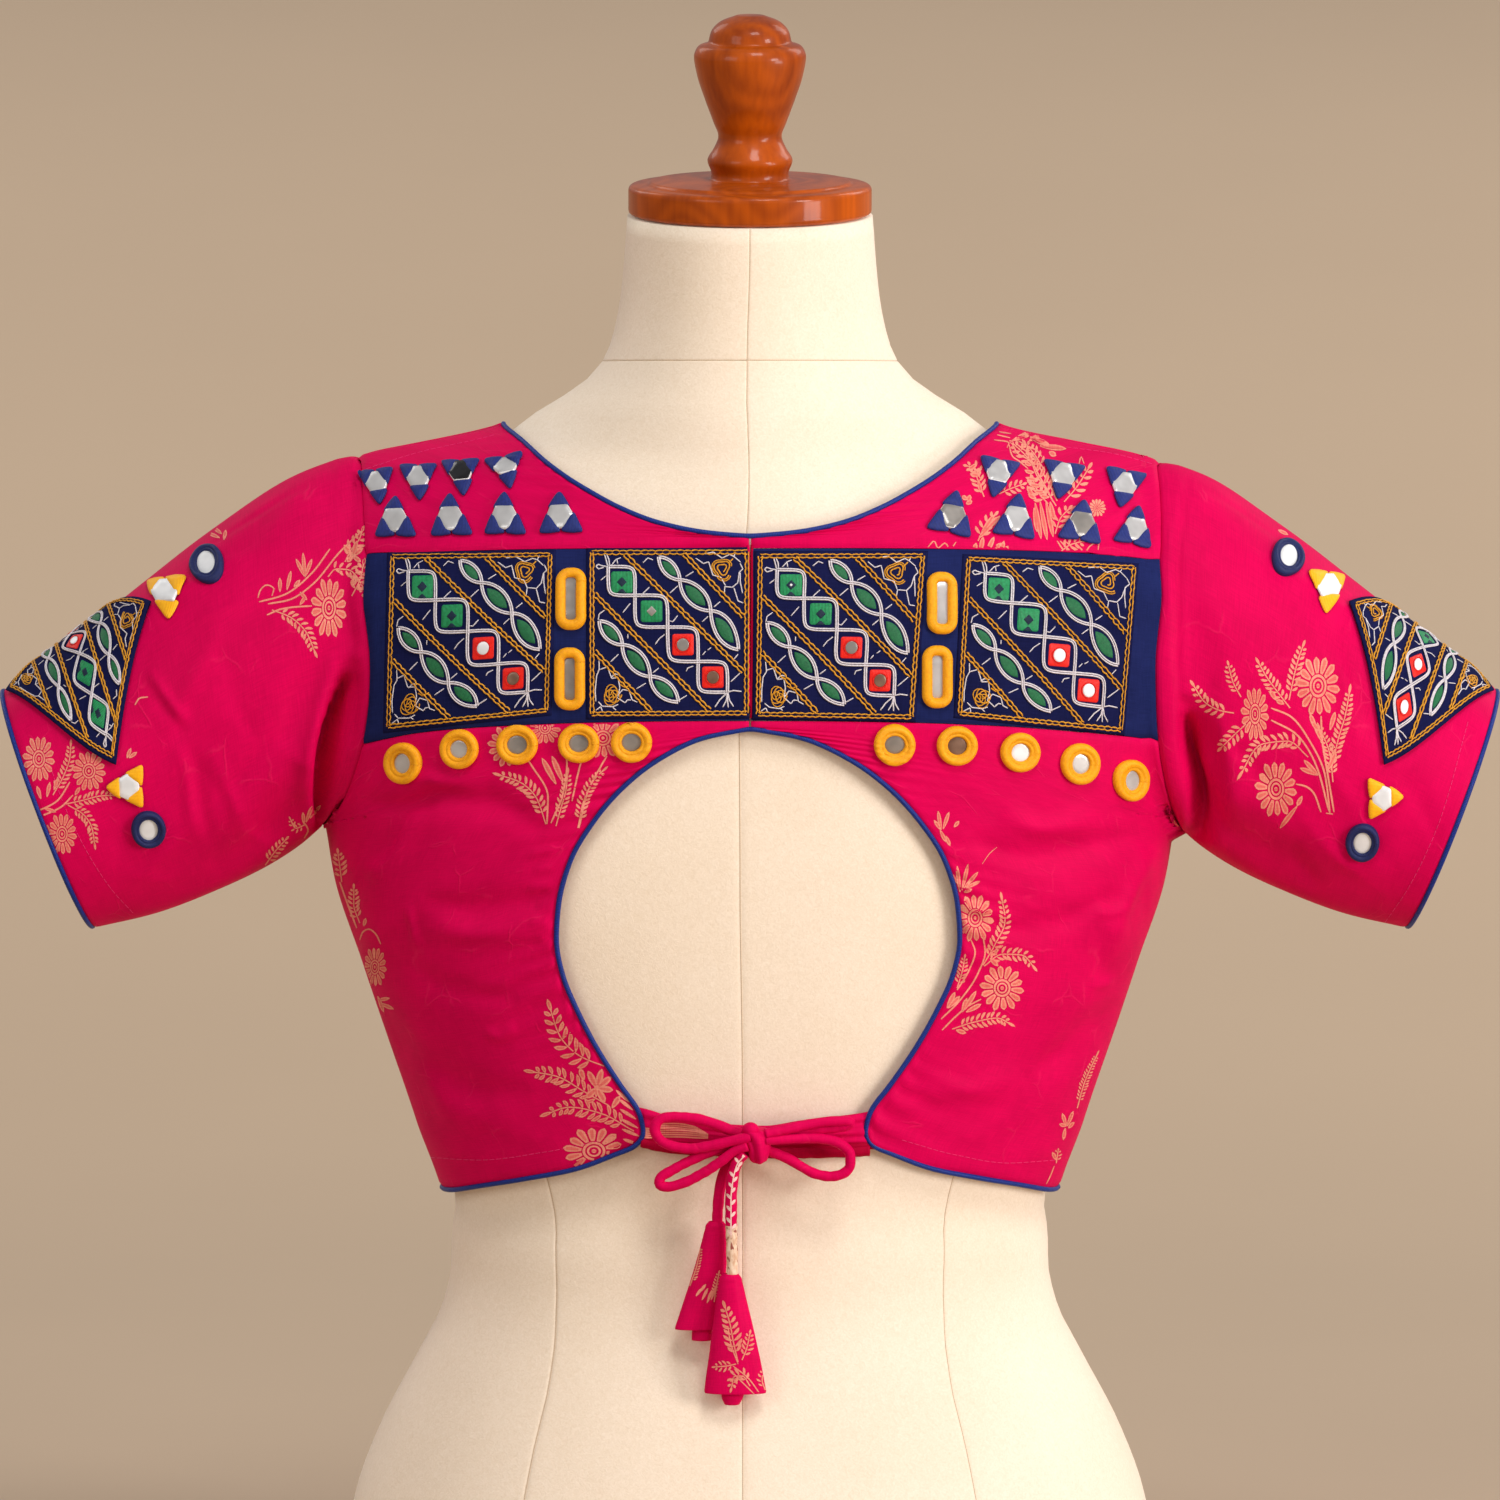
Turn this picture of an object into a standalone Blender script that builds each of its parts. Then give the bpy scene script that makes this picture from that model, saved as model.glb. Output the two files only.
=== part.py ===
"""Choli blouse with a keyhole back, worn by a limbless dress form.

Metres, +Z up.  The origin is the middle of the form's flat base.  The back of the
garment faces -Y, so +X is the wearer's right.

The bare figure is a stack of sections, one row each in FIGURE.  A point of it is
found from an angle (0 on the right side, -90 degrees at the centre back, 90 degrees
at the centre front) and a height.  The cloth lies a small ease outside it, and every
patch, mirror and piping is made from the cloth's own points, moved out.
"""

import math

import bmesh
import bpy
import numpy as np

# ---------------------------------------------------------------- driving sizes

WALL = 0.0012  # cloth
EASE = 0.0022  # air between the form and the bodice
SHOULDER_EASE = 0.0013  # where the bodice rests on the form
GAP = 0.0003  # between pieces at a seam
SLEEVE_START = 0.0012  # the sleeve's edge lies this far outside the armhole

HEM_SIDE = 0.2090  # height of the hem at the side seam
ARMPIT = 0.3690
SHOULDER_TIP = 0.5250
NECK_POINT = 0.5415  # where the neckline meets the shoulder seam
FRONT_NECK = 0.4150  # lowest point of the front neckline
FRONT_NECK_REACH = 0.1085  # how far out the front neckline runs
FRONT_NECK_CURVE = (0.85, 0.95)  # powers of its scoop, across and up
PLATE = 0.1590  # half the distance between the form's flat armhole plates
PLATE_FOOT = (0.352, 0.012)  # height of the plates' lower end, and how soft it is
PLATE_FLARE = 0.035  # the form is this much wider below its plates
FORM_SLACK = (0.0022, 0.0022, 0.0018)  # the form keeps off the cloth: all round, in front, shoulders
FORM_SHOULDER = 0.49
FORM_COVER = ((0.195, 0.006), (0.544, 0.004))  # heights where that slack starts and ends, softness

ARMHOLE_BACK = math.radians(33.5)  # how far the armhole is cut into the back
ARMHOLE_FRONT = math.radians(35)  # and into the front
ARMHOLE_FULLNESS = (0.88, 0.60)  # below 1 the cut is fuller: towards the armpit, the shoulder
CENTRE_OPENING = 0.0004  # half the gap between the two hooked back edges
SIDE_CLEARANCE = 0.00018  # each panel stops this far short of the side seam

PIPING_RADIUS = 0.0011
CORD_RADIUS = 0.0025

# The bare figure.  flat is the exponent of the back and front, side that of the sides.
FIGURE_COLUMNS = ("height", "half_width", "back", "front", "flat", "side")
FIGURE = (
    (0.000, 0.1815, 0.1180, 0.1000, 2.2, 2.2),
    (0.040, 0.1785, 0.1160, 0.0990, 2.2, 2.2),
    (0.075, 0.1718, 0.1100, 0.0965, 2.2, 2.2),
    (0.102, 0.1617, 0.1020, 0.0935, 2.2, 2.2),
    (0.137, 0.1434, 0.0905, 0.0890, 2.2, 2.2),
    (0.156, 0.1340, 0.0850, 0.0870, 2.2, 2.2),
    (0.176, 0.1300, 0.0820, 0.0865, 2.2, 2.2),
    (0.198, 0.1302, 0.0822, 0.0880, 2.2, 2.2),
    (0.240, 0.1426, 0.0860, 0.0940, 2.2, 2.2),
    (0.275, 0.1543, 0.0905, 0.1010, 2.2, 2.2),
    (0.310, 0.1660, 0.0945, 0.1080, 2.25, 2.2),
    (0.345, 0.1775, 0.0970, 0.1130, 2.3, 2.2),
    (0.369, 0.1815, 0.0978, 0.1140, 2.3, 2.2),
    (0.400, 0.1890, 0.0978, 0.1110, 2.3, 2.2),
    (0.440, 0.1970, 0.0965, 0.1030, 2.3, 2.15),
    (0.470, 0.1990, 0.0942, 0.0950, 2.3, 2.0),
    (0.490, 0.1975, 0.0912, 0.0880, 2.0, 1.7),
    (0.505, 0.1930, 0.0882, 0.0820, 1.75, 1.5),
    (0.515, 0.1860, 0.0856, 0.0765, 1.6, 1.35),
    (0.5233, 0.1750, 0.0825, 0.0710, 1.5, 1.3),
    (0.532, 0.1430, 0.0780, 0.0655, 1.5, 1.3),
    (0.5400, 0.1100, 0.0735, 0.0615, 1.6, 1.4),
    (0.5510, 0.0883, 0.0682, 0.0585, 1.8, 1.6),
    (0.5600, 0.0732, 0.0640, 0.0565, 2.0, 1.8),
    (0.5690, 0.0648, 0.0605, 0.0550, 2.0, 2.0),
    (0.5780, 0.0605, 0.0580, 0.0545, 2.0, 2.0),
    (0.6000, 0.0560, 0.0550, 0.0540, 2.0, 2.0),
    (0.6360, 0.0530, 0.0530, 0.0530, 2.0, 2.0),
)

# Soft cups of the front, shaped by its darts.
CUP_ANGLE = math.radians(52)
CUP_HEIGHT = 0.362
CUP_DEPTH = 0.016
CUP_WIDTH = math.radians(20)
CUP_TALL = 0.042

# The neckline of the back, from the neck point to the centre: across, height.
BACK_NECKLINE = (
    (0.1095, 0.5415),
    (0.0990, 0.5370),
    (0.0880, 0.5300),
    (0.0750, 0.5230),
    (0.0580, 0.5150),
    (0.0400, 0.5090),
    (0.0200, 0.5055),
    (0.0000, 0.5040),
)

# The keyhole's edge, from its top at the centre down to the hem's corner.
KEYHOLE = (
    (0.0004, 0.4239),
    (0.0210, 0.4200),
    (0.0413, 0.4105),
    (0.0587, 0.3970),
    (0.0722, 0.3810),
    (0.0813, 0.3655),
    (0.0868, 0.3455),
    (0.0878, 0.3300),
    (0.0850, 0.3150),
    (0.0785, 0.2995),
    (0.0692, 0.2820),
    (0.0580, 0.2650),
    (0.0503, 0.2540),
    (0.0482, 0.2450),
)

# The hem of the back, from the keyhole's corner out to the side seam.
BACK_HEM = (
    (0.0482, 0.2450),
    (0.0510, 0.2408),
    (0.0600, 0.2366),
    (0.0768, 0.2294),
    (0.0985, 0.2234),
    (0.1200, 0.2170),
    (0.1360, 0.2100),
)
KEYHOLE_LEAN = 0.04  # the keyhole is this much wider on the right and narrower on the left

# The sleeve's outline in the plane of the shoulders, and its half depth.
SLEEVE_COLUMNS = ("share", "top_x", "top_z", "under_x", "under_z", "half_depth")
SLEEVE = (
    (0.00, 0.1770, 0.5255, 0.1845, 0.3700, 0.0560),
    (0.12, 0.2000, 0.5160, 0.1950, 0.3600, 0.0575),
    (0.30, 0.2340, 0.4960, 0.2130, 0.3480, 0.0575),
    (0.50, 0.2620, 0.4745, 0.2330, 0.3385, 0.0555),
    (0.75, 0.2940, 0.4490, 0.2600, 0.3285, 0.0530),
    (1.00, 0.3245, 0.4265, 0.2850, 0.3225, 0.0510),
)

SLEEVE_FADE = 0.5  # the armhole's own shape dies away over this share of the sleeve

# Folds that run out from the armpit: share, turn, length, width, depth, slant.
SLEEVE_FOLDS = (
    (0.20, math.radians(118), 0.30, 0.20, 0.0030, math.radians(38)),
    (0.34, math.radians(142), 0.26, 0.17, -0.0028, math.radians(30)),
    (0.46, math.radians(152), 0.30, 0.20, 0.0030, math.radians(24)),
    (0.24, math.radians(238), 0.30, 0.20, 0.0028, math.radians(-34)),
    (0.42, math.radians(214), 0.30, 0.20, -0.0026, math.radians(-26)),
    (0.66, math.radians(196), 0.26, 0.22, 0.0020, math.radians(14)),
)

# Soft drag lines of the fitted bodice: angle, height, length, width, depth, slant.
BODICE_FOLDS = (
    (math.radians(-30), 0.350, 0.030, 0.008, 0.0012, math.radians(-35)),
    (math.radians(-24), 0.325, 0.032, 0.008, 0.0010, math.radians(-25)),
    (math.radians(-40), 0.300, 0.040, 0.010, 0.0008, math.radians(-12)),
    (math.radians(-35), 0.258, 0.040, 0.010, 0.0008, math.radians(14)),
)

# Lines of the bodice's panels.
BAND_TOP = (0.4998, 0.4888)  # height at the centre back and at the armhole
BAND_BOTTOM = (0.4265, 0.4114)
CHEST_LINE = (0.3950, 0.4200)  # a construction line of the front, centre and armhole
NECKLINE_STEPS = 12  # stations along each quarter of the neckline
KEYHOLE_STEPS = 17  # and along each side of the keyhole
HEM_STEPS = 9  # and along each quarter of the hem
FRONT_HEM_DROP = 0.004  # the front hem is this much lower at the centre

# Mirror patches of the back: kind, across, height, turn.
BACK_PATCHES = (
    ("triangle", -0.1614, 0.5209, 176),
    ("triangle", -0.1439, 0.5226, 183),
    ("triangle", -0.1239, 0.5265, 178),
    ("triangle", -0.1057, 0.5290, 181),
    ("triangle", -0.1532, 0.5073, 2),
    ("triangle", -0.1302, 0.5096, -3),
    ("triangle", -0.1055, 0.5117, 1),
    ("triangle", -0.0817, 0.5135, -2),
    ("triangle", 0.1078, 0.5267, 180),
    ("triangle", 0.1356, 0.5239, 184),
    ("triangle", 0.1615, 0.5198, 179),
    ("triangle", 0.0860, 0.5121, 3),
    ("triangle", 0.1141, 0.5097, 0),
    ("triangle", 0.1436, 0.5064, -2),
    ("triangle", 0.1612, 0.5040, 4),
    ("ring", -0.1491, 0.4042, 0),
    ("ring", -0.1252, 0.4120, 0),
    ("ring", -0.1001, 0.4153, 0),
    ("ring", -0.0734, 0.4165, 0),
    ("ring", -0.0507, 0.4174, 0),
    ("ring", 0.0618, 0.4159, 0),
    ("ring", 0.0889, 0.4148, 0),
    ("ring", 0.1161, 0.4112, 0),
    ("ring", 0.1421, 0.4044, 0),
    ("ring", 0.1632, 0.3955, 0),
    ("oblong", -0.0768, 0.4774, 0),
    ("oblong", -0.0773, 0.4440, 0),
    ("oblong", 0.0824, 0.4756, 0),
    ("oblong", 0.0803, 0.4448, 0),
)

# Mirror patches of the sleeves: kind, side, share of the sleeve, angle round it, turn.
SLEEVE_PATCHES = (
    ("dark_ring", -1, 0.311, 30, 0),
    ("bright_triangle", -1, 0.444, 30, 182),
    ("bright_triangle", -1, 0.681, 91, 90),
    ("dark_ring", -1, 0.652, 111, 0),
    ("dark_ring", 1, 0.297, 27, 0),
    ("bright_triangle", 1, 0.420, 29, 178),
    ("bright_triangle", 1, 0.730, 93, -85),
    ("dark_ring", 1, 0.701, 114, 0),
)
BACK_LIFT = 0.0007
SHOULDER_LIFT = 0.0022
SLEEVE_LIFT = 0.0011

# The embroidered square of each sleeve: share and angle of its corners, in turn.
SLEEVE_SQUARE = ((0.490, 28.0), (0.700, 81.0), (0.980, 13.0), (0.770, -40.0))
SQUARE_WALL = 0.0010
SQUARE_LIFT = 0.0011
OUTLINE_STEPS = 10  # points round a ring or an oblong
PATCH_RIM = 0.0014  # thickness of a mirror patch's stitched edge

# The wooden neck plate and finial, as radius and height.
CAP_PROFILE = (
    (0.0500, 0.6340),
    (0.0527, 0.6352),
    (0.0527, 0.6460),
    (0.0512, 0.6472),
    (0.0440, 0.6476),
    (0.0436, 0.6488),
    (0.0172, 0.6494),
    (0.0166, 0.6520),
    (0.0185, 0.6577),
    (0.0155, 0.6634),
    (0.0137, 0.6683),
    (0.0157, 0.6740),
    (0.0196, 0.6845),
    (0.0230, 0.6951),
    (0.0243, 0.7030),
    (0.0222, 0.7076),
    (0.0180, 0.7090),
    (0.0170, 0.7135),
    (0.0130, 0.7180),
    (0.0060, 0.7208),
)

# The ties.  Each row is across, front to back, height.
STRAPS = (
    (-0.0440, -0.0900, 0.2462),
    (-0.0300, -0.0900, 0.2452),
    (-0.0140, -0.0896, 0.2450),
    (0.0020, -0.0895, 0.2450),
    (0.0180, -0.0896, 0.2455),
    (0.0320, -0.0900, 0.2462),
    (0.0446, -0.0900, 0.2472),
)
KNOT_CENTRE = (0.0020, -0.1000, 0.2440)
KNOT_HALF = (0.0064, 0.0070, 0.0086)
LOOPS = (
    (
        (0.0000, -0.0975, 0.2470),
        (-0.0110, -0.0970, 0.2500),
        (-0.0250, -0.0962, 0.2540),
        (-0.0370, -0.0956, 0.2545),
        (-0.0415, -0.0958, 0.2500),
        (-0.0370, -0.0965, 0.2452),
        (-0.0250, -0.0985, 0.2450),
        (-0.0120, -0.1020, 0.2450),
        (0.0000, -0.1030, 0.2450),
    ),
    (
        (0.0000, -0.0980, 0.2410),
        (-0.0110, -0.0965, 0.2395),
        (-0.0250, -0.0958, 0.2350),
        (-0.0360, -0.0955, 0.2300),
        (-0.0408, -0.0960, 0.2255),
        (-0.0350, -0.0970, 0.2245),
        (-0.0230, -0.0985, 0.2290),
        (-0.0110, -0.1025, 0.2362),
        (0.0000, -0.1030, 0.2400),
    ),
    (
        (0.0040, -0.0975, 0.2400),
        (0.0130, -0.0965, 0.2355),
        (0.0250, -0.0958, 0.2310),
        (0.0360, -0.0955, 0.2290),
        (0.0432, -0.0960, 0.2335),
        (0.0415, -0.0970, 0.2400),
        (0.0280, -0.0985, 0.2440),
        (0.0140, -0.1015, 0.2435),
        (0.0040, -0.1030, 0.2435),
    ),
    (
        (0.0040, -0.0975, 0.2465),
        (0.0150, -0.0968, 0.2470),
        (0.0280, -0.0960, 0.2475),
        (0.0370, -0.0957, 0.2480),
        (0.0408, -0.0965, 0.2498),
        (0.0370, -0.0975, 0.2522),
        (0.0260, -0.0985, 0.2522),
        (0.0150, -0.1010, 0.2505),
        (0.0040, -0.1030, 0.2485),
    ),
)
PLAIN_END = (
    (-0.0060, -0.0945, 0.2362),
    (-0.0085, -0.0935, 0.2320),
    (-0.0115, -0.0925, 0.2250),
    (-0.0135, -0.0920, 0.2180),
    (-0.0148, -0.0916, 0.2085),
)
PRINTED_END = (
    (-0.0045, -0.1015, 0.2345),
    (-0.0068, -0.1005, 0.2290),
    (-0.0084, -0.0995, 0.2200),
    (-0.0087, -0.0990, 0.2100),
    (-0.0086, -0.0988, 0.2000),
    (-0.0085, -0.0986, 0.1870),
)

# The tassels, rolled from cloth: across, front to back, height, half width, half depth.
SIDE_TASSEL = (
    (-0.0150, -0.0915, 0.2075, 0.0034, 0.0033),
    (-0.0168, -0.0912, 0.1980, 0.0046, 0.0037),
    (-0.0205, -0.0908, 0.1780, 0.0068, 0.0038),
    (-0.0240, -0.0908, 0.1603, 0.0087, 0.0038),
    (-0.0213, -0.0908, 0.1600, 0.0036, 0.0026),
    (-0.0206, -0.0908, 0.1562, 0.0034, 0.0024),
)
FRONT_TASSEL = (
    (-0.0084, -0.0985, 0.1858, 0.0046, 0.0038),
    (-0.0080, -0.0988, 0.1770, 0.0062, 0.0042),
    (-0.0070, -0.0992, 0.1545, 0.0102, 0.0045),
    (-0.0062, -0.0990, 0.1338, 0.0136, 0.0048),
    (-0.0070, -0.0990, 0.1335, 0.0040, 0.0028),
    (-0.0072, -0.0990, 0.1298, 0.0026, 0.0020),
)
CORD_SPACING = 0.0110
LOOP_SPACING = 0.0080


# ---------------------------------------------------------------- tables and curves


def column(columns, rows, name):
    """A table's first column and the named one, as arrays."""
    return (
        np.array([row[0] for row in rows]),
        np.array([row[columns.index(name)] for row in rows]),
    )


def slopes(at, values):
    """Slopes that pass smoothly through the values and never overshoot them."""
    step = np.diff(at)
    rise = np.diff(values) / step
    slope = np.zeros(len(at))
    slope[0], slope[-1] = rise[0], rise[-1]
    for i in range(1, len(at) - 1):
        if rise[i - 1] * rise[i] > 0:
            first = 2 * step[i] + step[i - 1]
            second = step[i] + 2 * step[i - 1]
            slope[i] = (first + second) / (first / rise[i - 1] + second / rise[i])
    return slope


class Profile:
    """A smooth curve through one column of a table."""

    def __init__(self, at, values):
        self.at, self.values = np.asarray(at, float), np.asarray(values, float)
        self.slope = slopes(self.at, self.values)

    def __call__(self, where):
        i = int(np.clip(np.searchsorted(self.at, where) - 1, 0, len(self.at) - 2))
        step = self.at[i + 1] - self.at[i]
        t = (where - self.at[i]) / step
        if t < 0:
            return self.values[i] + self.slope[i] * (where - self.at[i])
        if t > 1:
            return self.values[i + 1] + self.slope[i + 1] * (where - self.at[i + 1])
        a, b = self.values[i], self.values[i + 1]
        p, q = self.slope[i] * step, self.slope[i + 1] * step
        return (
            a * (1 + 2 * t) * (1 - t) ** 2
            + p * t * (1 - t) ** 2
            + b * t * t * (3 - 2 * t)
            - q * t * t * (1 - t)
        )


def profiles(columns, rows):
    return {name: Profile(*column(columns, rows, name)) for name in columns[1:]}


class Route:
    """A smooth curve through a list of points, measured from 0 at its start to 1."""

    def __init__(self, points):
        points = np.array(points, float)
        along = np.concatenate([[0], np.cumsum(np.linalg.norm(np.diff(points, axis=0), axis=1))])
        self.curves = [Profile(along / along[-1], points[:, k]) for k in range(points.shape[1])]

    def __call__(self, share):
        return np.array([curve(share) for curve in self.curves])


def unit(vector):
    return vector / np.linalg.norm(vector)


def signed_power(value, power):
    return math.copysign(abs(value) ** power, value)


# ---------------------------------------------------------------- the figure and the bodice

FIGURE_CURVES = profiles(FIGURE_COLUMNS, FIGURE)


def figure_point(angle, height):
    """A point of the bare figure."""
    size = {name: curve(height) for name, curve in FIGURE_CURVES.items()}
    c, s = math.cos(angle), math.sin(angle)
    x = size["half_width"] * signed_power(c, 2 / size["flat"])
    y = size["front" if s > 0 else "back"] * signed_power(s, 2 / size["side"])
    if s > 0:
        nearest = min(abs(angle - CUP_ANGLE), abs(math.pi - angle - CUP_ANGLE))
        across = math.exp(-((nearest / CUP_WIDTH) ** 2))
        y += CUP_DEPTH * across * math.exp(-(((height - CUP_HEIGHT) / CUP_TALL) ** 2))
    return np.array((x, y, height))


def figure_normal(angle, height, step=0.004):
    around = figure_point(angle + step, height) - figure_point(angle - step, height)
    up = figure_point(angle, height + step / 2) - figure_point(angle, height - step / 2)
    return unit(np.cross(around, up))


def ease_at(height):
    """The cloth rests on the shoulders and stands a little clear below them."""
    t = min(1.0, max(0.0, (height - 0.46) / (0.525 - 0.46)))
    return EASE + (SHOULDER_EASE - EASE) * t * t * (3 - 2 * t)


def bodice_point(angle, height, out=0.0):
    """A point of the bodice's outer face, or the given distance outside it."""
    normal = figure_normal(angle, height)
    return figure_point(angle, height) + normal * (ease_at(height) + WALL + out)


def back_angle(across, height):
    """The angle at which the bodice's back is that far from the centre line."""
    low, high = -math.pi / 2, 0.0
    if bodice_point(high, height)[0] <= across:
        return high
    for _ in range(40):
        middle = (low + high) / 2
        if bodice_point(middle, height)[0] < across:
            low = middle
        else:
            high = middle
    return (low + high) / 2


def armhole(share, cut):
    """Angle and height on the armhole, from the armpit at 0 to the shoulder's tip at 1."""
    turn = math.pi * (1 - share)
    height = (SHOULDER_TIP + ARMPIT) / 2 + (SHOULDER_TIP - ARMPIT) / 2 * math.cos(turn)
    fullness = ARMHOLE_FULLNESS[1 if share > 0.5 else 0]
    return cut * max(0.0, math.sin(turn)) ** fullness, height


# ---------------------------------------------------------------- meshes


def material(name, colour, roughness, metallic=0.0):
    made = bpy.data.materials.new(name)
    made.use_nodes = True
    shader = made.node_tree.nodes["Principled BSDF"]
    shader.inputs["Base Color"].default_value = (*colour, 1.0)
    shader.inputs["Roughness"].default_value = roughness
    shader.inputs["Metallic"].default_value = metallic
    made.diffuse_color = (*colour, 1.0)
    return made


def add_object(name, points, faces, finish, smooth=True):
    """A closed mesh with its faces pointing out."""
    mesh = bpy.data.meshes.new(name)
    mesh.from_pydata([tuple(map(float, p)) for p in points], [], faces)
    work = bmesh.new()
    work.from_mesh(mesh)
    bmesh.ops.recalc_face_normals(work, faces=work.faces)
    work.to_mesh(mesh)
    work.free()
    mesh.materials.append(finish)
    if smooth:
        mesh.shade_smooth()
        mesh.set_sharp_from_angle(angle=math.radians(40))
    made = bpy.data.objects.new(name, mesh)
    bpy.context.scene.collection.objects.link(made)
    return made


def cloth(name, grids, finish):
    """One closed wall from grids of (outer, inner) points.  Grids share their edge points."""
    ids, outer, inner, quads = {}, [], [], []

    def number(pair):
        key = tuple(np.round(pair[0], 6))
        if key not in ids:
            ids[key] = len(outer)
            outer.append(pair[0])
            inner.append(pair[1])
        return ids[key]

    for grid in grids:
        numbers = [[number(pair) for pair in row] for row in grid]
        for low, high in zip(numbers[:-1], numbers[1:]):
            for i in range(len(low) - 1):
                quads.append((low[i], low[i + 1], high[i + 1], high[i]))
    edges = {}
    for quad in quads:
        for a, b in zip(quad, quad[1:] + quad[:1]):
            edges.setdefault(frozenset((a, b)), []).append((a, b))
    count = len(outer)
    rims = [
        (b, a, a + count, b + count) for used in edges.values() if len(used) == 1 for a, b in used
    ]
    back = [tuple(i + count for i in reversed(quad)) for quad in quads]
    return add_object(name, outer + inner, quads + back + rims, finish)


def stacked(name, loops, finish, smooth=True):
    """A solid through loops of equally many points, closed by a cap at each end."""
    points = [point for loop in loops for point in loop]
    count = len(loops[0])
    faces = []
    for k in range(len(loops) - 1):
        for i in range(count):
            j = (i + 1) % count
            faces.append((k * count + i, k * count + j, (k + 1) * count + j, (k + 1) * count + i))
    last = (len(loops) - 1) * count
    faces.append(tuple(reversed(range(count))))
    faces.append(tuple(range(last, last + count)))
    return add_object(name, points, faces, finish, smooth)


def turned(name, profile, steps, finish):
    """A solid of revolution about a vertical axis from (radius, height) rows."""
    turns = [2 * math.pi * i / steps for i in range(steps)]
    loops = [[(r * math.cos(t), r * math.sin(t), z) for t in turns] for r, z in profile]
    return stacked(name, loops, finish)


def tube(name, points, radius, finish, closed=False, sides_level=0):
    """A bevelled curve through the points, with filled ends."""
    curve = bpy.data.curves.new(name, "CURVE")
    curve.dimensions = "3D"
    spline = curve.splines.new("POLY")
    spline.points.add(len(points) - 1)
    for target, point in zip(spline.points, points):
        target.co = (*map(float, point), 1.0)
    spline.use_cyclic_u = closed
    curve.bevel_depth = radius
    curve.bevel_resolution = sides_level
    curve.use_fill_caps = not closed
    curve.materials.append(finish)
    made = bpy.data.objects.new(name, curve)
    bpy.context.scene.collection.objects.link(made)
    return made


def coons(bottom, top, left, right):
    """Places over a patch with four sides; left and right run up, the others across."""
    bottom, top, left, right = (np.array(side, float) for side in (bottom, top, left, right))
    rows, columns = len(left) - 1, len(bottom) - 1
    grid = []
    for i in range(rows + 1):
        t = i / rows
        row = []
        for j in range(columns + 1):
            s = j / columns
            low = (1 - s) * bottom[0] + s * bottom[-1]
            high = (1 - s) * top[0] + s * top[-1]
            across = (1 - t) * bottom[j] + t * top[j]
            along = (1 - s) * left[i] + s * right[i]
            row.append(across + along - (1 - t) * low - t * high)
        grid.append(row)
    return grid


def bodice_grid(places, side):
    """The bodice's outer and inner points at each place; side is -1 for the left half."""
    flip = np.array((side, 1.0, 1.0))
    return [
        [
            (
                bodice_point(angle, height, fold_depth(angle, height)) * flip,
                bodice_point(angle, height, fold_depth(angle, height) - WALL) * flip,
            )
            for angle, height in row
        ]
        for row in places
    ]


def fold_depth(angle, height):
    """How far the bodice's soft drag lines stand out there."""
    total = 0.0
    for at, level, long, wide, deep, slant in BODICE_FOLDS:
        u = (angle - at) * 0.15
        v = height - level
        c, s = math.cos(slant), math.sin(slant)
        along, over = u * c + v * s, -u * s + v * c
        total += deep * math.exp(-((along / long) ** 2) - (over / wide) ** 2)
    return total


# ---------------------------------------------------------------- the bodice's own lines

def seam_angle(height, side):
    """The angle by which a panel stops short of the seam at the figure's side."""
    depth = FIGURE_CURVES["front" if side > 0 else "back"](height)
    return side * math.asin((SIDE_CLEARANCE / depth) ** (FIGURE_CURVES["side"](height) / 2))


def front_angle(across, height):
    """The angle at which the bodice's front is that far from the centre line."""
    low, high = 0.0, math.pi / 2
    if bodice_point(low, height)[0] <= across:
        return low
    for _ in range(40):
        middle = (low + high) / 2
        if bodice_point(middle, height)[0] > across:
            low = middle
        else:
            high = middle
    return (low + high) / 2


def armhole_share(height):
    middle, half = (SHOULDER_TIP + ARMPIT) / 2, (SHOULDER_TIP - ARMPIT) / 2
    return 1 - math.acos(max(-1.0, min(1.0, (height - middle) / half))) / math.pi


def armhole_side(first, last, count, cut):
    """Places along the armhole between two heights, kept off the seam at its ends."""
    start, end = armhole_share(first), armhole_share(last)
    places = []
    for i in range(count + 1):
        angle, height = armhole(start + (end - start) * i / count, cut)
        least = abs(seam_angle(height, cut))
        places.append((math.copysign(max(abs(angle), least), cut), height))
    return places


def across_back(heights, shift, count, stop):
    """Places from the centre back to the armhole or side; the height falls off outwards."""
    start = back_angle(CENTRE_OPENING, heights[0] + shift)
    places = []
    for j in range(count + 1):
        s = j / count
        angle = start + (stop - start) * s
        places.append((angle, heights[0] + (heights[1] - heights[0]) * s**2 + shift))
    return places


def on_route(points, count, finder, start=0.0, end=1.0):
    """Places along an edge given by rows of distance from the centre and height."""
    route = Route(points)
    places = []
    for i in range(count + 1):
        across, height = route(start + (end - start) * i / count)
        places.append((finder(max(CENTRE_OPENING, across), height), height))
    return places


def front_neckline():
    """Places from the centre front up to the neck point: a deep round scoop."""
    places = []
    for i in range(NECKLINE_STEPS + 1):
        turn = math.pi / 2 * i / NECKLINE_STEPS
        across = FRONT_NECK_REACH * math.sin(turn) ** FRONT_NECK_CURVE[0]
        height = NECK_POINT - (NECK_POINT - FRONT_NECK) * math.cos(turn) ** FRONT_NECK_CURVE[1]
        angle = math.pi / 2 if i == 0 else front_angle(across, height)
        places.append((max(angle, seam_angle(height, 1)), height))
    return places


def back_neckline():
    """Places from the centre back up to the neck point."""
    places = on_route(BACK_NECKLINE[::-1], NECKLINE_STEPS, back_angle)
    places[-1] = (seam_angle(NECK_POINT, -1), NECK_POINT)
    return places


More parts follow.
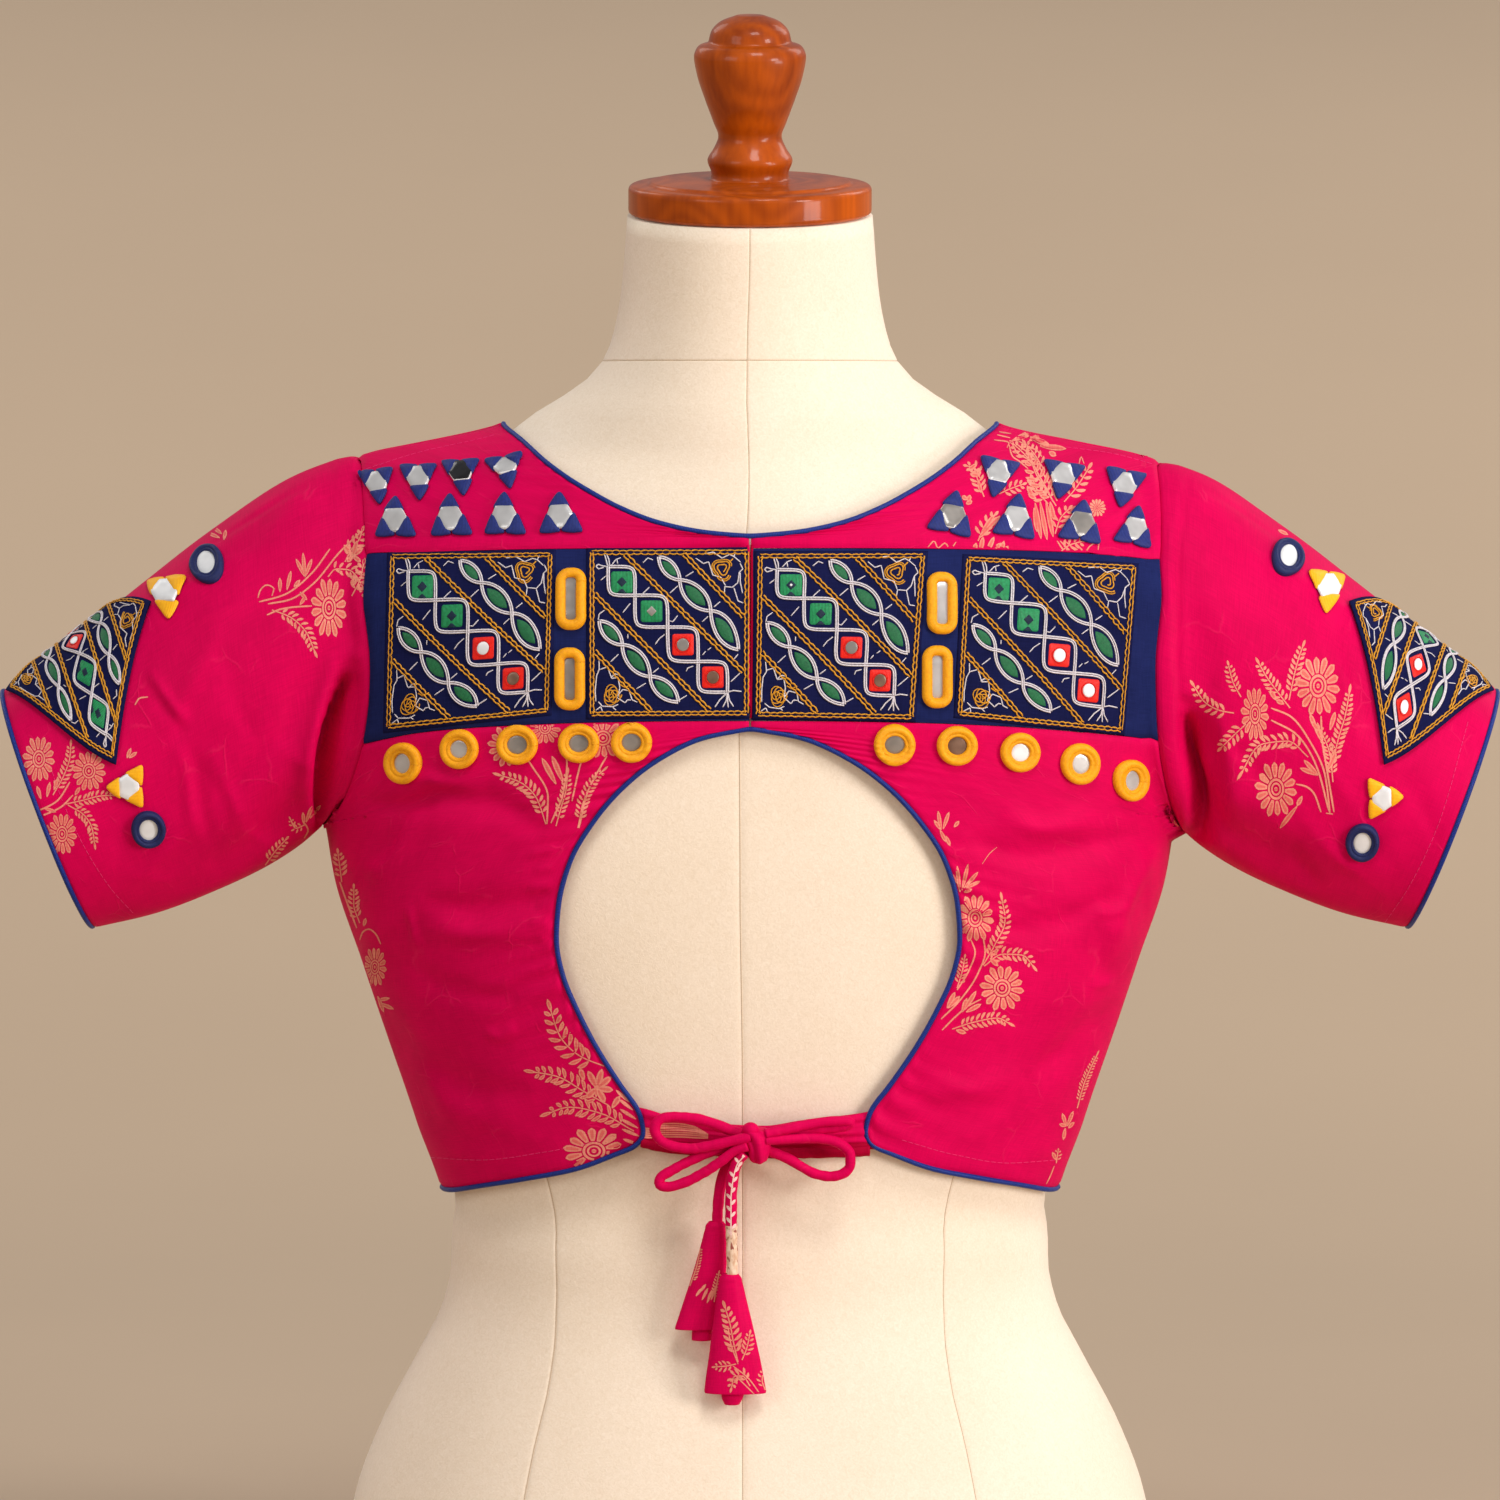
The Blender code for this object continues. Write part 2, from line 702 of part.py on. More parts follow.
def shoulder_seam(count, side):
    """Places from the neck point to the shoulder's tip."""
    heights = [NECK_POINT + (SHOULDER_TIP - NECK_POINT) * j / count for j in range(count + 1)]
    return [(seam_angle(height, side), height) for height in heights]


def armhole_angle(height, cut):
    return armhole(armhole_share(height), cut)[0]


def yoke_places():
    half = GAP / 2
    stop = armhole_angle(BAND_TOP[1] + half, -ARMHOLE_BACK)
    columns = 9
    bottom = across_back(BAND_TOP, half, columns, stop)
    top = shoulder_seam(columns, -1)
    left = [bottom[0]] + back_neckline()
    right = armhole_side(bottom[-1][1], SHOULDER_TIP, len(left) - 1, -ARMHOLE_BACK)
    right[0], right[-1] = bottom[-1], top[-1]
    return coons(bottom, top, left, right)


def band_places():
    half = GAP / 2
    low = armhole_angle(BAND_BOTTOM[1] + half, -ARMHOLE_BACK)
    high = armhole_angle(BAND_TOP[1] - half, -ARMHOLE_BACK)
    bottom = across_back(BAND_BOTTOM, half, 9, low)
    top = across_back(BAND_TOP, -half, 9, high)
    rows = 5
    heights = [bottom[0][1] + (top[0][1] - bottom[0][1]) * i / rows for i in range(rows + 1)]
    left = [(back_angle(CENTRE_OPENING, height), height) for height in heights]
    right = armhole_side(bottom[-1][1], top[-1][1], rows, -ARMHOLE_BACK)
    right[0], right[-1] = bottom[-1], top[-1]
    return coons(bottom, top, left, right)


def keyhole_edge(side):
    """Places down the keyhole's edge on one side of the back."""
    lean = 1 + side * KEYHOLE_LEAN
    rows = [(max(CENTRE_OPENING, x * lean), z) for x, z in KEYHOLE]
    return on_route(rows, KEYHOLE_STEPS, back_angle)


def back_hem(side):
    """Places along the back hem from the keyhole's corner to the side seam."""
    last = len(BACK_HEM) - 1
    rows = []
    for i, (x, z) in enumerate(BACK_HEM):
        rows.append((x * (1 + side * KEYHOLE_LEAN * (1 - i / last)), z))
    places = on_route(rows, HEM_STEPS, back_angle)
    places[-1] = (seam_angle(HEM_SIDE, -1), HEM_SIDE)
    return places


def lower_back_places(side):
    half = GAP / 2
    columns, side_rows, armhole_rows = HEM_STEPS, 12, KEYHOLE_STEPS - 11
    stop = armhole_angle(BAND_BOTTOM[1] - half, -ARMHOLE_BACK)
    top = across_back(BAND_BOTTOM, -half, columns, stop)
    bottom = back_hem(side)
    heights = [HEM_SIDE + (ARMPIT - HEM_SIDE) * i / side_rows for i in range(side_rows)]
    right = [(seam_angle(height, -1), height) for height in heights]
    right += armhole_side(ARMPIT, top[-1][1], armhole_rows, -ARMHOLE_BACK)
    right[-1] = top[-1]
    left = keyhole_edge(side)[::-1] + [top[0]]
    left[0] = bottom[0]
    return coons(bottom, top, left, right)


def front_places():
    """The right half of the front: a lower grid and a shoulder grid that share an edge."""
    columns, side_rows, armhole_rows = HEM_STEPS, 10, 4
    centre = math.pi / 2
    chest_angle = armhole_angle(CHEST_LINE[1], ARMHOLE_FRONT)
    chest = [
        (
            centre + (chest_angle - centre) * j / columns,
            CHEST_LINE[0] + (CHEST_LINE[1] - CHEST_LINE[0]) * (j / columns) ** 2,
        )
        for j in range(columns + 1)
    ]
    side_angle = seam_angle(HEM_SIDE, 1)
    hem = [
        (
            centre + (side_angle - centre) * j / columns,
            HEM_SIDE - FRONT_HEM_DROP * (1 - (j / columns) ** 2),
        )
        for j in range(columns + 1)
    ]
    side = [HEM_SIDE + (ARMPIT - HEM_SIDE) * i / side_rows for i in range(side_rows)]
    right = [(seam_angle(height, 1), height) for height in side]
    right += armhole_side(ARMPIT, CHEST_LINE[1], armhole_rows, ARMHOLE_FRONT)
    right[-1] = chest[-1]
    rows = side_rows + armhole_rows
    heights = [hem[0][1] + (chest[0][1] - hem[0][1]) * i / rows for i in range(rows + 1)]
    left = [(centre, height) for height in heights]
    lower = coons(hem, chest, left, right)
    top = shoulder_seam(columns, 1)
    edge = [chest[0]] + front_neckline()
    arm = armhole_side(CHEST_LINE[1], SHOULDER_TIP, len(edge) - 1, ARMHOLE_FRONT)
    arm[0], arm[-1] = chest[-1], top[-1]
    return lower, coons(chest, top, edge, arm)


# ---------------------------------------------------------------- the sleeves

SLEEVE_CURVES = profiles(SLEEVE_COLUMNS, SLEEVE)

def armhole_point(turn):
    """A point of the armhole's edge; turn is 0 at the shoulder and 90 degrees at the back."""
    if turn <= math.pi:
        angle, height = armhole(1 - turn / math.pi, -ARMHOLE_BACK)
    else:
        angle, height = armhole(turn / math.pi - 1, ARMHOLE_FRONT)
    return bodice_point(angle, height) + np.array((SLEEVE_START, 0.0, 0.0))


def sleeve_ring(share, turn):
    size = {name: curve(share) for name, curve in SLEEVE_CURVES.items()}
    top = np.array((size["top_x"], 0.0, size["top_z"]))
    under = np.array((size["under_x"], 0.0, size["under_z"]))
    depth = np.array((0.0, -size["half_depth"] * math.sin(turn), 0.0))
    return (top + under) / 2 + (top - under) / 2 * math.cos(turn) + depth


def sleeve_smooth(share, turn):
    fade = max(0.0, 1 - share / SLEEVE_FADE) ** 2
    turn = turn % (2 * math.pi)
    return sleeve_ring(share, turn) + (armhole_point(turn) - sleeve_ring(0.0, turn)) * fade


def sleeve_normal(share, turn, step=0.01):
    inner = max(0.0, share - step)
    along = sleeve_smooth(share + step, turn) - sleeve_smooth(inner, turn)
    around = sleeve_smooth(share, turn + step) - sleeve_smooth(share, turn - step)
    return unit(np.cross(around, along))


def sleeve_fold(share, turn):
    total = 0.0
    for at, about, long, wide, deep, slant in SLEEVE_FOLDS:
        c, s = math.cos(slant), math.sin(slant)
        u = share - at
        v = (turn % (2 * math.pi) - about) / math.radians(60)
        along, over = u * c + v * s, -u * s + v * c
        total += deep * math.exp(-((along / long) ** 2) - (over / wide) ** 2)
    return total * min(1.0, share / 0.12) * min(1.0, (1.0 - share) / 0.15)


def sleeve_point(share, turn, out=0.0):
    """A point of the sleeve's outer face, or the given distance outside it."""
    reach = sleeve_fold(share, turn) if share <= 1 else 0.0
    return sleeve_smooth(share, turn) + sleeve_normal(share, turn) * (reach + out)


def sleeve_grid(side, around, along):
    flip = np.array((side, 1.0, 1.0))
    grid = []
    for i in range(along + 1):
        turns = [2 * math.pi * j / around for j in range(around)]
        row = [
            (sleeve_point(i / along, t) * flip, sleeve_point(i / along, t, -WALL) * flip)
            for t in turns
        ]
        grid.append(row + row[:1])
    return grid


# ---------------------------------------------------------------- what lies on the cloth


class Ground:
    """A cloth's outer face round one place on it, addressed by distances across and up."""

    def __init__(self, surface, place, side=1):
        self.surface, self.place, self.side = surface, np.array(place, float), side
        self.centre = surface(*place)
        normal = unit(surface(*place, 0.001) - self.centre)
        up = unit(np.array((0.0, normal[2], -normal[1])))
        self.axes = np.array((np.cross(up, normal) * side, up))

    def __call__(self, across, up, out):
        """Newton's steps to the point that lies so far across and up, seen square on."""
        place, step = self.place.copy(), 0.002
        for _ in range(4):
            here = self.surface(*place)
            miss = self.axes @ (here - self.centre) - np.array((across, up))
            first = self.surface(place[0] + step, place[1]) - here
            second = self.surface(place[0], place[1] + step) - here
            slope = self.axes @ np.column_stack((first, second)) / step
            place -= np.linalg.solve(slope, miss)
        return self.surface(*place, out) * np.array((self.side, 1.0, 1.0))


def folded_bodice(angle, height, out=0.0):
    return bodice_point(angle, height, fold_depth(angle, height) + out)


def back_ground(across, height):
    side = 1 if across >= 0 else -1
    return Ground(folded_bodice, (back_angle(abs(across), height), height), side)


def sleeve_ground(side, share, turn):
    return Ground(sleeve_point, (share, math.radians(turn)), side)


def outline_round(size):
    turns = [2 * math.pi * i / OUTLINE_STEPS for i in range(OUTLINE_STEPS)]
    return [(size[0] / 2 * math.cos(t), size[1] / 2 * math.sin(t)) for t in turns]


def outline_oblong(size):
    """Two half circles joined by straight sides."""
    radius, straight = size[0] / 2, (size[1] - size[0]) / 2
    half = OUTLINE_STEPS // 2
    turns = [math.pi * i / (half - 1) for i in range(half)]
    upper = [(radius * math.cos(t), straight + radius * math.sin(t)) for t in turns]
    return upper + [(-x, -y) for x, y in upper]


def outline_triangle(size):
    """A triangle that points up, with blunt corners."""
    corners = ((0.0, 0.58), (-0.5, -0.42), (0.5, -0.42))
    points = []
    for i, corner in enumerate(corners):
        before, after = corners[i - 1], corners[(i + 1) % 3]
        for other, share in ((before, 0.20), (None, 0.0), (after, 0.20)):
            if other is None:
                x, y = corner[0] * 0.93, corner[1] * 0.93
            else:
                x = corner[0] + (other[0] - corner[0]) * share
                y = corner[1] + (other[1] - corner[1]) * share
            points.append((x * size[0], y * size[1]))
    return points


# Kinds of mirror patch: outline, size, the mirror's share of it, finish.
PATCH_KINDS = {
    "ring": (outline_round, (0.0172, 0.0172), 0.48, "yellow_thread"),
    "oblong": (outline_oblong, (0.0132, 0.0272), 0.48, "yellow_thread"),
    "dark_ring": (outline_round, (0.0164, 0.0164), 0.52, "navy_thread"),
    "triangle": (outline_triangle, (0.0180, 0.0172), 0.55, "navy_thread"),
    "bright_triangle": (outline_triangle, (0.0185, 0.0190), 0.55, "yellow_thread"),
}


def mirror_patch(name, ground, kind, turn, lift):
    """A thick stitched patch round a small mirror, built out from the cloth's own face."""
    outline, size, bore, finish = PATCH_KINDS[kind]
    c, s = math.cos(math.radians(turn)), math.sin(math.radians(turn))
    shape = [(x * c - y * s, x * s + y * c) for x, y in outline(size)]
    rims = ((1.0, lift), (0.97, lift + PATCH_RIM), (bore, lift + PATCH_RIM + 0.0002))
    loops = [[ground(x * part, y * part, out) for x, y in shape] for part, out in rims]
    return stacked(name, loops, FINISHES[finish], smooth=False)


# ---------------------------------------------------------------- pipings and cords


def piping_line(places, surface, away):
    """Tube centres along an edge, just off it; away is 1 or -1 for the side to leave on."""
    count = len(places)
    centres = []
    for i, (a, b) in enumerate(places):
        here = surface(a, b)
        before = surface(*places[max(0, i - 1)])
        after = surface(*places[min(count - 1, i + 1)])
        tangent = unit(after - before)
        normal = unit(surface(a, b, 0.001) - here)
        off = np.cross(normal, tangent) * away
        centres.append(here - normal * WALL / 2 + off * (PIPING_RADIUS + 2 * GAP))
    return centres


def mirrored(points):
    return [point * np.array((-1.0, 1.0, 1.0)) for point in points]


def smooth_line(route, spacing):
    """Points read from a smooth curve through the route's points."""
    curve = Route(route)
    length = sum(np.linalg.norm(curve((i + 1) / 200) - curve(i / 200)) for i in range(200))
    count = max(3, round(length / spacing))
    return [curve(i / count) for i in range(count + 1)]


def tube_mesh(name, points, radius, finish, sides=7):
    """A mesh tube that keeps its section square to the line."""
    points = [np.array(point, float) for point in points]
    side = unit(np.cross(points[1] - points[0], (0.1, 1.0, 0.2)))
    loops = []
    for i, point in enumerate(points):
        tangent = unit(points[min(i + 1, len(points) - 1)] - points[max(i - 1, 0)])
        side = unit(side - tangent * side.dot(tangent))
        other = np.cross(tangent, side)
        turns = [2 * math.pi * k / sides for k in range(sides)]
        loops.append([point + radius * (side * math.cos(t) + other * math.sin(t)) for t in turns])
    return stacked(name, loops, finish)


# ---------------------------------------------------------------- building

for old in list(bpy.data.objects):
    bpy.data.objects.remove(old, do_unlink=True)

FINISHES = {
    "pink_cloth": material("pink_cloth", (0.67, 0.005, 0.11), 0.55),
    "navy_cloth": material("navy_cloth", (0.012, 0.02, 0.11), 0.7),
    "blue_piping": material("blue_piping", (0.01, 0.05, 0.27), 0.6),
    "yellow_thread": material("yellow_thread", (0.95, 0.43, 0.01), 0.5),
    "navy_thread": material("navy_thread", (0.012, 0.025, 0.14), 0.55),
    "form_cloth": material("form_cloth", (0.83, 0.68, 0.52), 0.85),
    "turned_wood": material("turned_wood", (0.35, 0.10, 0.02), 0.3),
}

def form_slack(angle, height):
    """How far the form shrinks from the cloth where the blouse covers it."""
    start, end = (math.tanh((height - at) / soft) for at, soft in FORM_COVER)
    everywhere, in_front, at_shoulders = FORM_SLACK
    slack = everywhere + in_front * max(0.0, math.sin(angle) + 0.15)
    if height > FORM_SHOULDER:
        slack += at_shoulders
    return 0.5 * (start - end) * slack


def build_form():
    """The padded torso, cut off flat where arms would start, and its turned wooden top."""
    levels = [0.0, 0.03, 0.06, 0.08, 0.10, 0.12, 0.137, 0.156, 0.176, 0.198, 0.22, 0.25]
    levels += [0.28, 0.31, 0.335, 0.353, 0.37, 0.41, 0.45, 0.48, 0.50, 0.512, 0.5233]
    levels += [0.528, 0.532, 0.536, 0.54, 0.5425, 0.5455, 0.551, 0.56, 0.569, 0.578, 0.60, 0.6337]
    around = 28
    loops = []
    for height in levels:
        below = 0.5 * (1 - math.tanh((height - PLATE_FOOT[0]) / PLATE_FOOT[1]))
        limit = PLATE + PLATE_FLARE * below
        loop = []
        for i in range(around):
            angle = 2 * math.pi * i / around
            point = figure_point(angle, height)
            point -= figure_normal(angle, height) * form_slack(angle, height)
            point[0] = max(-limit, min(limit, point[0]))
            loop.append(point)
        loops.append(loop)
    stacked("form_torso", loops, FINISHES["form_cloth"])
    turned("form_cap_and_finial", CAP_PROFILE, 20, FINISHES["turned_wood"])


def build_bodice():
    pink, navy = FINISHES["pink_cloth"], FINISHES["navy_cloth"]
    yoke, band = yoke_places(), band_places()
    for side, label in ((-1, "left"), (1, "right")):
        cloth("back_yoke_" + label, [bodice_grid(yoke, side)], pink)
        cloth("back_band_" + label, [bodice_grid(band, side)], navy)
        cloth("lower_back_" + label, [bodice_grid(lower_back_places(side), side)], pink)
    chest, strap = front_places()
    grids = [bodice_grid(places, side) for places in (chest, strap) for side in (-1, 1)]
    cloth("front", grids, pink)


def build_sleeves():
    for side, label in ((-1, "left"), (1, "right")):
        cloth("sleeve_" + label, [sleeve_grid(side, 24, 11)], FINISHES["pink_cloth"])
        corners = np.array(SLEEVE_SQUARE)
        corners[:, 1] = np.radians(corners[:, 1])
        steps = 7
        grid = []
        for i in range(steps + 1):
            start = corners[0] + (corners[3] - corners[0]) * i / steps
            end = corners[1] + (corners[2] - corners[1]) * i / steps
            row = []
            for j in range(steps + 1):
                share, turn = start + (end - start) * j / steps
                flip = np.array((side, 1.0, 1.0))
                top = sleeve_point(share, turn, SQUARE_LIFT + SQUARE_WALL) * flip
                row.append((top, sleeve_point(share, turn, SQUARE_LIFT) * flip))
            grid.append(row)
        cloth("sleeve_square_" + label, [grid], FINISHES["navy_cloth"])


def build_mirror_patches():
    for number, (kind, across, height, turn) in enumerate(BACK_PATCHES, 1):
        name = "back_%s_%02d" % (kind, number)
        lift = SHOULDER_LIFT if height > 0.518 else BACK_LIFT
        mirror_patch(name, back_ground(across, height), kind, turn, lift)
    for number, (kind, side, share, about, turn) in enumerate(SLEEVE_PATCHES, 1):
        name = "sleeve_%s_%02d" % (kind, number)
        mirror_patch(name, sleeve_ground(side, share, about), kind, turn, SLEEVE_LIFT)


def build_pipings():
    blue = FINISHES["blue_piping"]
    back = piping_line(back_neckline(), folded_bodice, 1)
    front = piping_line(front_neckline()[:-1], folded_bodice, -1)[::-1]
    half = back[1:] + front
    tube("neck_piping", half + mirrored(half[:-1])[::-1], PIPING_RADIUS, blue, closed=True)

    halves = []
    for side in (1, -1):
        line = piping_line(keyhole_edge(side) + back_hem(side)[1:], folded_bodice, -1)
        line += piping_line(front_hem_places(HEM_STEPS), folded_bodice, -1)[1:]
        line[0][0] = PIPING_RADIUS + GAP
        halves.append(line)
    tube("edge_piping", halves[0][:-1] + mirrored(halves[1])[::-1], PIPING_RADIUS, blue, closed=True)

    for side, label in ((-1, "left"), (1, "right")):
        centres = []
        for i in range(24):
            turn = 2 * math.pi * i / 24
            here = sleeve_point(1.0, turn)
            out = unit(here - sleeve_point(0.97, turn))
            centre = here - sleeve_normal(1.0, turn) * WALL / 2 + out * (PIPING_RADIUS + 2 * GAP)
            centres.append(centre * np.array((side, 1.0, 1.0)))
        tube("cuff_piping_" + label, centres, PIPING_RADIUS, blue, closed=True)


def front_hem_places(count):
    """Places along the front hem from the side seam to the centre front."""
    start = seam_angle(HEM_SIDE, 1)
    places = []
    for i in range(count + 1):
        share = i / count
        angle = start + (math.pi / 2 - start) * share
        places.append((angle, HEM_SIDE - FRONT_HEM_DROP * (1 - (1 - share) ** 2)))
    return places


def build_ties():
    pink = FINISHES["pink_cloth"]
    tube("tie_strap", smooth_line(STRAPS, CORD_SPACING), CORD_RADIUS, pink, sides_level=2)
    for name, route in (("tie_end_plain", PLAIN_END), ("tie_end_printed", PRINTED_END)):
        tube(name, smooth_line(route, CORD_SPACING), CORD_RADIUS, pink, sides_level=2)
    build_bow(pink)
    for name, rows in (("tassel_side", SIDE_TASSEL), ("tassel_front", FRONT_TASSEL)):
        loops = []
        for x, y, z, wide, deep in rows:
            turns = [2 * math.pi * k / 12 for k in range(12)]
            loops.append([(x + wide * math.cos(t), y + deep * math.sin(t), z) for t in turns])
        stacked(name, loops, pink)


def build_bow(finish):
    """The knot with its four loops, joined into one solid."""
    x, y, z = KNOT_CENTRE
    wide, deep, tall = KNOT_HALF
    loops = []
    for lean in (-0.97, -0.7, -0.25, 0.25, 0.7, 0.97):
        ring = math.sqrt(1 - abs(lean) ** 2.6)
        turns = [2 * math.pi * k / 12 for k in range(12)]
        loops.append(
            [
                (x + wide * ring * math.cos(t), y + deep * ring * math.sin(t), z + tall * lean)
                for t in turns
            ]
        )
    knot = stacked("bow", loops, finish)
    for number, route in enumerate(LOOPS, 1):
        line = smooth_line(route, LOOP_SPACING)
        strand = tube_mesh("loop_%d" % number, line, CORD_RADIUS, finish)
        strand.hide_render = True
        strand.display_type = "WIRE"
        join = knot.modifiers.new("loop_%d" % number, "BOOLEAN")
        join.operation = "UNION"
        join.solver = "EXACT"
        join.object = strand


build_form()
build_bodice()
build_sleeves()
build_mirror_patches()
build_pipings()
build_ties()
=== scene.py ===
"""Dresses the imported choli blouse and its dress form.

The surface functions repeat the part's own, for arrays of points.  Angle 0 is the figure's
right side and -90 degrees its centre back; a sleeve's turn is 0 on top and 90 at the back.
"""

import math

import bpy
import numpy as np
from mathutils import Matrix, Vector
from mathutils.bvhtree import BVHTree


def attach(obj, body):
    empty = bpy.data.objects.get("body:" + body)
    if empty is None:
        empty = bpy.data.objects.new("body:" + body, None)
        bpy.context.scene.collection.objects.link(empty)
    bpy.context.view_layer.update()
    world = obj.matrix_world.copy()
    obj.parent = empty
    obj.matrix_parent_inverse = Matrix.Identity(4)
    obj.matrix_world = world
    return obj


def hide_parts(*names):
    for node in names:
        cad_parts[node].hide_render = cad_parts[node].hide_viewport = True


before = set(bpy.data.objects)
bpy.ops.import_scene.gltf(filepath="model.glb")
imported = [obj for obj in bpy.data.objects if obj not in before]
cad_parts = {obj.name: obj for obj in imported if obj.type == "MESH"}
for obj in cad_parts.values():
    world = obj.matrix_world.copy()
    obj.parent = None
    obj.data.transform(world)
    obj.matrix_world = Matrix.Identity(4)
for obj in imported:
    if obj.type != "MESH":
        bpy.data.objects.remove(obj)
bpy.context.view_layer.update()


# ---------------------------------------------------------------- camera

PHOTO_SIZE = 1500
FOCAL_PIXELS = 18400.0
SENSOR_MM = 36.0
CAMERA_TARGET = (0.0, 0.0, 0.40)
CAMERA_DISTANCE = 8.0
CAMERA_ELEVATION = math.radians(8)

FORWARD = np.array((0.0, math.cos(CAMERA_ELEVATION), -math.sin(CAMERA_ELEVATION)))
UPWARD = np.array((0.0, math.sin(CAMERA_ELEVATION), math.cos(CAMERA_ELEVATION)))
EYE = np.array(CAMERA_TARGET) - FORWARD * CAMERA_DISTANCE


def make_camera():
    data = bpy.data.cameras.new("camera")
    data.sensor_width = SENSOR_MM
    data.lens = FOCAL_PIXELS / PHOTO_SIZE * SENSOR_MM
    data.clip_end = 60.0
    camera = bpy.data.objects.new("camera", data)
    camera.location = EYE
    camera.rotation_euler = (math.pi / 2 - CAMERA_ELEVATION, 0.0, 0.0)
    bpy.context.scene.collection.objects.link(camera)
    bpy.context.scene.camera = camera
    bpy.context.scene.view_settings.view_transform = "Standard"


def pixel_rays(pixels):
    """Directions from the eye through places in the photograph's frame."""
    pixels = np.asarray(pixels, float)
    right = (pixels[..., 0] - PHOTO_SIZE / 2) / FOCAL_PIXELS
    up = (PHOTO_SIZE / 2 - pixels[..., 1]) / FOCAL_PIXELS
    rays = FORWARD + right[..., None] * np.array((1.0, 0.0, 0.0)) + up[..., None] * UPWARD
    return rays / np.linalg.norm(rays, axis=-1, keepdims=True)


make_camera()


# ---------------------------------------------------------------- the part's sizes

WALL = 0.0012
EASE = 0.0022
SHOULDER_EASE = 0.0013
GAP = 0.0003
SLEEVE_START = 0.0012
HEM_SIDE = 0.2090
ARMPIT = 0.3690
SHOULDER_TIP = 0.5250
NECK_POINT = 0.5415
FRONT_NECK = 0.4150
FRONT_NECK_REACH = 0.1085
FRONT_NECK_CURVE = (0.85, 0.95)
PLATE = 0.1590
PLATE_FOOT = (0.352, 0.012)
PLATE_FLARE = 0.035
FORM_SLACK = (0.0022, 0.0022, 0.0018)
FORM_SHOULDER = 0.49
FORM_COVER = ((0.195, 0.006), (0.544, 0.004))
ARMHOLE_BACK = math.radians(33.5)
ARMHOLE_FRONT = math.radians(35)
ARMHOLE_FULLNESS = (0.88, 0.60)
CENTRE_OPENING = 0.0004
SIDE_CLEARANCE = 0.00018
PIPING_RADIUS = 0.0011
CORD_RADIUS = 0.0025
FORM_TOP = 0.6337

FIGURE_COLUMNS = ("height", "half_width", "back", "front", "flat", "side")
FIGURE = (
    (0.000, 0.1815, 0.1180, 0.1000, 2.2, 2.2),
    (0.040, 0.1785, 0.1160, 0.0990, 2.2, 2.2),
    (0.075, 0.1718, 0.1100, 0.0965, 2.2, 2.2),
    (0.102, 0.1617, 0.1020, 0.0935, 2.2, 2.2),
    (0.137, 0.1434, 0.0905, 0.0890, 2.2, 2.2),
    (0.156, 0.1340, 0.0850, 0.0870, 2.2, 2.2),
    (0.176, 0.1300, 0.0820, 0.0865, 2.2, 2.2),
    (0.198, 0.1302, 0.0822, 0.0880, 2.2, 2.2),
    (0.240, 0.1426, 0.0860, 0.0940, 2.2, 2.2),
    (0.275, 0.1543, 0.0905, 0.1010, 2.2, 2.2),
    (0.310, 0.1660, 0.0945, 0.1080, 2.25, 2.2),
    (0.345, 0.1775, 0.0970, 0.1130, 2.3, 2.2),
    (0.369, 0.1815, 0.0978, 0.1140, 2.3, 2.2),
    (0.400, 0.1890, 0.0978, 0.1110, 2.3, 2.2),
    (0.440, 0.1970, 0.0965, 0.1030, 2.3, 2.15),
    (0.470, 0.1990, 0.0942, 0.0950, 2.3, 2.0),
    (0.490, 0.1975, 0.0912, 0.0880, 2.0, 1.7),
    (0.505, 0.1930, 0.0882, 0.0820, 1.75, 1.5),
    (0.515, 0.1860, 0.0856, 0.0765, 1.6, 1.35),
    (0.5233, 0.1750, 0.0825, 0.0710, 1.5, 1.3),
    (0.532, 0.1430, 0.0780, 0.0655, 1.5, 1.3),
    (0.5400, 0.1100, 0.0735, 0.0615, 1.6, 1.4),
    (0.5510, 0.0883, 0.0682, 0.0585, 1.8, 1.6),
    (0.5600, 0.0732, 0.0640, 0.0565, 2.0, 1.8),
    (0.5690, 0.0648, 0.0605, 0.0550, 2.0, 2.0),
    (0.5780, 0.0605, 0.0580, 0.0545, 2.0, 2.0),
    (0.6000, 0.0560, 0.0550, 0.0540, 2.0, 2.0),
    (0.6360, 0.0530, 0.0530, 0.0530, 2.0, 2.0),
)
CUP_ANGLE = math.radians(52)
CUP_HEIGHT = 0.362
CUP_DEPTH = 0.016
CUP_WIDTH = math.radians(20)
CUP_TALL = 0.042

BACK_NECKLINE = (
    (0.1095, 0.5415),
    (0.0990, 0.5370),
    (0.0880, 0.5300),
    (0.0750, 0.5230),
    (0.0580, 0.5150),
    (0.0400, 0.5090),
    (0.0200, 0.5055),
    (0.0000, 0.5040),
)
KEYHOLE = (
    (0.0004, 0.4239),
    (0.0210, 0.4200),
    (0.0413, 0.4105),
    (0.0587, 0.3970),
    (0.0722, 0.3810),
    (0.0813, 0.3655),
    (0.0868, 0.3455),
    (0.0878, 0.3300),
    (0.0850, 0.3150),
    (0.0785, 0.2995),
    (0.0692, 0.2820),
    (0.0580, 0.2650),
    (0.0503, 0.2540),
    (0.0482, 0.2450),
)
BACK_HEM = (
    (0.0482, 0.2450),
    (0.0510, 0.2408),
    (0.0600, 0.2366),
    (0.0768, 0.2294),
    (0.0985, 0.2234),
    (0.1200, 0.2170),
    (0.1360, 0.2100),
)
KEYHOLE_LEAN = 0.04
BAND_TOP = (0.4998, 0.4888)
BAND_BOTTOM = (0.4265, 0.4114)
CHEST_LINE = (0.3950, 0.4200)
FRONT_HEM_DROP = 0.004

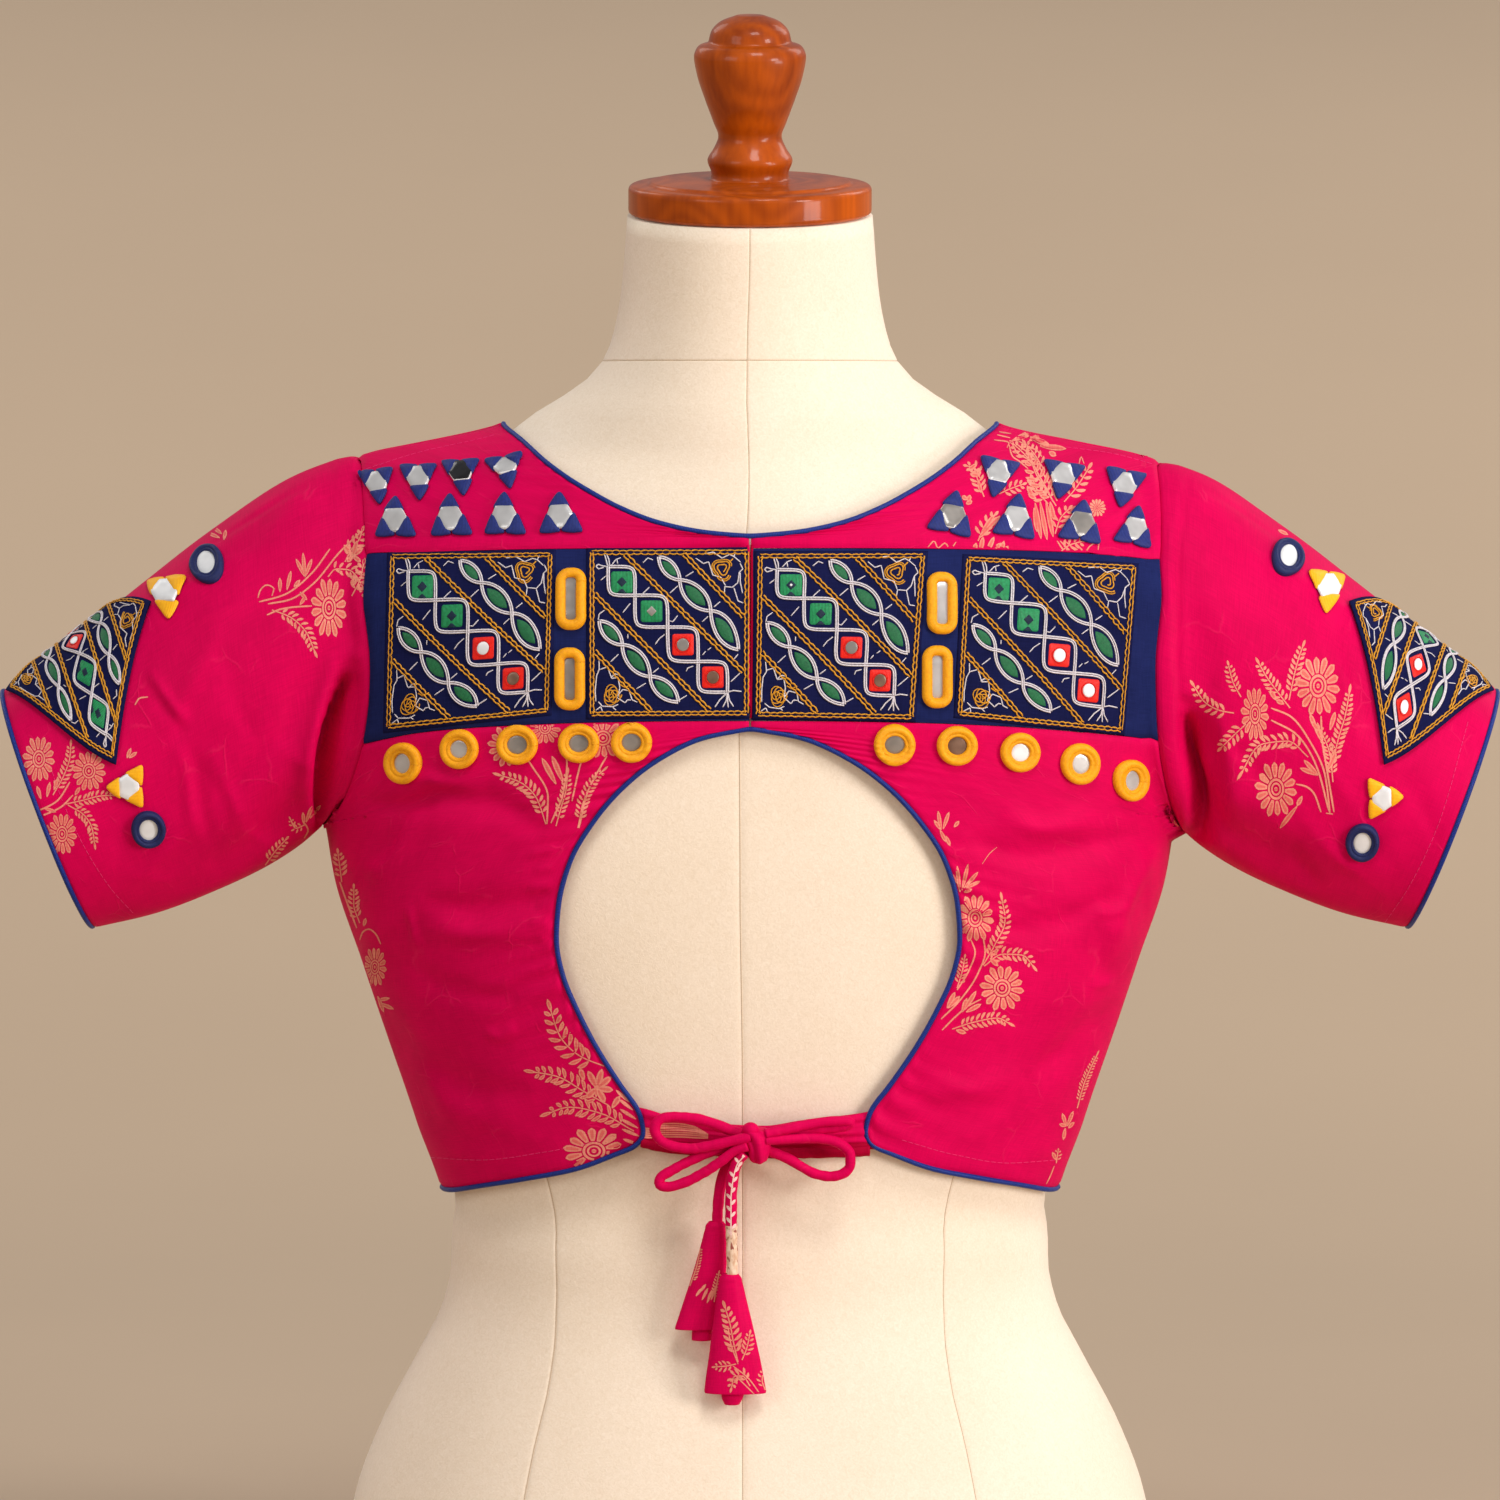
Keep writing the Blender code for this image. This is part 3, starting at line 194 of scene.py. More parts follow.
SLEEVE_COLUMNS = ("share", "top_x", "top_z", "under_x", "under_z", "half_depth")
SLEEVE = (
    (0.00, 0.1770, 0.5255, 0.1845, 0.3700, 0.0560),
    (0.12, 0.2000, 0.5160, 0.1950, 0.3600, 0.0575),
    (0.30, 0.2340, 0.4960, 0.2130, 0.3480, 0.0575),
    (0.50, 0.2620, 0.4745, 0.2330, 0.3385, 0.0555),
    (0.75, 0.2940, 0.4490, 0.2600, 0.3285, 0.0530),
    (1.00, 0.3245, 0.4265, 0.2850, 0.3225, 0.0510),
)
SLEEVE_FADE = 0.5
SLEEVE_SQUARE = ((0.490, 28.0), (0.700, 81.0), (0.980, 13.0), (0.770, -40.0))
SQUARE_WALL = 0.0010
SQUARE_LIFT = 0.0011

# Folds: share, turn, length, width, depth, slant; then angle, height and the same.  The scales
# bring the first two columns to one measure.
SLEEVE_SCALE = (1.0, 1 / math.radians(60))
BODICE_SCALE = (0.15, 1.0)
SLEEVE_FOLDS = (
    (0.20, math.radians(118), 0.30, 0.20, 0.0030, math.radians(38)),
    (0.34, math.radians(142), 0.26, 0.17, -0.0028, math.radians(30)),
    (0.46, math.radians(152), 0.30, 0.20, 0.0030, math.radians(24)),
    (0.24, math.radians(238), 0.30, 0.20, 0.0028, math.radians(-34)),
    (0.42, math.radians(214), 0.30, 0.20, -0.0026, math.radians(-26)),
    (0.66, math.radians(196), 0.26, 0.22, 0.0020, math.radians(14)),
)
BODICE_FOLDS = (
    (math.radians(-30), 0.350, 0.030, 0.008, 0.0012, math.radians(-35)),
    (math.radians(-24), 0.325, 0.032, 0.008, 0.0010, math.radians(-25)),
    (math.radians(-40), 0.300, 0.040, 0.010, 0.0008, math.radians(-12)),
    (math.radians(-35), 0.258, 0.040, 0.010, 0.0008, math.radians(14)),
)


# ---------------------------------------------------------------- curves


def slopes(at, values):
    """Slopes that pass smoothly through the values and never overshoot them."""
    step = np.diff(at)
    rise = np.diff(values) / step
    slope = np.zeros(len(at))
    slope[0], slope[-1] = rise[0], rise[-1]
    for i in range(1, len(at) - 1):
        if rise[i - 1] * rise[i] > 0:
            first = 2 * step[i] + step[i - 1]
            second = step[i] + 2 * step[i - 1]
            slope[i] = (first + second) / (first / rise[i - 1] + second / rise[i])
    return slope


class Profile:
    """A smooth curve through one column of a table."""

    def __init__(self, at, values):
        self.at, self.values = np.asarray(at, float), np.asarray(values, float)
        self.slope = slopes(self.at, self.values)

    def __call__(self, where):
        where = np.asarray(where, float)
        i = np.clip(np.searchsorted(self.at, where) - 1, 0, len(self.at) - 2)
        low, high = self.at[i], self.at[i + 1]
        step = high - low
        t = np.clip((where - low) / step, 0, 1)
        a, b = self.values[i], self.values[i + 1]
        p, q = self.slope[i] * step, self.slope[i + 1] * step
        inside = a * (1 + 2 * t) * (1 - t) ** 2 + p * t * (1 - t) ** 2
        inside = inside + b * t * t * (3 - 2 * t) - q * t * t * (1 - t)
        before, after = np.minimum(where - low, 0), np.maximum(where - high, 0)
        return inside + before * self.slope[i] + after * self.slope[i + 1]


def profiles(columns, rows):
    table = np.array(rows)
    return {name: Profile(table[:, 0], table[:, k]) for k, name in enumerate(columns) if k}


class Route:
    """A smooth curve through a list of points, measured from 0 at its start to 1."""

    def __init__(self, points):
        points = np.array(points, float)
        along = run_along(points)
        self.length = along[-1]
        self.curves = [Profile(along / along[-1], points[:, k]) for k in range(points.shape[1])]

    def __call__(self, share):
        return np.stack([curve(share) for curve in self.curves], axis=-1)


def unit(vectors):
    return vectors / np.linalg.norm(vectors, axis=-1, keepdims=True)


def run_along(points):
    """Distance along a line to each of its points."""
    return np.concatenate([[0], np.cumsum(np.linalg.norm(np.diff(points, axis=0), axis=1))])


def eased_line(line, passes):
    """An open line smoothed in place, its two ends held."""
    for _ in range(passes):
        line[1:-1] = (line[:-2] + 2 * line[1:-1] + line[2:]) / 4
    return line


def eased_loop(line, passes):
    """A closed line smoothed."""
    for _ in range(passes):
        line = (np.roll(line, 1, 0) + 2 * line + np.roll(line, -1, 0)) / 4
    return line


def signed_power(value, power):
    return np.copysign(np.abs(value) ** power, value)


def gathered(rows, u, v, wide):
    """The sum of soft ridges and troughs: place, length, width, depth, slant."""
    total = np.zeros(np.broadcast(u, v).shape)
    for at, level, long, across, deep, slant in rows:
        c, s = math.cos(slant), math.sin(slant)
        du, dv = (u - at) * wide[0], (v - level) * wide[1]
        along, over = du * c + dv * s, -du * s + dv * c
        total = total + deep * np.exp(-((along / long) ** 2) - (over / across) ** 2)
    return total


# ---------------------------------------------------------------- figure and bodice

FIGURE_CURVES = profiles(FIGURE_COLUMNS, FIGURE)


def figure_point(angle, height):
    angle, height = np.broadcast_arrays(np.asarray(angle, float), np.asarray(height, float))
    size = {name: curve(height) for name, curve in FIGURE_CURVES.items()}
    c, s = np.cos(angle), np.sin(angle)
    x = size["half_width"] * signed_power(c, 2 / size["flat"])
    y = np.where(s > 0, size["front"], size["back"]) * signed_power(s, 2 / size["side"])
    turn = angle % (2 * math.pi)
    nearest = np.minimum(abs(turn - CUP_ANGLE), abs(math.pi - turn - CUP_ANGLE))
    across = np.exp(-((nearest / CUP_WIDTH) ** 2))
    cup = CUP_DEPTH * across * np.exp(-(((height - CUP_HEIGHT) / CUP_TALL) ** 2))
    return np.stack((x, y + np.where(s > 0, cup, 0.0), height), axis=-1)


def figure_normal(angle, height, step=0.004):
    around = figure_point(angle + step, height) - figure_point(angle - step, height)
    up = figure_point(angle, height + step / 2) - figure_point(angle, height - step / 2)
    return unit(np.cross(around, up))


def bodice_point(angle, height, out=0.0):
    t = np.clip((height - 0.46) / (0.525 - 0.46), 0, 1)
    ease = EASE + (SHOULDER_EASE - EASE) * t * t * (3 - 2 * t)
    reach = ease + WALL + out
    return figure_point(angle, height) + figure_normal(angle, height) * np.asarray(reach)[..., None]


def fold_depth(angle, height):
    return gathered(BODICE_FOLDS, angle, height, BODICE_SCALE)


def find_angle(across, height, low, high):
    """The angle between two limits at which the bodice is that far from the centre line."""
    across, height = np.broadcast_arrays(np.asarray(across, float), np.asarray(height, float))
    low, high = np.full(height.shape, low), np.full(height.shape, high)
    for _ in range(40):
        middle = (low + high) / 2
        inner = bodice_point(middle, height)[..., 0] < across
        low, high = np.where(inner, middle, low), np.where(inner, high, middle)
    return (low + high) / 2


def back_angle(across, height):
    return find_angle(across, height, -math.pi / 2, 0.0)


def front_angle(across, height):
    return find_angle(across, height, math.pi / 2, 0.0)


def armhole(share, cut):
    turn = math.pi * (1 - np.asarray(share, float))
    height = (SHOULDER_TIP + ARMPIT) / 2 + (SHOULDER_TIP - ARMPIT) / 2 * np.cos(turn)
    fullness = np.where(share > 0.5, ARMHOLE_FULLNESS[1], ARMHOLE_FULLNESS[0])
    return np.stack((cut * np.maximum(0, np.sin(turn)) ** fullness, height), axis=-1)


def armhole_share(height):
    middle, half = (SHOULDER_TIP + ARMPIT) / 2, (SHOULDER_TIP - ARMPIT) / 2
    return 1 - np.arccos(np.clip((height - middle) / half, -1, 1)) / math.pi


def seam_angle(height, side):
    depth = FIGURE_CURVES["front" if side > 0 else "back"](height)
    return side * np.arcsin((SIDE_CLEARANCE / depth) ** (FIGURE_CURVES["side"](height) / 2))


# Each edge below is a function from shares, 0 to 1 along it, to rows of angle and height.


def armhole_edge(first, last, cut):
    start, end = armhole_share(first), armhole_share(last)

    def edge(t):
        places = armhole(start + (end - start) * t, cut)
        least = np.abs(seam_angle(places[:, 1], cut))
        places[:, 0] = np.copysign(np.maximum(np.abs(places[:, 0]), least), cut)
        return places

    return edge


def across_back(heights, shift, stop):
    start = float(back_angle(CENTRE_OPENING, heights[0] + shift))

    def edge(s):
        height = heights[0] + (heights[1] - heights[0]) * s**2 + shift
        return np.stack((start + (stop - start) * s, height), axis=-1)

    return edge


def routed(points, finder, last=None):
    route = Route(points)

    def edge(t):
        places = route(t)
        places[:, 0] = finder(np.maximum(CENTRE_OPENING, places[:, 0]), places[:, 1])
        if last is not None:
            places[t >= 1] = last
        return places

    return edge


def joined(first, second, share):
    """One edge after another, the first up to that share."""

    def edge(t):
        places = first(np.clip(t / share, 0, 1))
        later = t > share
        places[later] = second((t[later] - share) / (1 - share))
        return places

    return edge


def straight(a, b):
    a, b = np.array(a, float), np.array(b, float)
    return lambda t: a + (b - a) * np.asarray(t)[:, None]


def reversed_edge(edge):
    return lambda t: edge(1 - t)


ONE = np.array([1.0])
NONE = np.array([0.0])


def side_seam(low, high, side):
    def edge(t):
        height = low + (high - low) * t
        return np.stack((seam_angle(height, side), height), axis=-1)

    return edge


def keyhole_edge(side):
    lean = 1 + side * KEYHOLE_LEAN
    return routed([(max(CENTRE_OPENING, x * lean), z) for x, z in KEYHOLE], back_angle)


def back_hem(side):
    last = len(BACK_HEM) - 1
    rows = [
        (x * (1 + side * KEYHOLE_LEAN * (1 - i / last)), z) for i, (x, z) in enumerate(BACK_HEM)
    ]
    return routed(rows, back_angle, (float(seam_angle(HEM_SIDE, -1)), HEM_SIDE))


def back_neckline():
    return routed(BACK_NECKLINE[::-1], back_angle, (float(seam_angle(NECK_POINT, -1)), NECK_POINT))


def front_neckline(t):
    turn = math.pi / 2 * t
    across = FRONT_NECK_REACH * np.sin(turn) ** FRONT_NECK_CURVE[0]
    drop = NECK_POINT - FRONT_NECK
    height = NECK_POINT - drop * np.maximum(0, np.cos(turn)) ** FRONT_NECK_CURVE[1]
    angle = np.where(t <= 0, math.pi / 2, front_angle(across, height))
    return np.stack((np.maximum(angle, seam_angle(height, 1)), height), axis=-1)


def front_hem(t):
    """From the centre front to the side seam."""
    side = float(seam_angle(HEM_SIDE, 1))
    height = HEM_SIDE - FRONT_HEM_DROP * (1 - t**2)
    return np.stack((math.pi / 2 + (side - math.pi / 2) * t, height), axis=-1)


def coons(bottom, top, left, right, s, t):
    """Places over a patch with four edges, at columns s and rows t."""
    low, high, near, far = bottom(s), top(s), left(t), right(t)
    near[0], near[-1], far[0], far[-1] = low[0], high[0], low[-1], high[-1]
    s, t = s[None, :, None], t[:, None, None]
    across = (1 - t) * low[None] + t * high[None]
    along = (1 - s) * near[:, None] + s * far[:, None]
    first = (1 - s) * low[0] + s * low[-1]
    last = (1 - s) * high[0] + s * high[-1]
    return across + along - (1 - t) * first - t * last


def stations(count, *extra):
    """Even shares from 0 to 1, closer at the two ends, with the extra ones put in."""
    even = np.linspace(0, 1, count + 1)
    ends = np.array((0.0025, 0.006, 0.011)) * (40 / count)
    return np.unique(np.concatenate([even, ends, 1 - ends, extra]))


HALF_GAP = GAP / 2


def armhole_angle(height, cut):
    return float(armhole(armhole_share(height), cut)[..., 0])


def yoke_places(s, t):
    bottom = across_back(BAND_TOP, HALF_GAP, armhole_angle(BAND_TOP[1] + HALF_GAP, -ARMHOLE_BACK))
    neck = back_neckline()
    left = joined(straight(bottom(NONE)[0], neck(NONE)[0]), neck, YOKE_CORNER)
    right = armhole_edge(bottom(ONE)[0, 1], SHOULDER_TIP, -ARMHOLE_BACK)
    return coons(bottom, side_seam(NECK_POINT, SHOULDER_TIP, -1), left, right, s, t)


def band_places(s, t):
    low = armhole_angle(BAND_BOTTOM[1] + HALF_GAP, -ARMHOLE_BACK)
    high = armhole_angle(BAND_TOP[1] - HALF_GAP, -ARMHOLE_BACK)
    bottom = across_back(BAND_BOTTOM, HALF_GAP, low)
    top = across_back(BAND_TOP, -HALF_GAP, high)
    left = routed([(0.0, bottom(NONE)[0, 1]), (0.0, top(NONE)[0, 1])], back_angle)
    right = armhole_edge(bottom(ONE)[0, 1], top(ONE)[0, 1], -ARMHOLE_BACK)
    return coons(bottom, top, left, right, s, t)


YOKE_CORNER = 1 / 13  # share of the yoke's inner edge that is the centre back
ARMPIT_ROW = 12 / 18  # share of the lower back's outer edge that is the side seam
KEYHOLE_ROW = 17 / 18  # share of its inner edge that is the keyhole
FRONT_ARMPIT = 10 / 14
CHEST_CORNER = 1 / 13


def lower_back_places(side, s, t):
    stop = armhole_angle(BAND_BOTTOM[1] - HALF_GAP, -ARMHOLE_BACK)
    top = across_back(BAND_BOTTOM, -HALF_GAP, stop)
    keyhole = reversed_edge(keyhole_edge(side))
    left = joined(keyhole, straight(keyhole(ONE)[0], top(NONE)[0]), KEYHOLE_ROW)
    armhole_part = armhole_edge(ARMPIT, top(ONE)[0, 1], -ARMHOLE_BACK)
    right = joined(side_seam(HEM_SIDE, ARMPIT, -1), armhole_part, ARMPIT_ROW)
    return coons(back_hem(side), top, left, right, s, t)


def front_places(s, low_rows, high_rows):
    centre = math.pi / 2
    chest_angle = armhole_angle(CHEST_LINE[1], ARMHOLE_FRONT)

    def chest(s):
        height = CHEST_LINE[0] + (CHEST_LINE[1] - CHEST_LINE[0]) * s**2
        return np.stack((centre + (chest_angle - centre) * s, height), axis=-1)

    under = armhole_edge(ARMPIT, CHEST_LINE[1], ARMHOLE_FRONT)
    right = joined(side_seam(HEM_SIDE, ARMPIT, 1), under, FRONT_ARMPIT)
    left = straight(front_hem(NONE)[0], chest(NONE)[0])
    lower = coons(front_hem, chest, left, right, s, low_rows)
    edge = joined(straight(chest(NONE)[0], front_neckline(NONE)[0]), front_neckline, CHEST_CORNER)
    arm = armhole_edge(CHEST_LINE[1], SHOULDER_TIP, ARMHOLE_FRONT)
    top = side_seam(NECK_POINT, SHOULDER_TIP, 1)
    return lower, coons(chest, top, edge, arm, s, high_rows)


# ---------------------------------------------------------------- sleeves

SLEEVE_CURVES = profiles(SLEEVE_COLUMNS, SLEEVE)


def armhole_point(turn):
    behind = turn <= math.pi
    places = np.where(
        behind[..., None],
        armhole(np.clip(1 - turn / math.pi, 0, 1), -ARMHOLE_BACK),
        armhole(np.clip(turn / math.pi - 1, 0, 1), ARMHOLE_FRONT),
    )
    return bodice_point(places[..., 0], places[..., 1]) + np.array((SLEEVE_START, 0.0, 0.0))


def sleeve_ring(share, turn):
    size = {name: curve(share) for name, curve in SLEEVE_CURVES.items()}
    zero = np.zeros(np.shape(share))
    top = np.stack((size["top_x"], zero, size["top_z"]), axis=-1)
    under = np.stack((size["under_x"], zero, size["under_z"]), axis=-1)
    depth = np.stack((zero, -size["half_depth"] * np.sin(turn), zero), axis=-1)
    return (top + under) / 2 + (top - under) / 2 * np.cos(turn)[..., None] + depth


def sleeve_smooth(share, turn):
    share, turn = np.broadcast_arrays(np.asarray(share, float), np.asarray(turn, float))
    turn = turn % (2 * math.pi)
    fade = np.maximum(0.0, 1 - share / SLEEVE_FADE)[..., None] ** 2
    start = sleeve_ring(np.zeros(share.shape), turn)
    return sleeve_ring(share, turn) + (armhole_point(turn) - start) * fade


def sleeve_normal(share, turn, step=0.01):
    along = sleeve_smooth(share + step, turn) - sleeve_smooth(np.maximum(0, share - step), turn)
    around = sleeve_smooth(share, turn + step) - sleeve_smooth(share, turn - step)
    return unit(np.cross(around, along))


def sleeve_fold(share, turn):
    total = gathered(SLEEVE_FOLDS, share, turn % (2 * math.pi), SLEEVE_SCALE)
    fade = np.clip(share / 0.12, 0, 1) * np.clip((1.0 - share) / 0.15, 0, 1)
    return np.where(share <= 1, total * fade, 0.0)


def sleeve_point(share, turn, out=0.0):
    share, turn = np.broadcast_arrays(np.asarray(share, float), np.asarray(turn, float))
    reach = sleeve_fold(share, turn) + sleeve_crease(share, turn) + out
    return sleeve_smooth(share, turn) + sleeve_normal(share, turn) * reach[..., None]


# ---------------------------------------------------------------- creases and unevenness

# The scene's own finer creases on both sleeves, with the same columns as SLEEVE_FOLDS.
SLEEVE_CREASES = (
    (0.40, math.radians(70), 0.20, 0.050, 0.0010, math.radians(68)),
    (0.47, math.radians(84), 0.16, 0.040, -0.0008, math.radians(62)),
    (0.56, math.radians(96), 0.22, 0.045, 0.0008, math.radians(56)),
    (0.30, math.radians(108), 0.16, 0.040, -0.0009, math.radians(50)),
    (0.62, math.radians(124), 0.20, 0.050, 0.0008, math.radians(44)),
    (0.76, math.radians(112), 0.14, 0.040, -0.0006, math.radians(76)),
    (0.20, math.radians(92), 0.22, 0.040, 0.0008, math.radians(82)),
    (0.13, math.radians(128), 0.20, 0.045, -0.0014, math.radians(72)),
    (0.36, math.radians(34), 0.14, 0.040, 0.0005, math.radians(-20)),
    (0.22, math.radians(18), 0.12, 0.035, -0.0005, math.radians(10)),
    (0.60, math.radians(260), 0.20, 0.050, 0.0008, math.radians(-50)),
    (0.40, math.radians(285), 0.20, 0.050, -0.0008, math.radians(-64)),
    (0.26, math.radians(250), 0.18, 0.045, -0.0010, math.radians(-56)),
    (0.78, math.radians(240), 0.14, 0.040, 0.0006, math.radians(-80)),
)
SEAM_DIP = (0.0007, 0.0013)  # how deep and how wide the cloth turns down at a seam
UNEVEN = 0.00016


def wavy(points, scale, seed):
    """Smooth unevenness, about -1 to 1, from a few crossing waves."""
    random = np.random.default_rng(seed)
    total = np.zeros(points.shape[:-1])
    for k in range(7):
        direction = random.normal(size=3)
        direction *= (0.7 + 0.25 * k) / np.linalg.norm(direction) / scale
        total = total + np.sin(points @ direction + random.uniform(0, 6.28)) / (1 + 0.35 * k)
    return total / 2.6


def sleeve_crease(share, turn):
    total = gathered(SLEEVE_CREASES, share, turn % (2 * math.pi), SLEEVE_SCALE)
    fade = np.clip((share - 0.02) / 0.10, 0, 1) * np.clip((0.99 - share) / 0.10, 0, 1)
    return total * fade


# Folds of the sides that show: piece, height (below 0 a trough) and half width in metres, or a
# half width to the left and one to the right, and the line that each follows in the photograph's
# frame.
DRAWN_FOLDS = (
    ("sleeve_left", 0.0014, 0.0022, (149, 669), (168, 699), (192, 726)),
    ("sleeve_left", -0.0007, 0.0026, (144, 676), (162, 706), (184, 734)),
    ("sleeve_left", 0.0010, 0.0032, (169, 738), (185, 763), (189, 800), (196, 842)),
    ("sleeve_left", -0.0008, 0.0034, (180, 742), (196, 770), (202, 806), (210, 846)),
    ("sleeve_left", 0.0009, 0.0034, (205, 742), (228, 788), (248, 842)),
    ("sleeve_left", -0.0070, (0.0024, 0.0078), (351, 656), (337, 704), (325, 752), (321, 794),
     (325, 832)),
    ("sleeve_left", -0.0160, (0.0017, 0.0040), (349, 672), (333, 712), (322, 760), (319, 800),
     (324, 840)),
    ("sleeve_left", 0.0024, 0.0030, (336, 652), (321, 704), (311, 750), (308, 796), (311, 822)),
    ("sleeve_left", 0.0016, 0.0040, (356, 640), (356, 700), (350, 760)),
    ("sleeve_left", -0.0034, 0.0070, (300, 764), (284, 800), (258, 838)),
    ("sleeve_left", -0.0020, 0.0060, (330, 640), (314, 672), (296, 706), (286, 750)),
    ("sleeve_left", 0.0006, 0.0018, (195, 622), (221, 610), (248, 602)),
    ("sleeve_left", -0.0007, 0.0040, (222, 640), (236, 700), (262, 750)),
    ("sleeve_left", -0.0006, 0.0009, (329, 462), (328, 500), (327, 545)),
    ("sleeve_left", 0.0007, 0.0040, (215, 860), (160, 880), (118, 872)),
    ("sleeve_left", -0.0008, 0.0050, (240, 560), (262, 520), (290, 500)),
    ("sleeve_right", -0.0016, 0.0011, (1188, 470), (1178, 560), (1177, 650), (1181, 735)),
    ("sleeve_right", 0.0007, 0.0016, (1182, 470), (1172, 560), (1171, 650), (1174, 735)),
    ("sleeve_right", -0.0090, (0.0040, 0.0092), (1184, 696), (1192, 756), (1199, 806), (1197, 842)),
    ("sleeve_right", -0.0130, (0.0020, 0.0046), (1184, 716), (1189, 764), (1195, 808), (1193, 848)),
    ("sleeve_right", -0.0030, 0.0100, (1184, 560), (1192, 640), (1206, 720), (1222, 800)),
    ("sleeve_right", 0.0020, 0.0044, (1212, 690), (1226, 752), (1232, 810)),
    ("sleeve_right", 0.0008, 0.0040, (1254, 576), (1286, 602), (1316, 640), (1334, 690)),
    ("sleeve_right", 0.0010, 0.0036, (1316, 610), (1342, 672), (1360, 752)),
    ("sleeve_right", -0.0008, 0.0036, (1330, 606), (1354, 672), (1370, 740)),
    ("sleeve_right", -0.0010, 0.0050, (1240, 812), (1290, 850), (1322, 892)),
    ("sleeve_right", 0.0008, 0.0050, (1300, 836), (1340, 862), (1392, 872)),
    ("sleeve_right", -0.0007, 0.0040, (1398, 770), (1424, 810), (1440, 850)),
    ("sleeve_right", 0.0005, 0.0012, (1192, 524), (1209, 536)),
    ("sleeve_right", -0.0006, 0.0050, (1190, 600), (1216, 660), (1206, 700)),
    ("lower_back_left", -0.0030, 0.0056, (358, 800), (400, 806), (450, 797), (500, 806),
     (546, 834)),
    ("lower_back_left", 0.0019, 0.0045, (404, 782), (440, 782), (486, 792)),
    ("lower_back_left", 0.0021, 0.0036, (368, 880), (394, 853), (422, 806)),
    ("lower_back_left", 0.0016, 0.0020, (407, 904), (414, 930), (417, 950)),
    ("lower_back_left", -0.0024, 0.0056, (420, 900), (474, 908), (556, 897)),
    ("lower_back_left", 0.0021, 0.0049, (420, 926), (474, 934), (560, 920)),
    ("lower_back_left", -0.0024, 0.0067, (376, 1000), (420, 1066), (492, 1094), (530, 1090)),
    ("lower_back_left", 0.0019, 0.0056, (410, 1044), (450, 1110), (480, 1136)),
    ("lower_back_left", -0.0016, 0.0045, (404, 960), (450, 990), (520, 1000)),
    ("lower_back_left", 0.0014, 0.0016, (484, 1032), (500, 1036), (516, 1026)),
    ("lower_back_left", -0.0024, 0.0064, (432, 780), (408, 818), (376, 868)),
    ("lower_back_left", 0.0011, 0.0014, (530, 856), (542, 851), (556, 850)),
    ("lower_back_left", 0.0010, 0.0013, (536, 872), (546, 868), (555, 868)),
    ("lower_back_left", 0.0012, 0.0014, (528, 890), (542, 886), (554, 887)),
    ("lower_back_left", 0.0010, 0.0012, (536, 905), (546, 903), (554, 905)),
    ("lower_back_left", 0.0012, 0.0015, (530, 922), (542, 922), (554, 925)),
    ("lower_back_left", 0.0009, 0.0012, (536, 938), (546, 939), (556, 943)),
    ("lower_back_right", 0.0010, 0.0013, (961, 862), (972, 866), (984, 866)),
    ("lower_back_right", 0.0010, 0.0013, (963, 884), (974, 888), (986, 890)),
    ("lower_back_right", 0.0009, 0.0012, (962, 908), (974, 911), (984, 910)),
    ("lower_back_right", -0.0024, 0.0056, (966, 836), (1028, 856), (1082, 847), (1146, 834)),
    ("lower_back_right", 0.0021, 0.0049, (1000, 814), (1040, 828), (1096, 824)),
    ("lower_back_right", 0.0021, 0.0040, (1153, 848), (1124, 908), (1106, 968)),
    ("lower_back_right", -0.0027, 0.0060, (1034, 1072), (1084, 1036), (1120, 1000)),
    ("lower_back_right", 0.0021, 0.0056, (920, 1084), (970, 1090), (1024, 1076)),
    ("lower_back_right", -0.0019, 0.0049, (990, 930), (1050, 925), (1120, 890)),
    ("lower_back_right", 0.0016, 0.0016, (1095, 912), (1110, 912), (1124, 905)),
    ("lower_back_right", 0.0016, 0.0016, (1090, 985), (1104, 984), (1113, 978)),
    ("back_yoke_right", 0.0005, 0.0012, (1064, 447), (1100, 452), (1150, 460)),
    ("back_band_left", 0.0005, 0.0020, (372, 570), (374, 640), (372, 720)),
    ("back_band_right", 0.0005, 0.0020, (1146, 580), (1149, 650), (1150, 730)),
)


def to_pixels(points):
    """Where points come in the photograph's frame."""
    away = points - EYE
    deep = away @ FORWARD
    across = PHOTO_SIZE / 2 + away[..., 0] / deep * FOCAL_PIXELS
    down = PHOTO_SIZE / 2 - (away @ UPWARD) / deep * FOCAL_PIXELS
    return np.stack((across, down), axis=-1)


def line_distance(places, line):
    """Distance from places to a line, and the share along it of the nearest point."""
    steps = np.diff(line, axis=0)
    offset = places[..., None, :] - line[:-1]
    along = np.clip(np.sum(offset * steps, -1) / np.sum(steps**2, -1), 0, 1)
    gaps = np.linalg.norm(offset - along[..., None] * steps, axis=-1)
    nearest = gaps.argmin(-1)[..., None]
    share = (nearest + np.take_along_axis(along, nearest, -1)) / len(steps)
    return np.take_along_axis(gaps, nearest, -1)[..., 0], share[..., 0]


PIXEL = 0.00043  # metres to a pixel of the photograph
FOLD_STEPS = 14  # points along a drawn fold


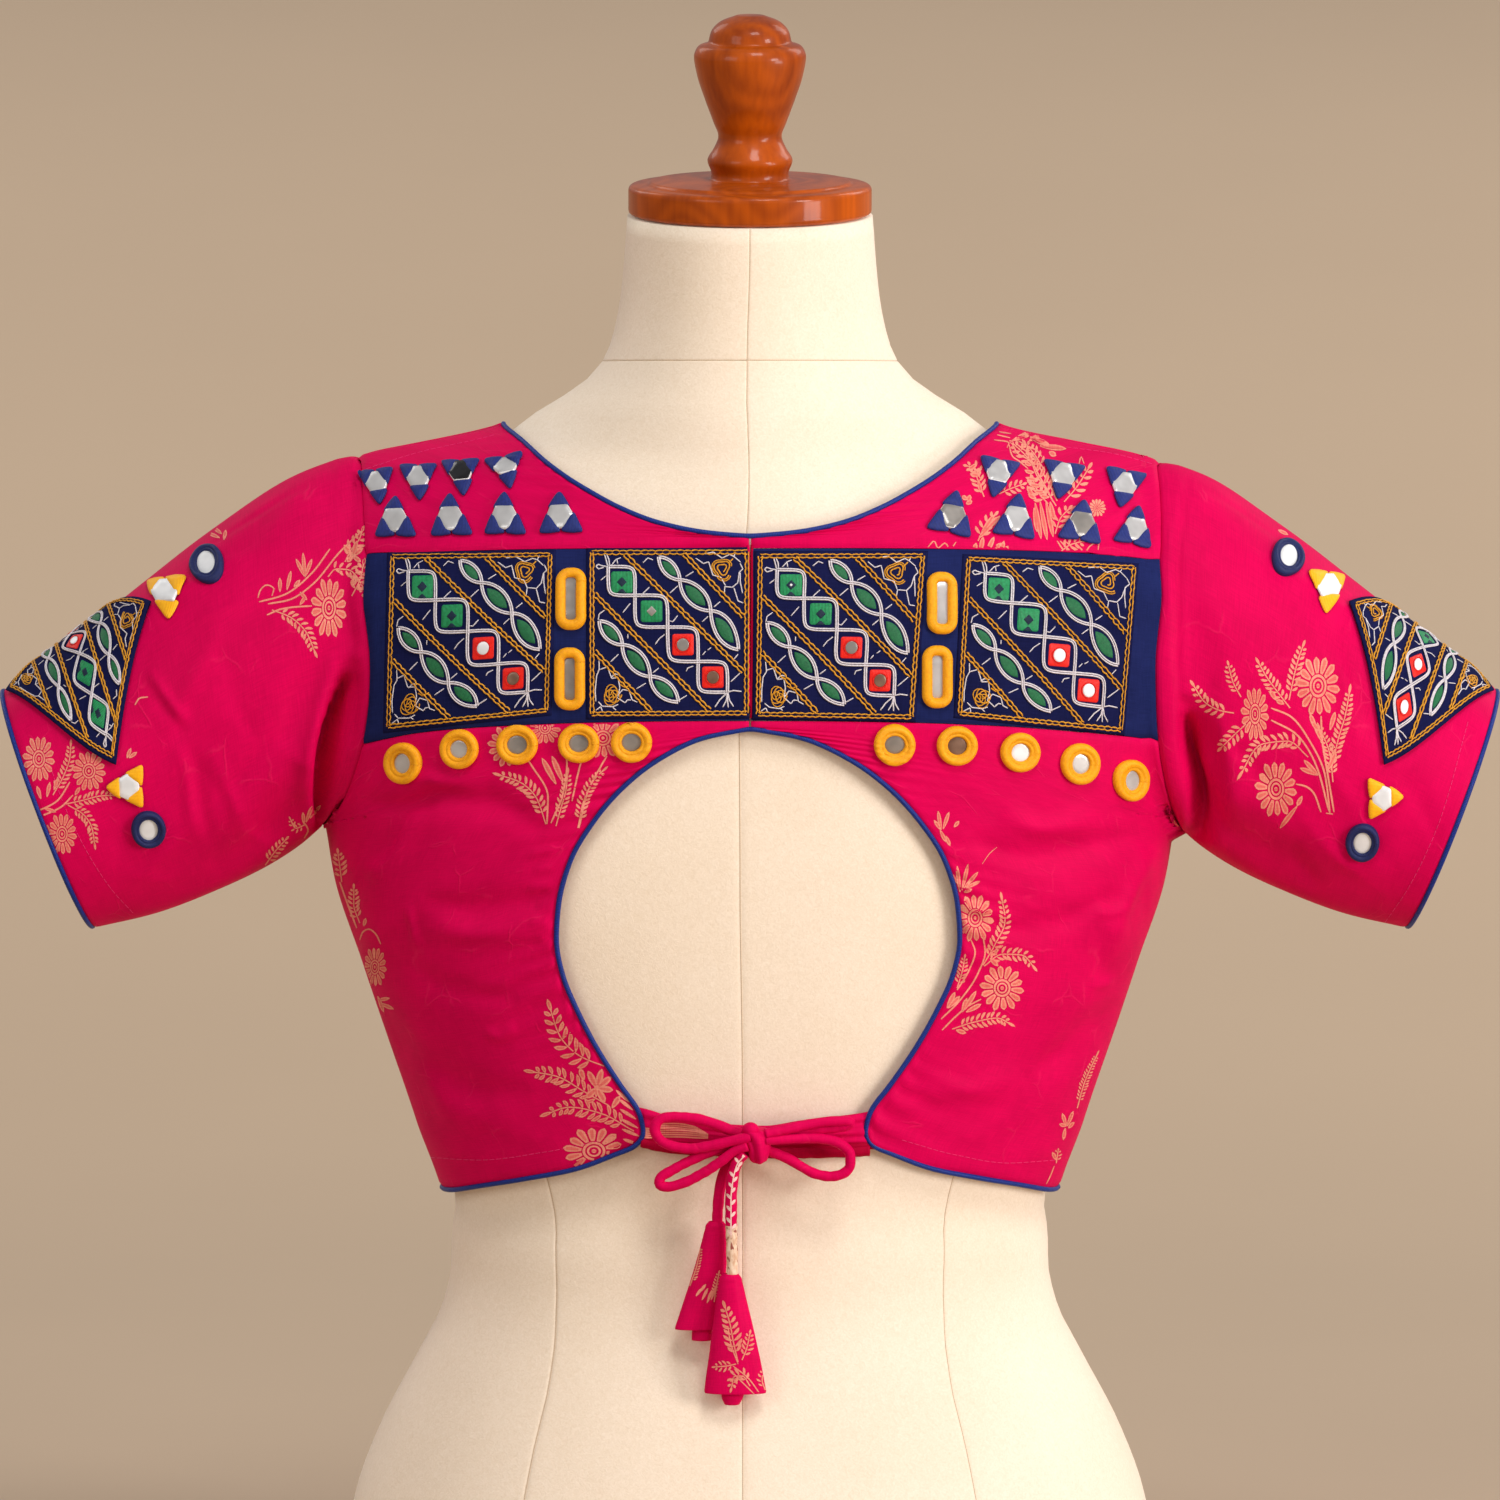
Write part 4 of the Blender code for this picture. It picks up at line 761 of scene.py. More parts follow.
def drawn_folds(grid, normals, piece):
    """The folds that show, where each meets the side that faces the camera."""
    total = np.zeros(grid.shape[:-1])
    pixels = to_pixels(grid)
    facing = np.clip(-np.sum(normals * unit(grid - EYE), -1) / 0.25, 0, 1)
    for name, height, width, *line in DRAWN_FOLDS:
        if name != piece:
            continue
        smooth = Route(line)(np.linspace(0, 1, FOLD_STEPS))
        gap, share = line_distance(pixels, smooth)
        taper = np.clip(4 * share * (1 - share), 0, 1) ** 0.75
        if isinstance(width, tuple):
            beside = np.interp(share * (FOLD_STEPS - 1), np.arange(FOLD_STEPS), smooth[:, 0])
            width = np.where(pixels[..., 0] < beside, *width)
        spread = width * (1 + 0.25 * np.sin(7 * share + 900 * height)) / PIXEL
        total = total + height * taper * np.exp(-((gap / spread) ** 2))
    return total * facing


# Those on both sides of the bodice, with the same columns as BODICE_FOLDS.
BODICE_CREASES = (
    (math.radians(-22), 0.352, 0.026, 0.0045, 0.0007, math.radians(-42)),
    (math.radians(-18), 0.338, 0.024, 0.0040, -0.0006, math.radians(-36)),
    (math.radians(-30), 0.332, 0.036, 0.0050, 0.0006, math.radians(-24)),
    (math.radians(-26), 0.312, 0.030, 0.0045, -0.0005, math.radians(-20)),
    (math.radians(-36), 0.284, 0.040, 0.0055, 0.0005, math.radians(-8)),
    (math.radians(-30), 0.268, 0.036, 0.0050, -0.0004, math.radians(6)),
    (math.radians(-44), 0.246, 0.034, 0.0050, 0.0004, math.radians(12)),
    (math.radians(-28), 0.232, 0.036, 0.0045, 0.0004, math.radians(4)),
    (math.radians(-38), 0.376, 0.030, 0.0050, 0.0005, math.radians(-30)),
    (math.radians(24), 0.352, 0.026, 0.0045, 0.0015, math.radians(40)),
    (math.radians(30), 0.334, 0.030, 0.0045, -0.0011, math.radians(30)),
    (math.radians(36), 0.300, 0.034, 0.0050, 0.0011, math.radians(16)),
    (math.radians(46), 0.262, 0.034, 0.0050, 0.0011, math.radians(-6)),
    (math.radians(62), 0.240, 0.036, 0.0050, -0.0009, math.radians(4)),
    (math.radians(70), 0.330, 0.030, 0.0060, 0.0009, math.radians(-70)),
    (math.radians(82), 0.300, 0.034, 0.0060, -0.0009, math.radians(80)),
)


# ---------------------------------------------------------------- meshes


class Bundle:
    """Points and faces gathered into one object of several finishes."""

    def __init__(self):
        self.points, self.faces, self.slots, self.flat = [], [], [], []
        self.total = 0

    def add(self, points, faces, slot=0, flat=None):
        points = np.asarray(points, float).reshape(-1, 3)
        for face in faces:
            self.faces.append([int(i) + self.total for i in face])
            self.slots.append(slot)
        self.points.append(points)
        self.flat.append(np.zeros((len(points), 2)) if flat is None else np.reshape(flat, (-1, 2)))
        self.total += len(points)

    def make(self, name, finishes):
        """One object; finishes is a material or a list of them, and flat places become its UV."""
        mesh = bpy.data.meshes.new(name)
        points = np.concatenate(self.points)
        mesh.from_pydata(points.tolist(), [], self.faces)
        mesh.polygons.foreach_set("material_index", np.array(self.slots, np.int32))
        mesh.polygons.foreach_set("use_smooth", np.ones(len(self.faces), bool))
        corners = np.zeros(len(mesh.loops), np.int32)
        mesh.loops.foreach_get("vertex_index", corners)
        layer = mesh.uv_layers.new(name="flat")
        layer.data.foreach_set("uv", np.concatenate(self.flat)[corners].astype(np.float32).ravel())
        for finish in finishes if isinstance(finishes, (list, tuple)) else [finishes]:
            mesh.materials.append(finish)
        mesh.validate()
        made = bpy.data.objects.new(name, mesh)
        bpy.context.scene.collection.objects.link(made)
        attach(made, "root")
        return made


def grid_faces(rows, columns, wrap=False):
    index = np.arange(rows * columns).reshape(rows, columns)
    if wrap:
        index = np.concatenate([index, index[:, :1]], axis=1)
    a, b, c, d = index[:-1, :-1], index[:-1, 1:], index[1:, 1:], index[1:, :-1]
    return np.stack((a, b, c, d), axis=-1).reshape(-1, 4)


def capped_faces(rows, columns):
    """The faces of a closed body: a wrapped grid with a cap at each end."""
    faces = grid_faces(rows, columns, True).tolist()
    faces.append(list(range(columns))[::-1])
    faces.append(list(range((rows - 1) * columns, rows * columns)))
    return faces


def along_rows(grid):
    """Distance along each row of a grid from its first column."""
    steps = np.linalg.norm(np.diff(grid, axis=1), axis=-1)
    return np.concatenate([np.zeros((len(grid), 1)), np.cumsum(steps, axis=1)], axis=1)


def edge_distances(grid):
    """Distances to the left, right, bottom and top edges of a grid."""
    across, up = along_rows(grid), along_rows(grid.swapaxes(0, 1)).T
    return across, across[:, -1:] - across, up, up[-1:] - up


def grid_normals(grid, wrap=False):
    if wrap:
        ring = np.concatenate([grid[:, -1:], grid, grid[:, :1]], axis=1)
        across = (ring[:, 2:] - ring[:, :-2]) / 2
    else:
        across = np.gradient(grid, axis=1)
    return unit(np.cross(across, np.gradient(grid, axis=0)))


class Skin:
    """A cloth's outer face, on which other pieces are laid."""

    def __init__(self, grids):
        points, faces, total = [], [], 0
        for grid, wrap in grids:
            rows, columns = grid.shape[:2]
            points.append(grid.reshape(-1, 3))
            faces.extend((grid_faces(rows, columns, wrap) + total).tolist())
            total += rows * columns
        self.tree = BVHTree.FromPolygons(np.concatenate(points).tolist(), faces)

    def cast(self, starts, directions):
        """Places, normals that face the start, and whether each ray meets the cloth."""
        starts, directions = np.broadcast_arrays(starts, directions)
        shape = starts.shape
        places, normals = np.zeros((starts.size // 3, 3)), np.zeros((starts.size // 3, 3))
        found = np.zeros(len(places), bool)
        for i, (start, way) in enumerate(zip(starts.reshape(-1, 3), directions.reshape(-1, 3))):
            place, normal, _, _ = self.tree.ray_cast(Vector(start), Vector(way))
            if place is not None:
                places[i], found[i] = place, True
                normals[i] = normal if normal.dot(Vector(way)) < 0 else -normal
        return places.reshape(shape), normals.reshape(shape), found.reshape(shape[:-1])

    def seen(self, pixels, out=0.0):
        """Points on the cloth at places of the photograph's frame, moved out along its normal."""
        places, normals, found = self.cast(EYE, pixel_rays(pixels))
        return places + normals * np.asarray(out)[..., None], normals, found


def cloth_shell(bundle, outer, normals, flat, slot=0, wrap=False, thick=WALL):
    """A closed wall from the grid of its outer face."""
    rows, columns = outer.shape[:2]
    count = rows * columns
    quads = grid_faces(rows, columns, wrap)
    index = np.arange(count).reshape(rows, columns)
    if wrap:
        rims = [np.append(index[0], index[0, 0]), np.append(index[-1], index[-1, 0])[::-1]]
    else:
        loop = [index[0], index[1:, -1], index[-1, -2::-1], index[-2:0:-1, 0], index[0, :1]]
        rims = [np.concatenate(loop)]
    sides = []
    for rim in rims:
        for a, b in zip(rim[:-1], rim[1:]):
            sides.append((b, a, a + count, b + count))
    faces = quads.tolist() + (quads[:, ::-1] + count).tolist() + sides
    points = np.concatenate([outer.reshape(-1, 3), (outer - normals * thick).reshape(-1, 3)])
    bundle.add(points, faces, slot, np.concatenate([flat.reshape(-1, 2)] * 2))


def tube(points, radius, sides=8, closed=False, up=None, flat=1.0):
    """A tube along a line: points, faces and flat places along and around it."""
    points = np.asarray(points, float)
    count = len(points)
    if closed:
        tangents = unit(np.roll(points, -1, 0) - np.roll(points, 1, 0))
    else:
        tangents = unit(np.gradient(points, axis=0))
    if up is None:
        side = unit(np.cross(tangents[0], (0.1, 1.0, 0.2)))
        frames = []
        for tangent in tangents:
            side = unit(side - tangent * side.dot(tangent))
            frames.append(side)
        across = np.array(frames)
    else:
        across = unit(np.cross(tangents, np.broadcast_to(up, points.shape)))
    upward = np.cross(across, tangents)
    turns = 2 * math.pi * np.arange(sides) / sides
    radius = np.broadcast_to(radius, (count,))[:, None, None]
    ring = np.cos(turns)[None, :, None] * across[:, None]
    ring = ring + flat * np.sin(turns)[None, :, None] * upward[:, None]
    verts = points[:, None] + radius * ring
    if closed:
        faces = grid_faces(count + 1, sides, True)
        faces = np.where(faces >= count * sides, faces - count * sides, faces).tolist()
    else:
        faces = capped_faces(count, sides)
    along = run_along(points)
    flats = np.stack(np.broadcast_arrays(along[:, None], turns[None]), axis=-1)
    return verts.reshape(-1, 3), faces, flats.reshape(-1, 2)


def resample(points, spacing, closed=False):
    """Even points along a line."""
    points = np.asarray(points, float)
    if closed:
        points = np.concatenate([points, points[:1]])
    along = run_along(points)
    count = max(2, int(round(along[-1] / spacing)))
    where = np.linspace(0, along[-1], count + 1)
    even = np.stack([np.interp(where, along, points[:, k]) for k in range(points.shape[1])], 1)
    return even[:-1] if closed else even


# ---------------------------------------------------------------- materials


class Finish:
    """A material being put together from nodes."""

    def __init__(self, name, **settings):
        self.material = bpy.data.materials.new(name)
        self.material.use_nodes = True
        self.tree = self.material.node_tree
        self.shader = self.tree.nodes["Principled BSDF"]
        for key, value in settings.items():
            self.shader.inputs[key.replace("_", " ")].default_value = value
        self.material.diffuse_color = settings.get("Base_Color", (0.5, 0.5, 0.5, 1.0))

    def node(self, kind, inputs=(), **settings):
        made = self.tree.nodes.new("ShaderNode" + kind)
        for key, value in settings.items():
            setattr(made, key, value)
        for key, value in dict(inputs).items():
            if isinstance(value, bpy.types.NodeSocket):
                self.tree.links.new(value, made.inputs[key])
            else:
                made.inputs[key].default_value = value
        return made

    def flat(self, stretch=(1.0, 1.0)):
        """The cut's own flat places, stretched."""
        uv = self.node("UVMap", uv_map="flat").outputs[0]
        return self.node("Mapping", {"Vector": uv, "Scale": (*stretch, 1.0)}).outputs[0]

    def place(self, stretch=(1.0, 1.0, 1.0)):
        """Places in space, stretched."""
        where = self.node("TexCoord").outputs["Object"]
        return self.node("Mapping", {"Vector": where, "Scale": stretch}).outputs[0]

    def noise(self, where, scale=1.0, detail=2.0, rough=0.5):
        inputs = {"Vector": where, "Scale": scale, "Detail": detail, "Roughness": rough}
        return self.node("TexNoise", inputs).outputs["Fac"]

    def wave(self, where, scale, direction="X", distortion=0.0):
        inputs = {"Vector": where, "Scale": scale, "Distortion": distortion}
        made = self.node("TexWave", inputs, bands_direction=direction)
        return made.outputs["Fac"]

    def math(self, operation, a, b=0.0):
        return self.node("Math", {0: a, 1: b}, operation=operation).outputs[0]

    def blend(self, *parts):
        """The sum of values, each times its share."""
        total = None
        for value, share in parts:
            part = self.math("MULTIPLY", value, share)
            total = part if total is None else self.math("ADD", total, part)
        return total

    def ramp(self, value, low, high, start=0.0, end=1.0):
        """A colour ramp between two colours."""
        made = self.node("ValToRGB", {"Fac": value})
        for element, at, colour in zip(made.color_ramp.elements, (low, high), (start, end)):
            element.position = at
            colour = colour if isinstance(colour, tuple) else (colour,) * 3
            element.color = (*colour, 1.0)
        return made.outputs[0]

    def mix(self, share, a, b, mode="MIX"):
        made = self.node("Mix", data_type="RGBA", blend_type=mode)
        for key, value in ((0, share), (6, a), (7, b)):
            if isinstance(value, bpy.types.NodeSocket):
                self.tree.links.new(value, made.inputs[key])
            else:
                value = (*value, 1.0) if isinstance(value, tuple) else value
                made.inputs[key].default_value = value
        return made.outputs[2]

    def colour(self, value):
        self.tree.links.new(value, self.shader.inputs["Base Color"])

    def bump(self, height, distance, strength=1.0):
        inputs = {"Height": height, "Distance": distance, "Strength": strength}
        made = self.node("Bump", inputs)
        previous = self.shader.inputs["Normal"].links
        if previous:
            self.tree.links.new(previous[0].from_socket, made.inputs["Normal"])
        self.tree.links.new(made.outputs[0], self.shader.inputs["Normal"])


def wave_scale(pitch):
    """The wave node's scale for bands of a pitch in metres."""
    return 2 * math.pi / (20 * pitch)


def woven(name, dark, light, roughness, sheen, thread=0.00055, crease_highlight=0.0):
    """Cloth with a fine weave, slubs both ways, faint unevenness of colour and crease lines, whose
    paler tone is a painted highlight and whose dip is a real bump.
    """
    tint = (*(min(1.0, c * 1.3) for c in light), 1.0)
    made = Finish(name, Base_Color=(*light, 1.0), Roughness=roughness, Specular_IOR_Level=0.03,
                  Sheen_Weight=sheen, Sheen_Roughness=0.35, Sheen_Tint=tint)
    warp = made.noise(made.flat((2600.0, 130.0)), 1.0, 3.0)
    weft = made.noise(made.flat((120.0, 2300.0)), 1.0, 3.0)
    slub = made.math("MULTIPLY", made.math("ADD", warp, weft), 0.5)
    cloud = made.noise(made.flat((45.0, 45.0)), 1.0, 3.0)
    base = made.ramp(made.blend((slub, 0.66), (cloud, 0.34)), 0.36, 0.64, dark, light)
    if crease_highlight:
        stray = made.node("TexNoise", {"Vector": made.flat(), "Scale": 60.0, "Detail": 3.0})
        drift = {0: stray.outputs["Color"], "Scale": 0.010}
        off = made.node("VectorMath", drift, operation="SCALE")
        bent = made.node("VectorMath", {0: made.flat(), 1: off.outputs[0]}, operation="ADD")
        cells = {"Vector": bent.outputs[0], "Scale": 34.0}
        edge = made.node("TexVoronoi", cells, feature="DISTANCE_TO_EDGE").outputs["Distance"]
        line = made.ramp(edge, 0.004, 0.018, 1.0, 0.0)
        some = made.ramp(made.noise(made.flat((52.0, 52.0)), 1.0, 2.0), 0.50, 0.60, 0.0, 1.0)
        line = made.math("MULTIPLY", line, some)
        # the paler tone along the crease lines is a painted highlight
        pale = tuple(min(1.0, c * 1.25 + 0.030) for c in light)
        base = made.mix(made.math("MULTIPLY", line, crease_highlight), base, pale)
        made.bump(line, 0.00016, 0.7)
        made.bump(cloud, 0.0009, 0.35)
    made.colour(base)
    scale = wave_scale(thread)
    over = made.wave(made.flat(), scale, "X", 0.6)
    under = made.wave(made.flat(), scale, "Y", 0.6)
    made.bump(made.math("MAXIMUM", over, under), 0.00003, 0.25)
    made.bump(slub, 0.00008, 0.28)
    return made.material


def mottled(name, speck, dark, light):
    """Pale woven cloth with uneven specks."""
    made = Finish(name, Base_Color=(*light, 1.0), Roughness=0.6, Specular_IOR_Level=0.1)
    grain = made.noise(made.place((700.0, 700.0, 380.0)), 1.0, 3.0)
    specks = made.noise(made.place((520.0, 520.0, 340.0)), 1.0, 1.0)
    base = made.ramp(grain, 0.35, 0.65, dark, light)
    share = made.ramp(specks, 0.58, 0.66, 0.0, 1.0)
    made.colour(made.mix(share, base, speck))
    made.bump(grain, 0.00008, 0.5)
    return made.material


def thread_finish(name, dark, light, roughness, pitch=0.0004, sheen=0.3):
    """Stitches laid side by side across a line, or round a ring."""
    tint = (*light, 1.0)
    made = Finish(name, Base_Color=tint, Roughness=roughness, Specular_IOR_Level=0.25,
                  Sheen_Weight=sheen, Sheen_Tint=tint)
    lay = made.wave(made.flat(), wave_scale(pitch), "X", 1.2)
    fuzz = made.noise(made.place((900.0, 900.0, 900.0)), 1.0, 3.0)
    made.colour(made.ramp(made.blend((lay, 0.45), (fuzz, 0.55)), 0.25, 0.70, dark, light))
    made.bump(lay, 0.00009, 0.7)
    made.bump(fuzz, 0.00006, 0.4)
    return made.material


def glass_finish(name, dark, light, roughness, metal):
    """A small silvered mirror with faint clouding; its grey, bright, brown or dark tone is a
    painted reflection.
    """
    made = Finish(name, Base_Color=(*light, 1.0), Metallic=metal, Roughness=roughness)
    cloud = made.noise(made.place((170.0, 170.0, 170.0)), 1.0, 1.0)
    made.colour(made.ramp(cloud, 0.30, 0.70, dark, light))
    return made.material


def linen_finish():
    """Fine linen with a soft embossed grain."""
    made = Finish("form_linen", Base_Color=(0.80, 0.66, 0.50, 1.0), Roughness=0.9,
                  Specular_IOR_Level=0.25, Sheen_Weight=0.12)
    fine = made.noise(made.place((430.0, 430.0, 430.0)), 1.0, 3.0, 0.6)
    fine.node.inputs["Distortion"].default_value = 1.6
    grain = made.noise(made.place((1100.0, 1100.0, 1100.0)), 1.0, 3.0, 0.6)
    cloud = made.noise(made.place((14.0, 14.0, 14.0)), 1.0, 3.0)
    tone = made.blend((fine, 0.40), (grain, 0.35), (cloud, 0.25))
    made.colour(made.ramp(tone, 0.34, 0.66, (0.80, 0.650, 0.480), (0.92, 0.785, 0.635)))
    made.bump(fine, 0.00022, 0.5)
    made.bump(grain, 0.00008, 0.3)
    return made.material


def wood_finish():
    """Varnished wood, its grain upright."""
    made = Finish("varnished_wood", Base_Color=(0.36, 0.070, 0.002, 1.0), Roughness=0.40,
                  Specular_IOR_Level=0.12, Coat_Weight=0.24, Coat_Roughness=0.09,
                  Coat_Tint=(1.0, 0.80, 0.60, 1.0))
    bend = made.noise(made.place((9.0, 9.0, 5.0)), 1.0, 2.0)
    where = made.node("VectorMath", {0: made.place((1.0, 1.0, 0.16)), 1: bend}, operation="ADD")
    rings = made.wave(where.outputs[0], 9.0, "X", 2.5)
    fibre = made.noise(made.place((420.0, 420.0, 22.0)), 1.0, 4.0)
    cloud = made.noise(made.place((20.0, 20.0, 9.0)), 1.0, 3.0)
    tone = made.blend((rings, 0.12), (fibre, 0.30), (cloud, 0.58))
    made.colour(made.ramp(tone, 0.22, 0.78, (0.16, 0.017, 0.0008), (0.54, 0.098, 0.0016)))
    made.bump(fibre, 0.00004, 0.15)
    return made.material


PINK_DARK, PINK_LIGHT = (0.54, 0.0006, 0.062), (0.71, 0.0010, 0.084)
# the pink's crease lines carry a painted highlight
PINK = woven("raw_silk_pink", PINK_DARK, PINK_LIGHT, 0.55, 0.10, crease_highlight=0.15)
NAVY = woven("cotton_navy", (0.008, 0.012, 0.062), (0.014, 0.021, 0.105), 0.75, 0.08, 0.0006)
NIGHT = woven("cotton_night", (0.005, 0.006, 0.034), (0.010, 0.012, 0.064), 0.80, 0.06, 0.0006)
PIPING = thread_finish(
    "piping_blue", (0.0016, 0.011, 0.105), (0.004, 0.030, 0.26), 0.40, 0.0007, 0.02
)
YELLOW = thread_finish("thread_yellow", (0.74, 0.23, 0.002), (1.00, 0.47, 0.006), 0.45, sheen=0.1)
BRIGHT = thread_finish("cloth_yellow", (0.86, 0.36, 0.003), (1.00, 0.50, 0.008), 0.5, 0.0006, 0.1)
DARK = thread_finish("thread_navy", (0.006, 0.009, 0.050), (0.012, 0.020, 0.115), 0.5, sheen=0.1)
PADDED = thread_finish("cloth_navy", (0.008, 0.014, 0.095), (0.016, 0.030, 0.20), 0.55, 0.0006, 0.1)
GOLD = thread_finish("thread_gold", (0.42, 0.15, 0.008), (0.90, 0.43, 0.030), 0.36, 0.0005, 0.1)
WHITE = thread_finish("thread_white", (0.52, 0.46, 0.49), (0.86, 0.80, 0.82), 0.5, 0.0006, 0.1)
GREEN = thread_finish("thread_green", (0.005, 0.10, 0.030), (0.016, 0.33, 0.11), 0.42, 0.0006, 0.1)
DEEP_GREEN = thread_finish(
    "thread_deep_green", (0.006, 0.070, 0.030), (0.020, 0.19, 0.065), 0.5, sheen=0.1
)
RED = thread_finish("satin_red", (0.60, 0.006, 0.003), (0.90, 0.020, 0.010), 0.38, 0.0006, 0.1)
# A darker copy of the pink, painted shade: for the band's turned hem, the tassels' hollows, the
# strap cord under the bow and the opening's right edge.
SHADED_PINK = woven("raw_silk_pink_painted_shade", (0.30, 0.0004, 0.020), (0.42, 0.0006, 0.030), 0.6, 0.05)
PRINT = woven("woven_print", (0.66, 0.17, 0.12), (0.88, 0.34, 0.24), 0.5, 0.05, 0.0005)
PRINT_DEEP = woven("woven_print_deep", (0.62, 0.085, 0.085), (0.80, 0.19, 0.15), 0.5, 0.05, 0.0005)
PALE_PRINT = woven("woven_pale_print", (0.80, 0.45, 0.40), (0.95, 0.70, 0.64), 0.5, 0.05, 0.0005)
PALE_CLOTH = mottled("woven_pale_cloth", (0.30, 0.08, 0.06), (0.64, 0.38, 0.24), (0.85, 0.64, 0.47))
# The mirrors below, but for the pale edge, take grey, shaded, brown, dark and bright tones that are
# painted reflections.
SILVER = glass_finish("mirror", (0.49, 0.48, 0.47), (0.58, 0.57, 0.56), 0.30, 0.35)
SHADE = glass_finish("mirror_shaded", (0.24, 0.22, 0.20), (0.33, 0.30, 0.27), 0.30, 0.35)
BROWN_REFLECTION_GLASS = glass_finish("mirror_brown_painted_reflection", (0.16, 0.085, 0.055), (0.26, 0.15, 0.10), 0.3, 0.3)
DARK_REFLECTION_GLASS = glass_finish("mirror_dark_painted_reflection", (0.006, 0.006, 0.007), (0.02, 0.02, 0.022), 0.2, 0.3)
RIM = glass_finish("mirror_edge", (0.74, 0.74, 0.74), (0.84, 0.84, 0.84), 0.3, 0.2)
BRIGHT_REFLECTION_GLASS = glass_finish("mirror_bright_painted_reflection", (0.70, 0.70, 0.70), (0.82, 0.82, 0.82), 0.35, 0.1)
NIGHT_THREAD = thread_finish(
    "thread_night", (0.003, 0.010, 0.026), (0.006, 0.022, 0.050), 0.5, sheen=0.0
)
LIGHT_THREAD = thread_finish(
    "thread_light_pink", (0.60, 0.010, 0.12), (0.86, 0.05, 0.22), 0.5, 0.0004, 0.1
)
LINEN = linen_finish()
SEAM_LINEN = thread_finish(
    "form_seam_thread", (0.52, 0.38, 0.25), (0.66, 0.50, 0.34), 0.8, 0.0008, 0.1
)
WOOD = wood_finish()


# ---------------------------------------------------------------- the form

# Seams of the form's cover: height and angle from the centre back, for the princess seams.
PRINCESS_SEAM = (
    (0.000, 33.0),
    (0.070, 33.2),
    (0.126, 34.3),
    (0.171, 37.9),
    (0.212, 38.7),
    (0.300, 39.5),
    (0.400, 40.0),
    (0.500, 38.0),
    (0.560, 40.0),
    (0.6337, 42.0),
)
NECK_SEAM, NECK_SEAM_DIP = 0.5705, 0.0070  # its height at the sides, and its rise at the back
SEAM_WIDTH = 0.0006
SEAM_DEPTH = 0.00032
SEAM_SHOWN = 0.262  # the princess seams run from the base to just under the blouse's hem
CENTRE_SHIFT = 0.0013  # how far the centre back seam lies to the figure's left
SEAM_THREAD = 0.00022
SEAM_STEP = 0.003
FORM_LEVELS = 90
CENTRE_FADE = (0.60, 0.02)  # where, near the neck, the centre seam comes back to the middle
HALF_DEPTH = 0.11  # the figure's mean depth, which turns small angles into metres


def form_slack(angle, height):
    start, end = (np.tanh((height - at) / soft) for at, soft in FORM_COVER)
    everywhere, in_front, at_shoulders = FORM_SLACK
    slack = everywhere + in_front * np.maximum(0.0, np.sin(angle) + 0.15)
    rise = np.clip((height - FORM_SHOULDER + 0.008) / 0.008, 0, 1)
    return 0.5 * (start - end) * (slack + at_shoulders * rise)


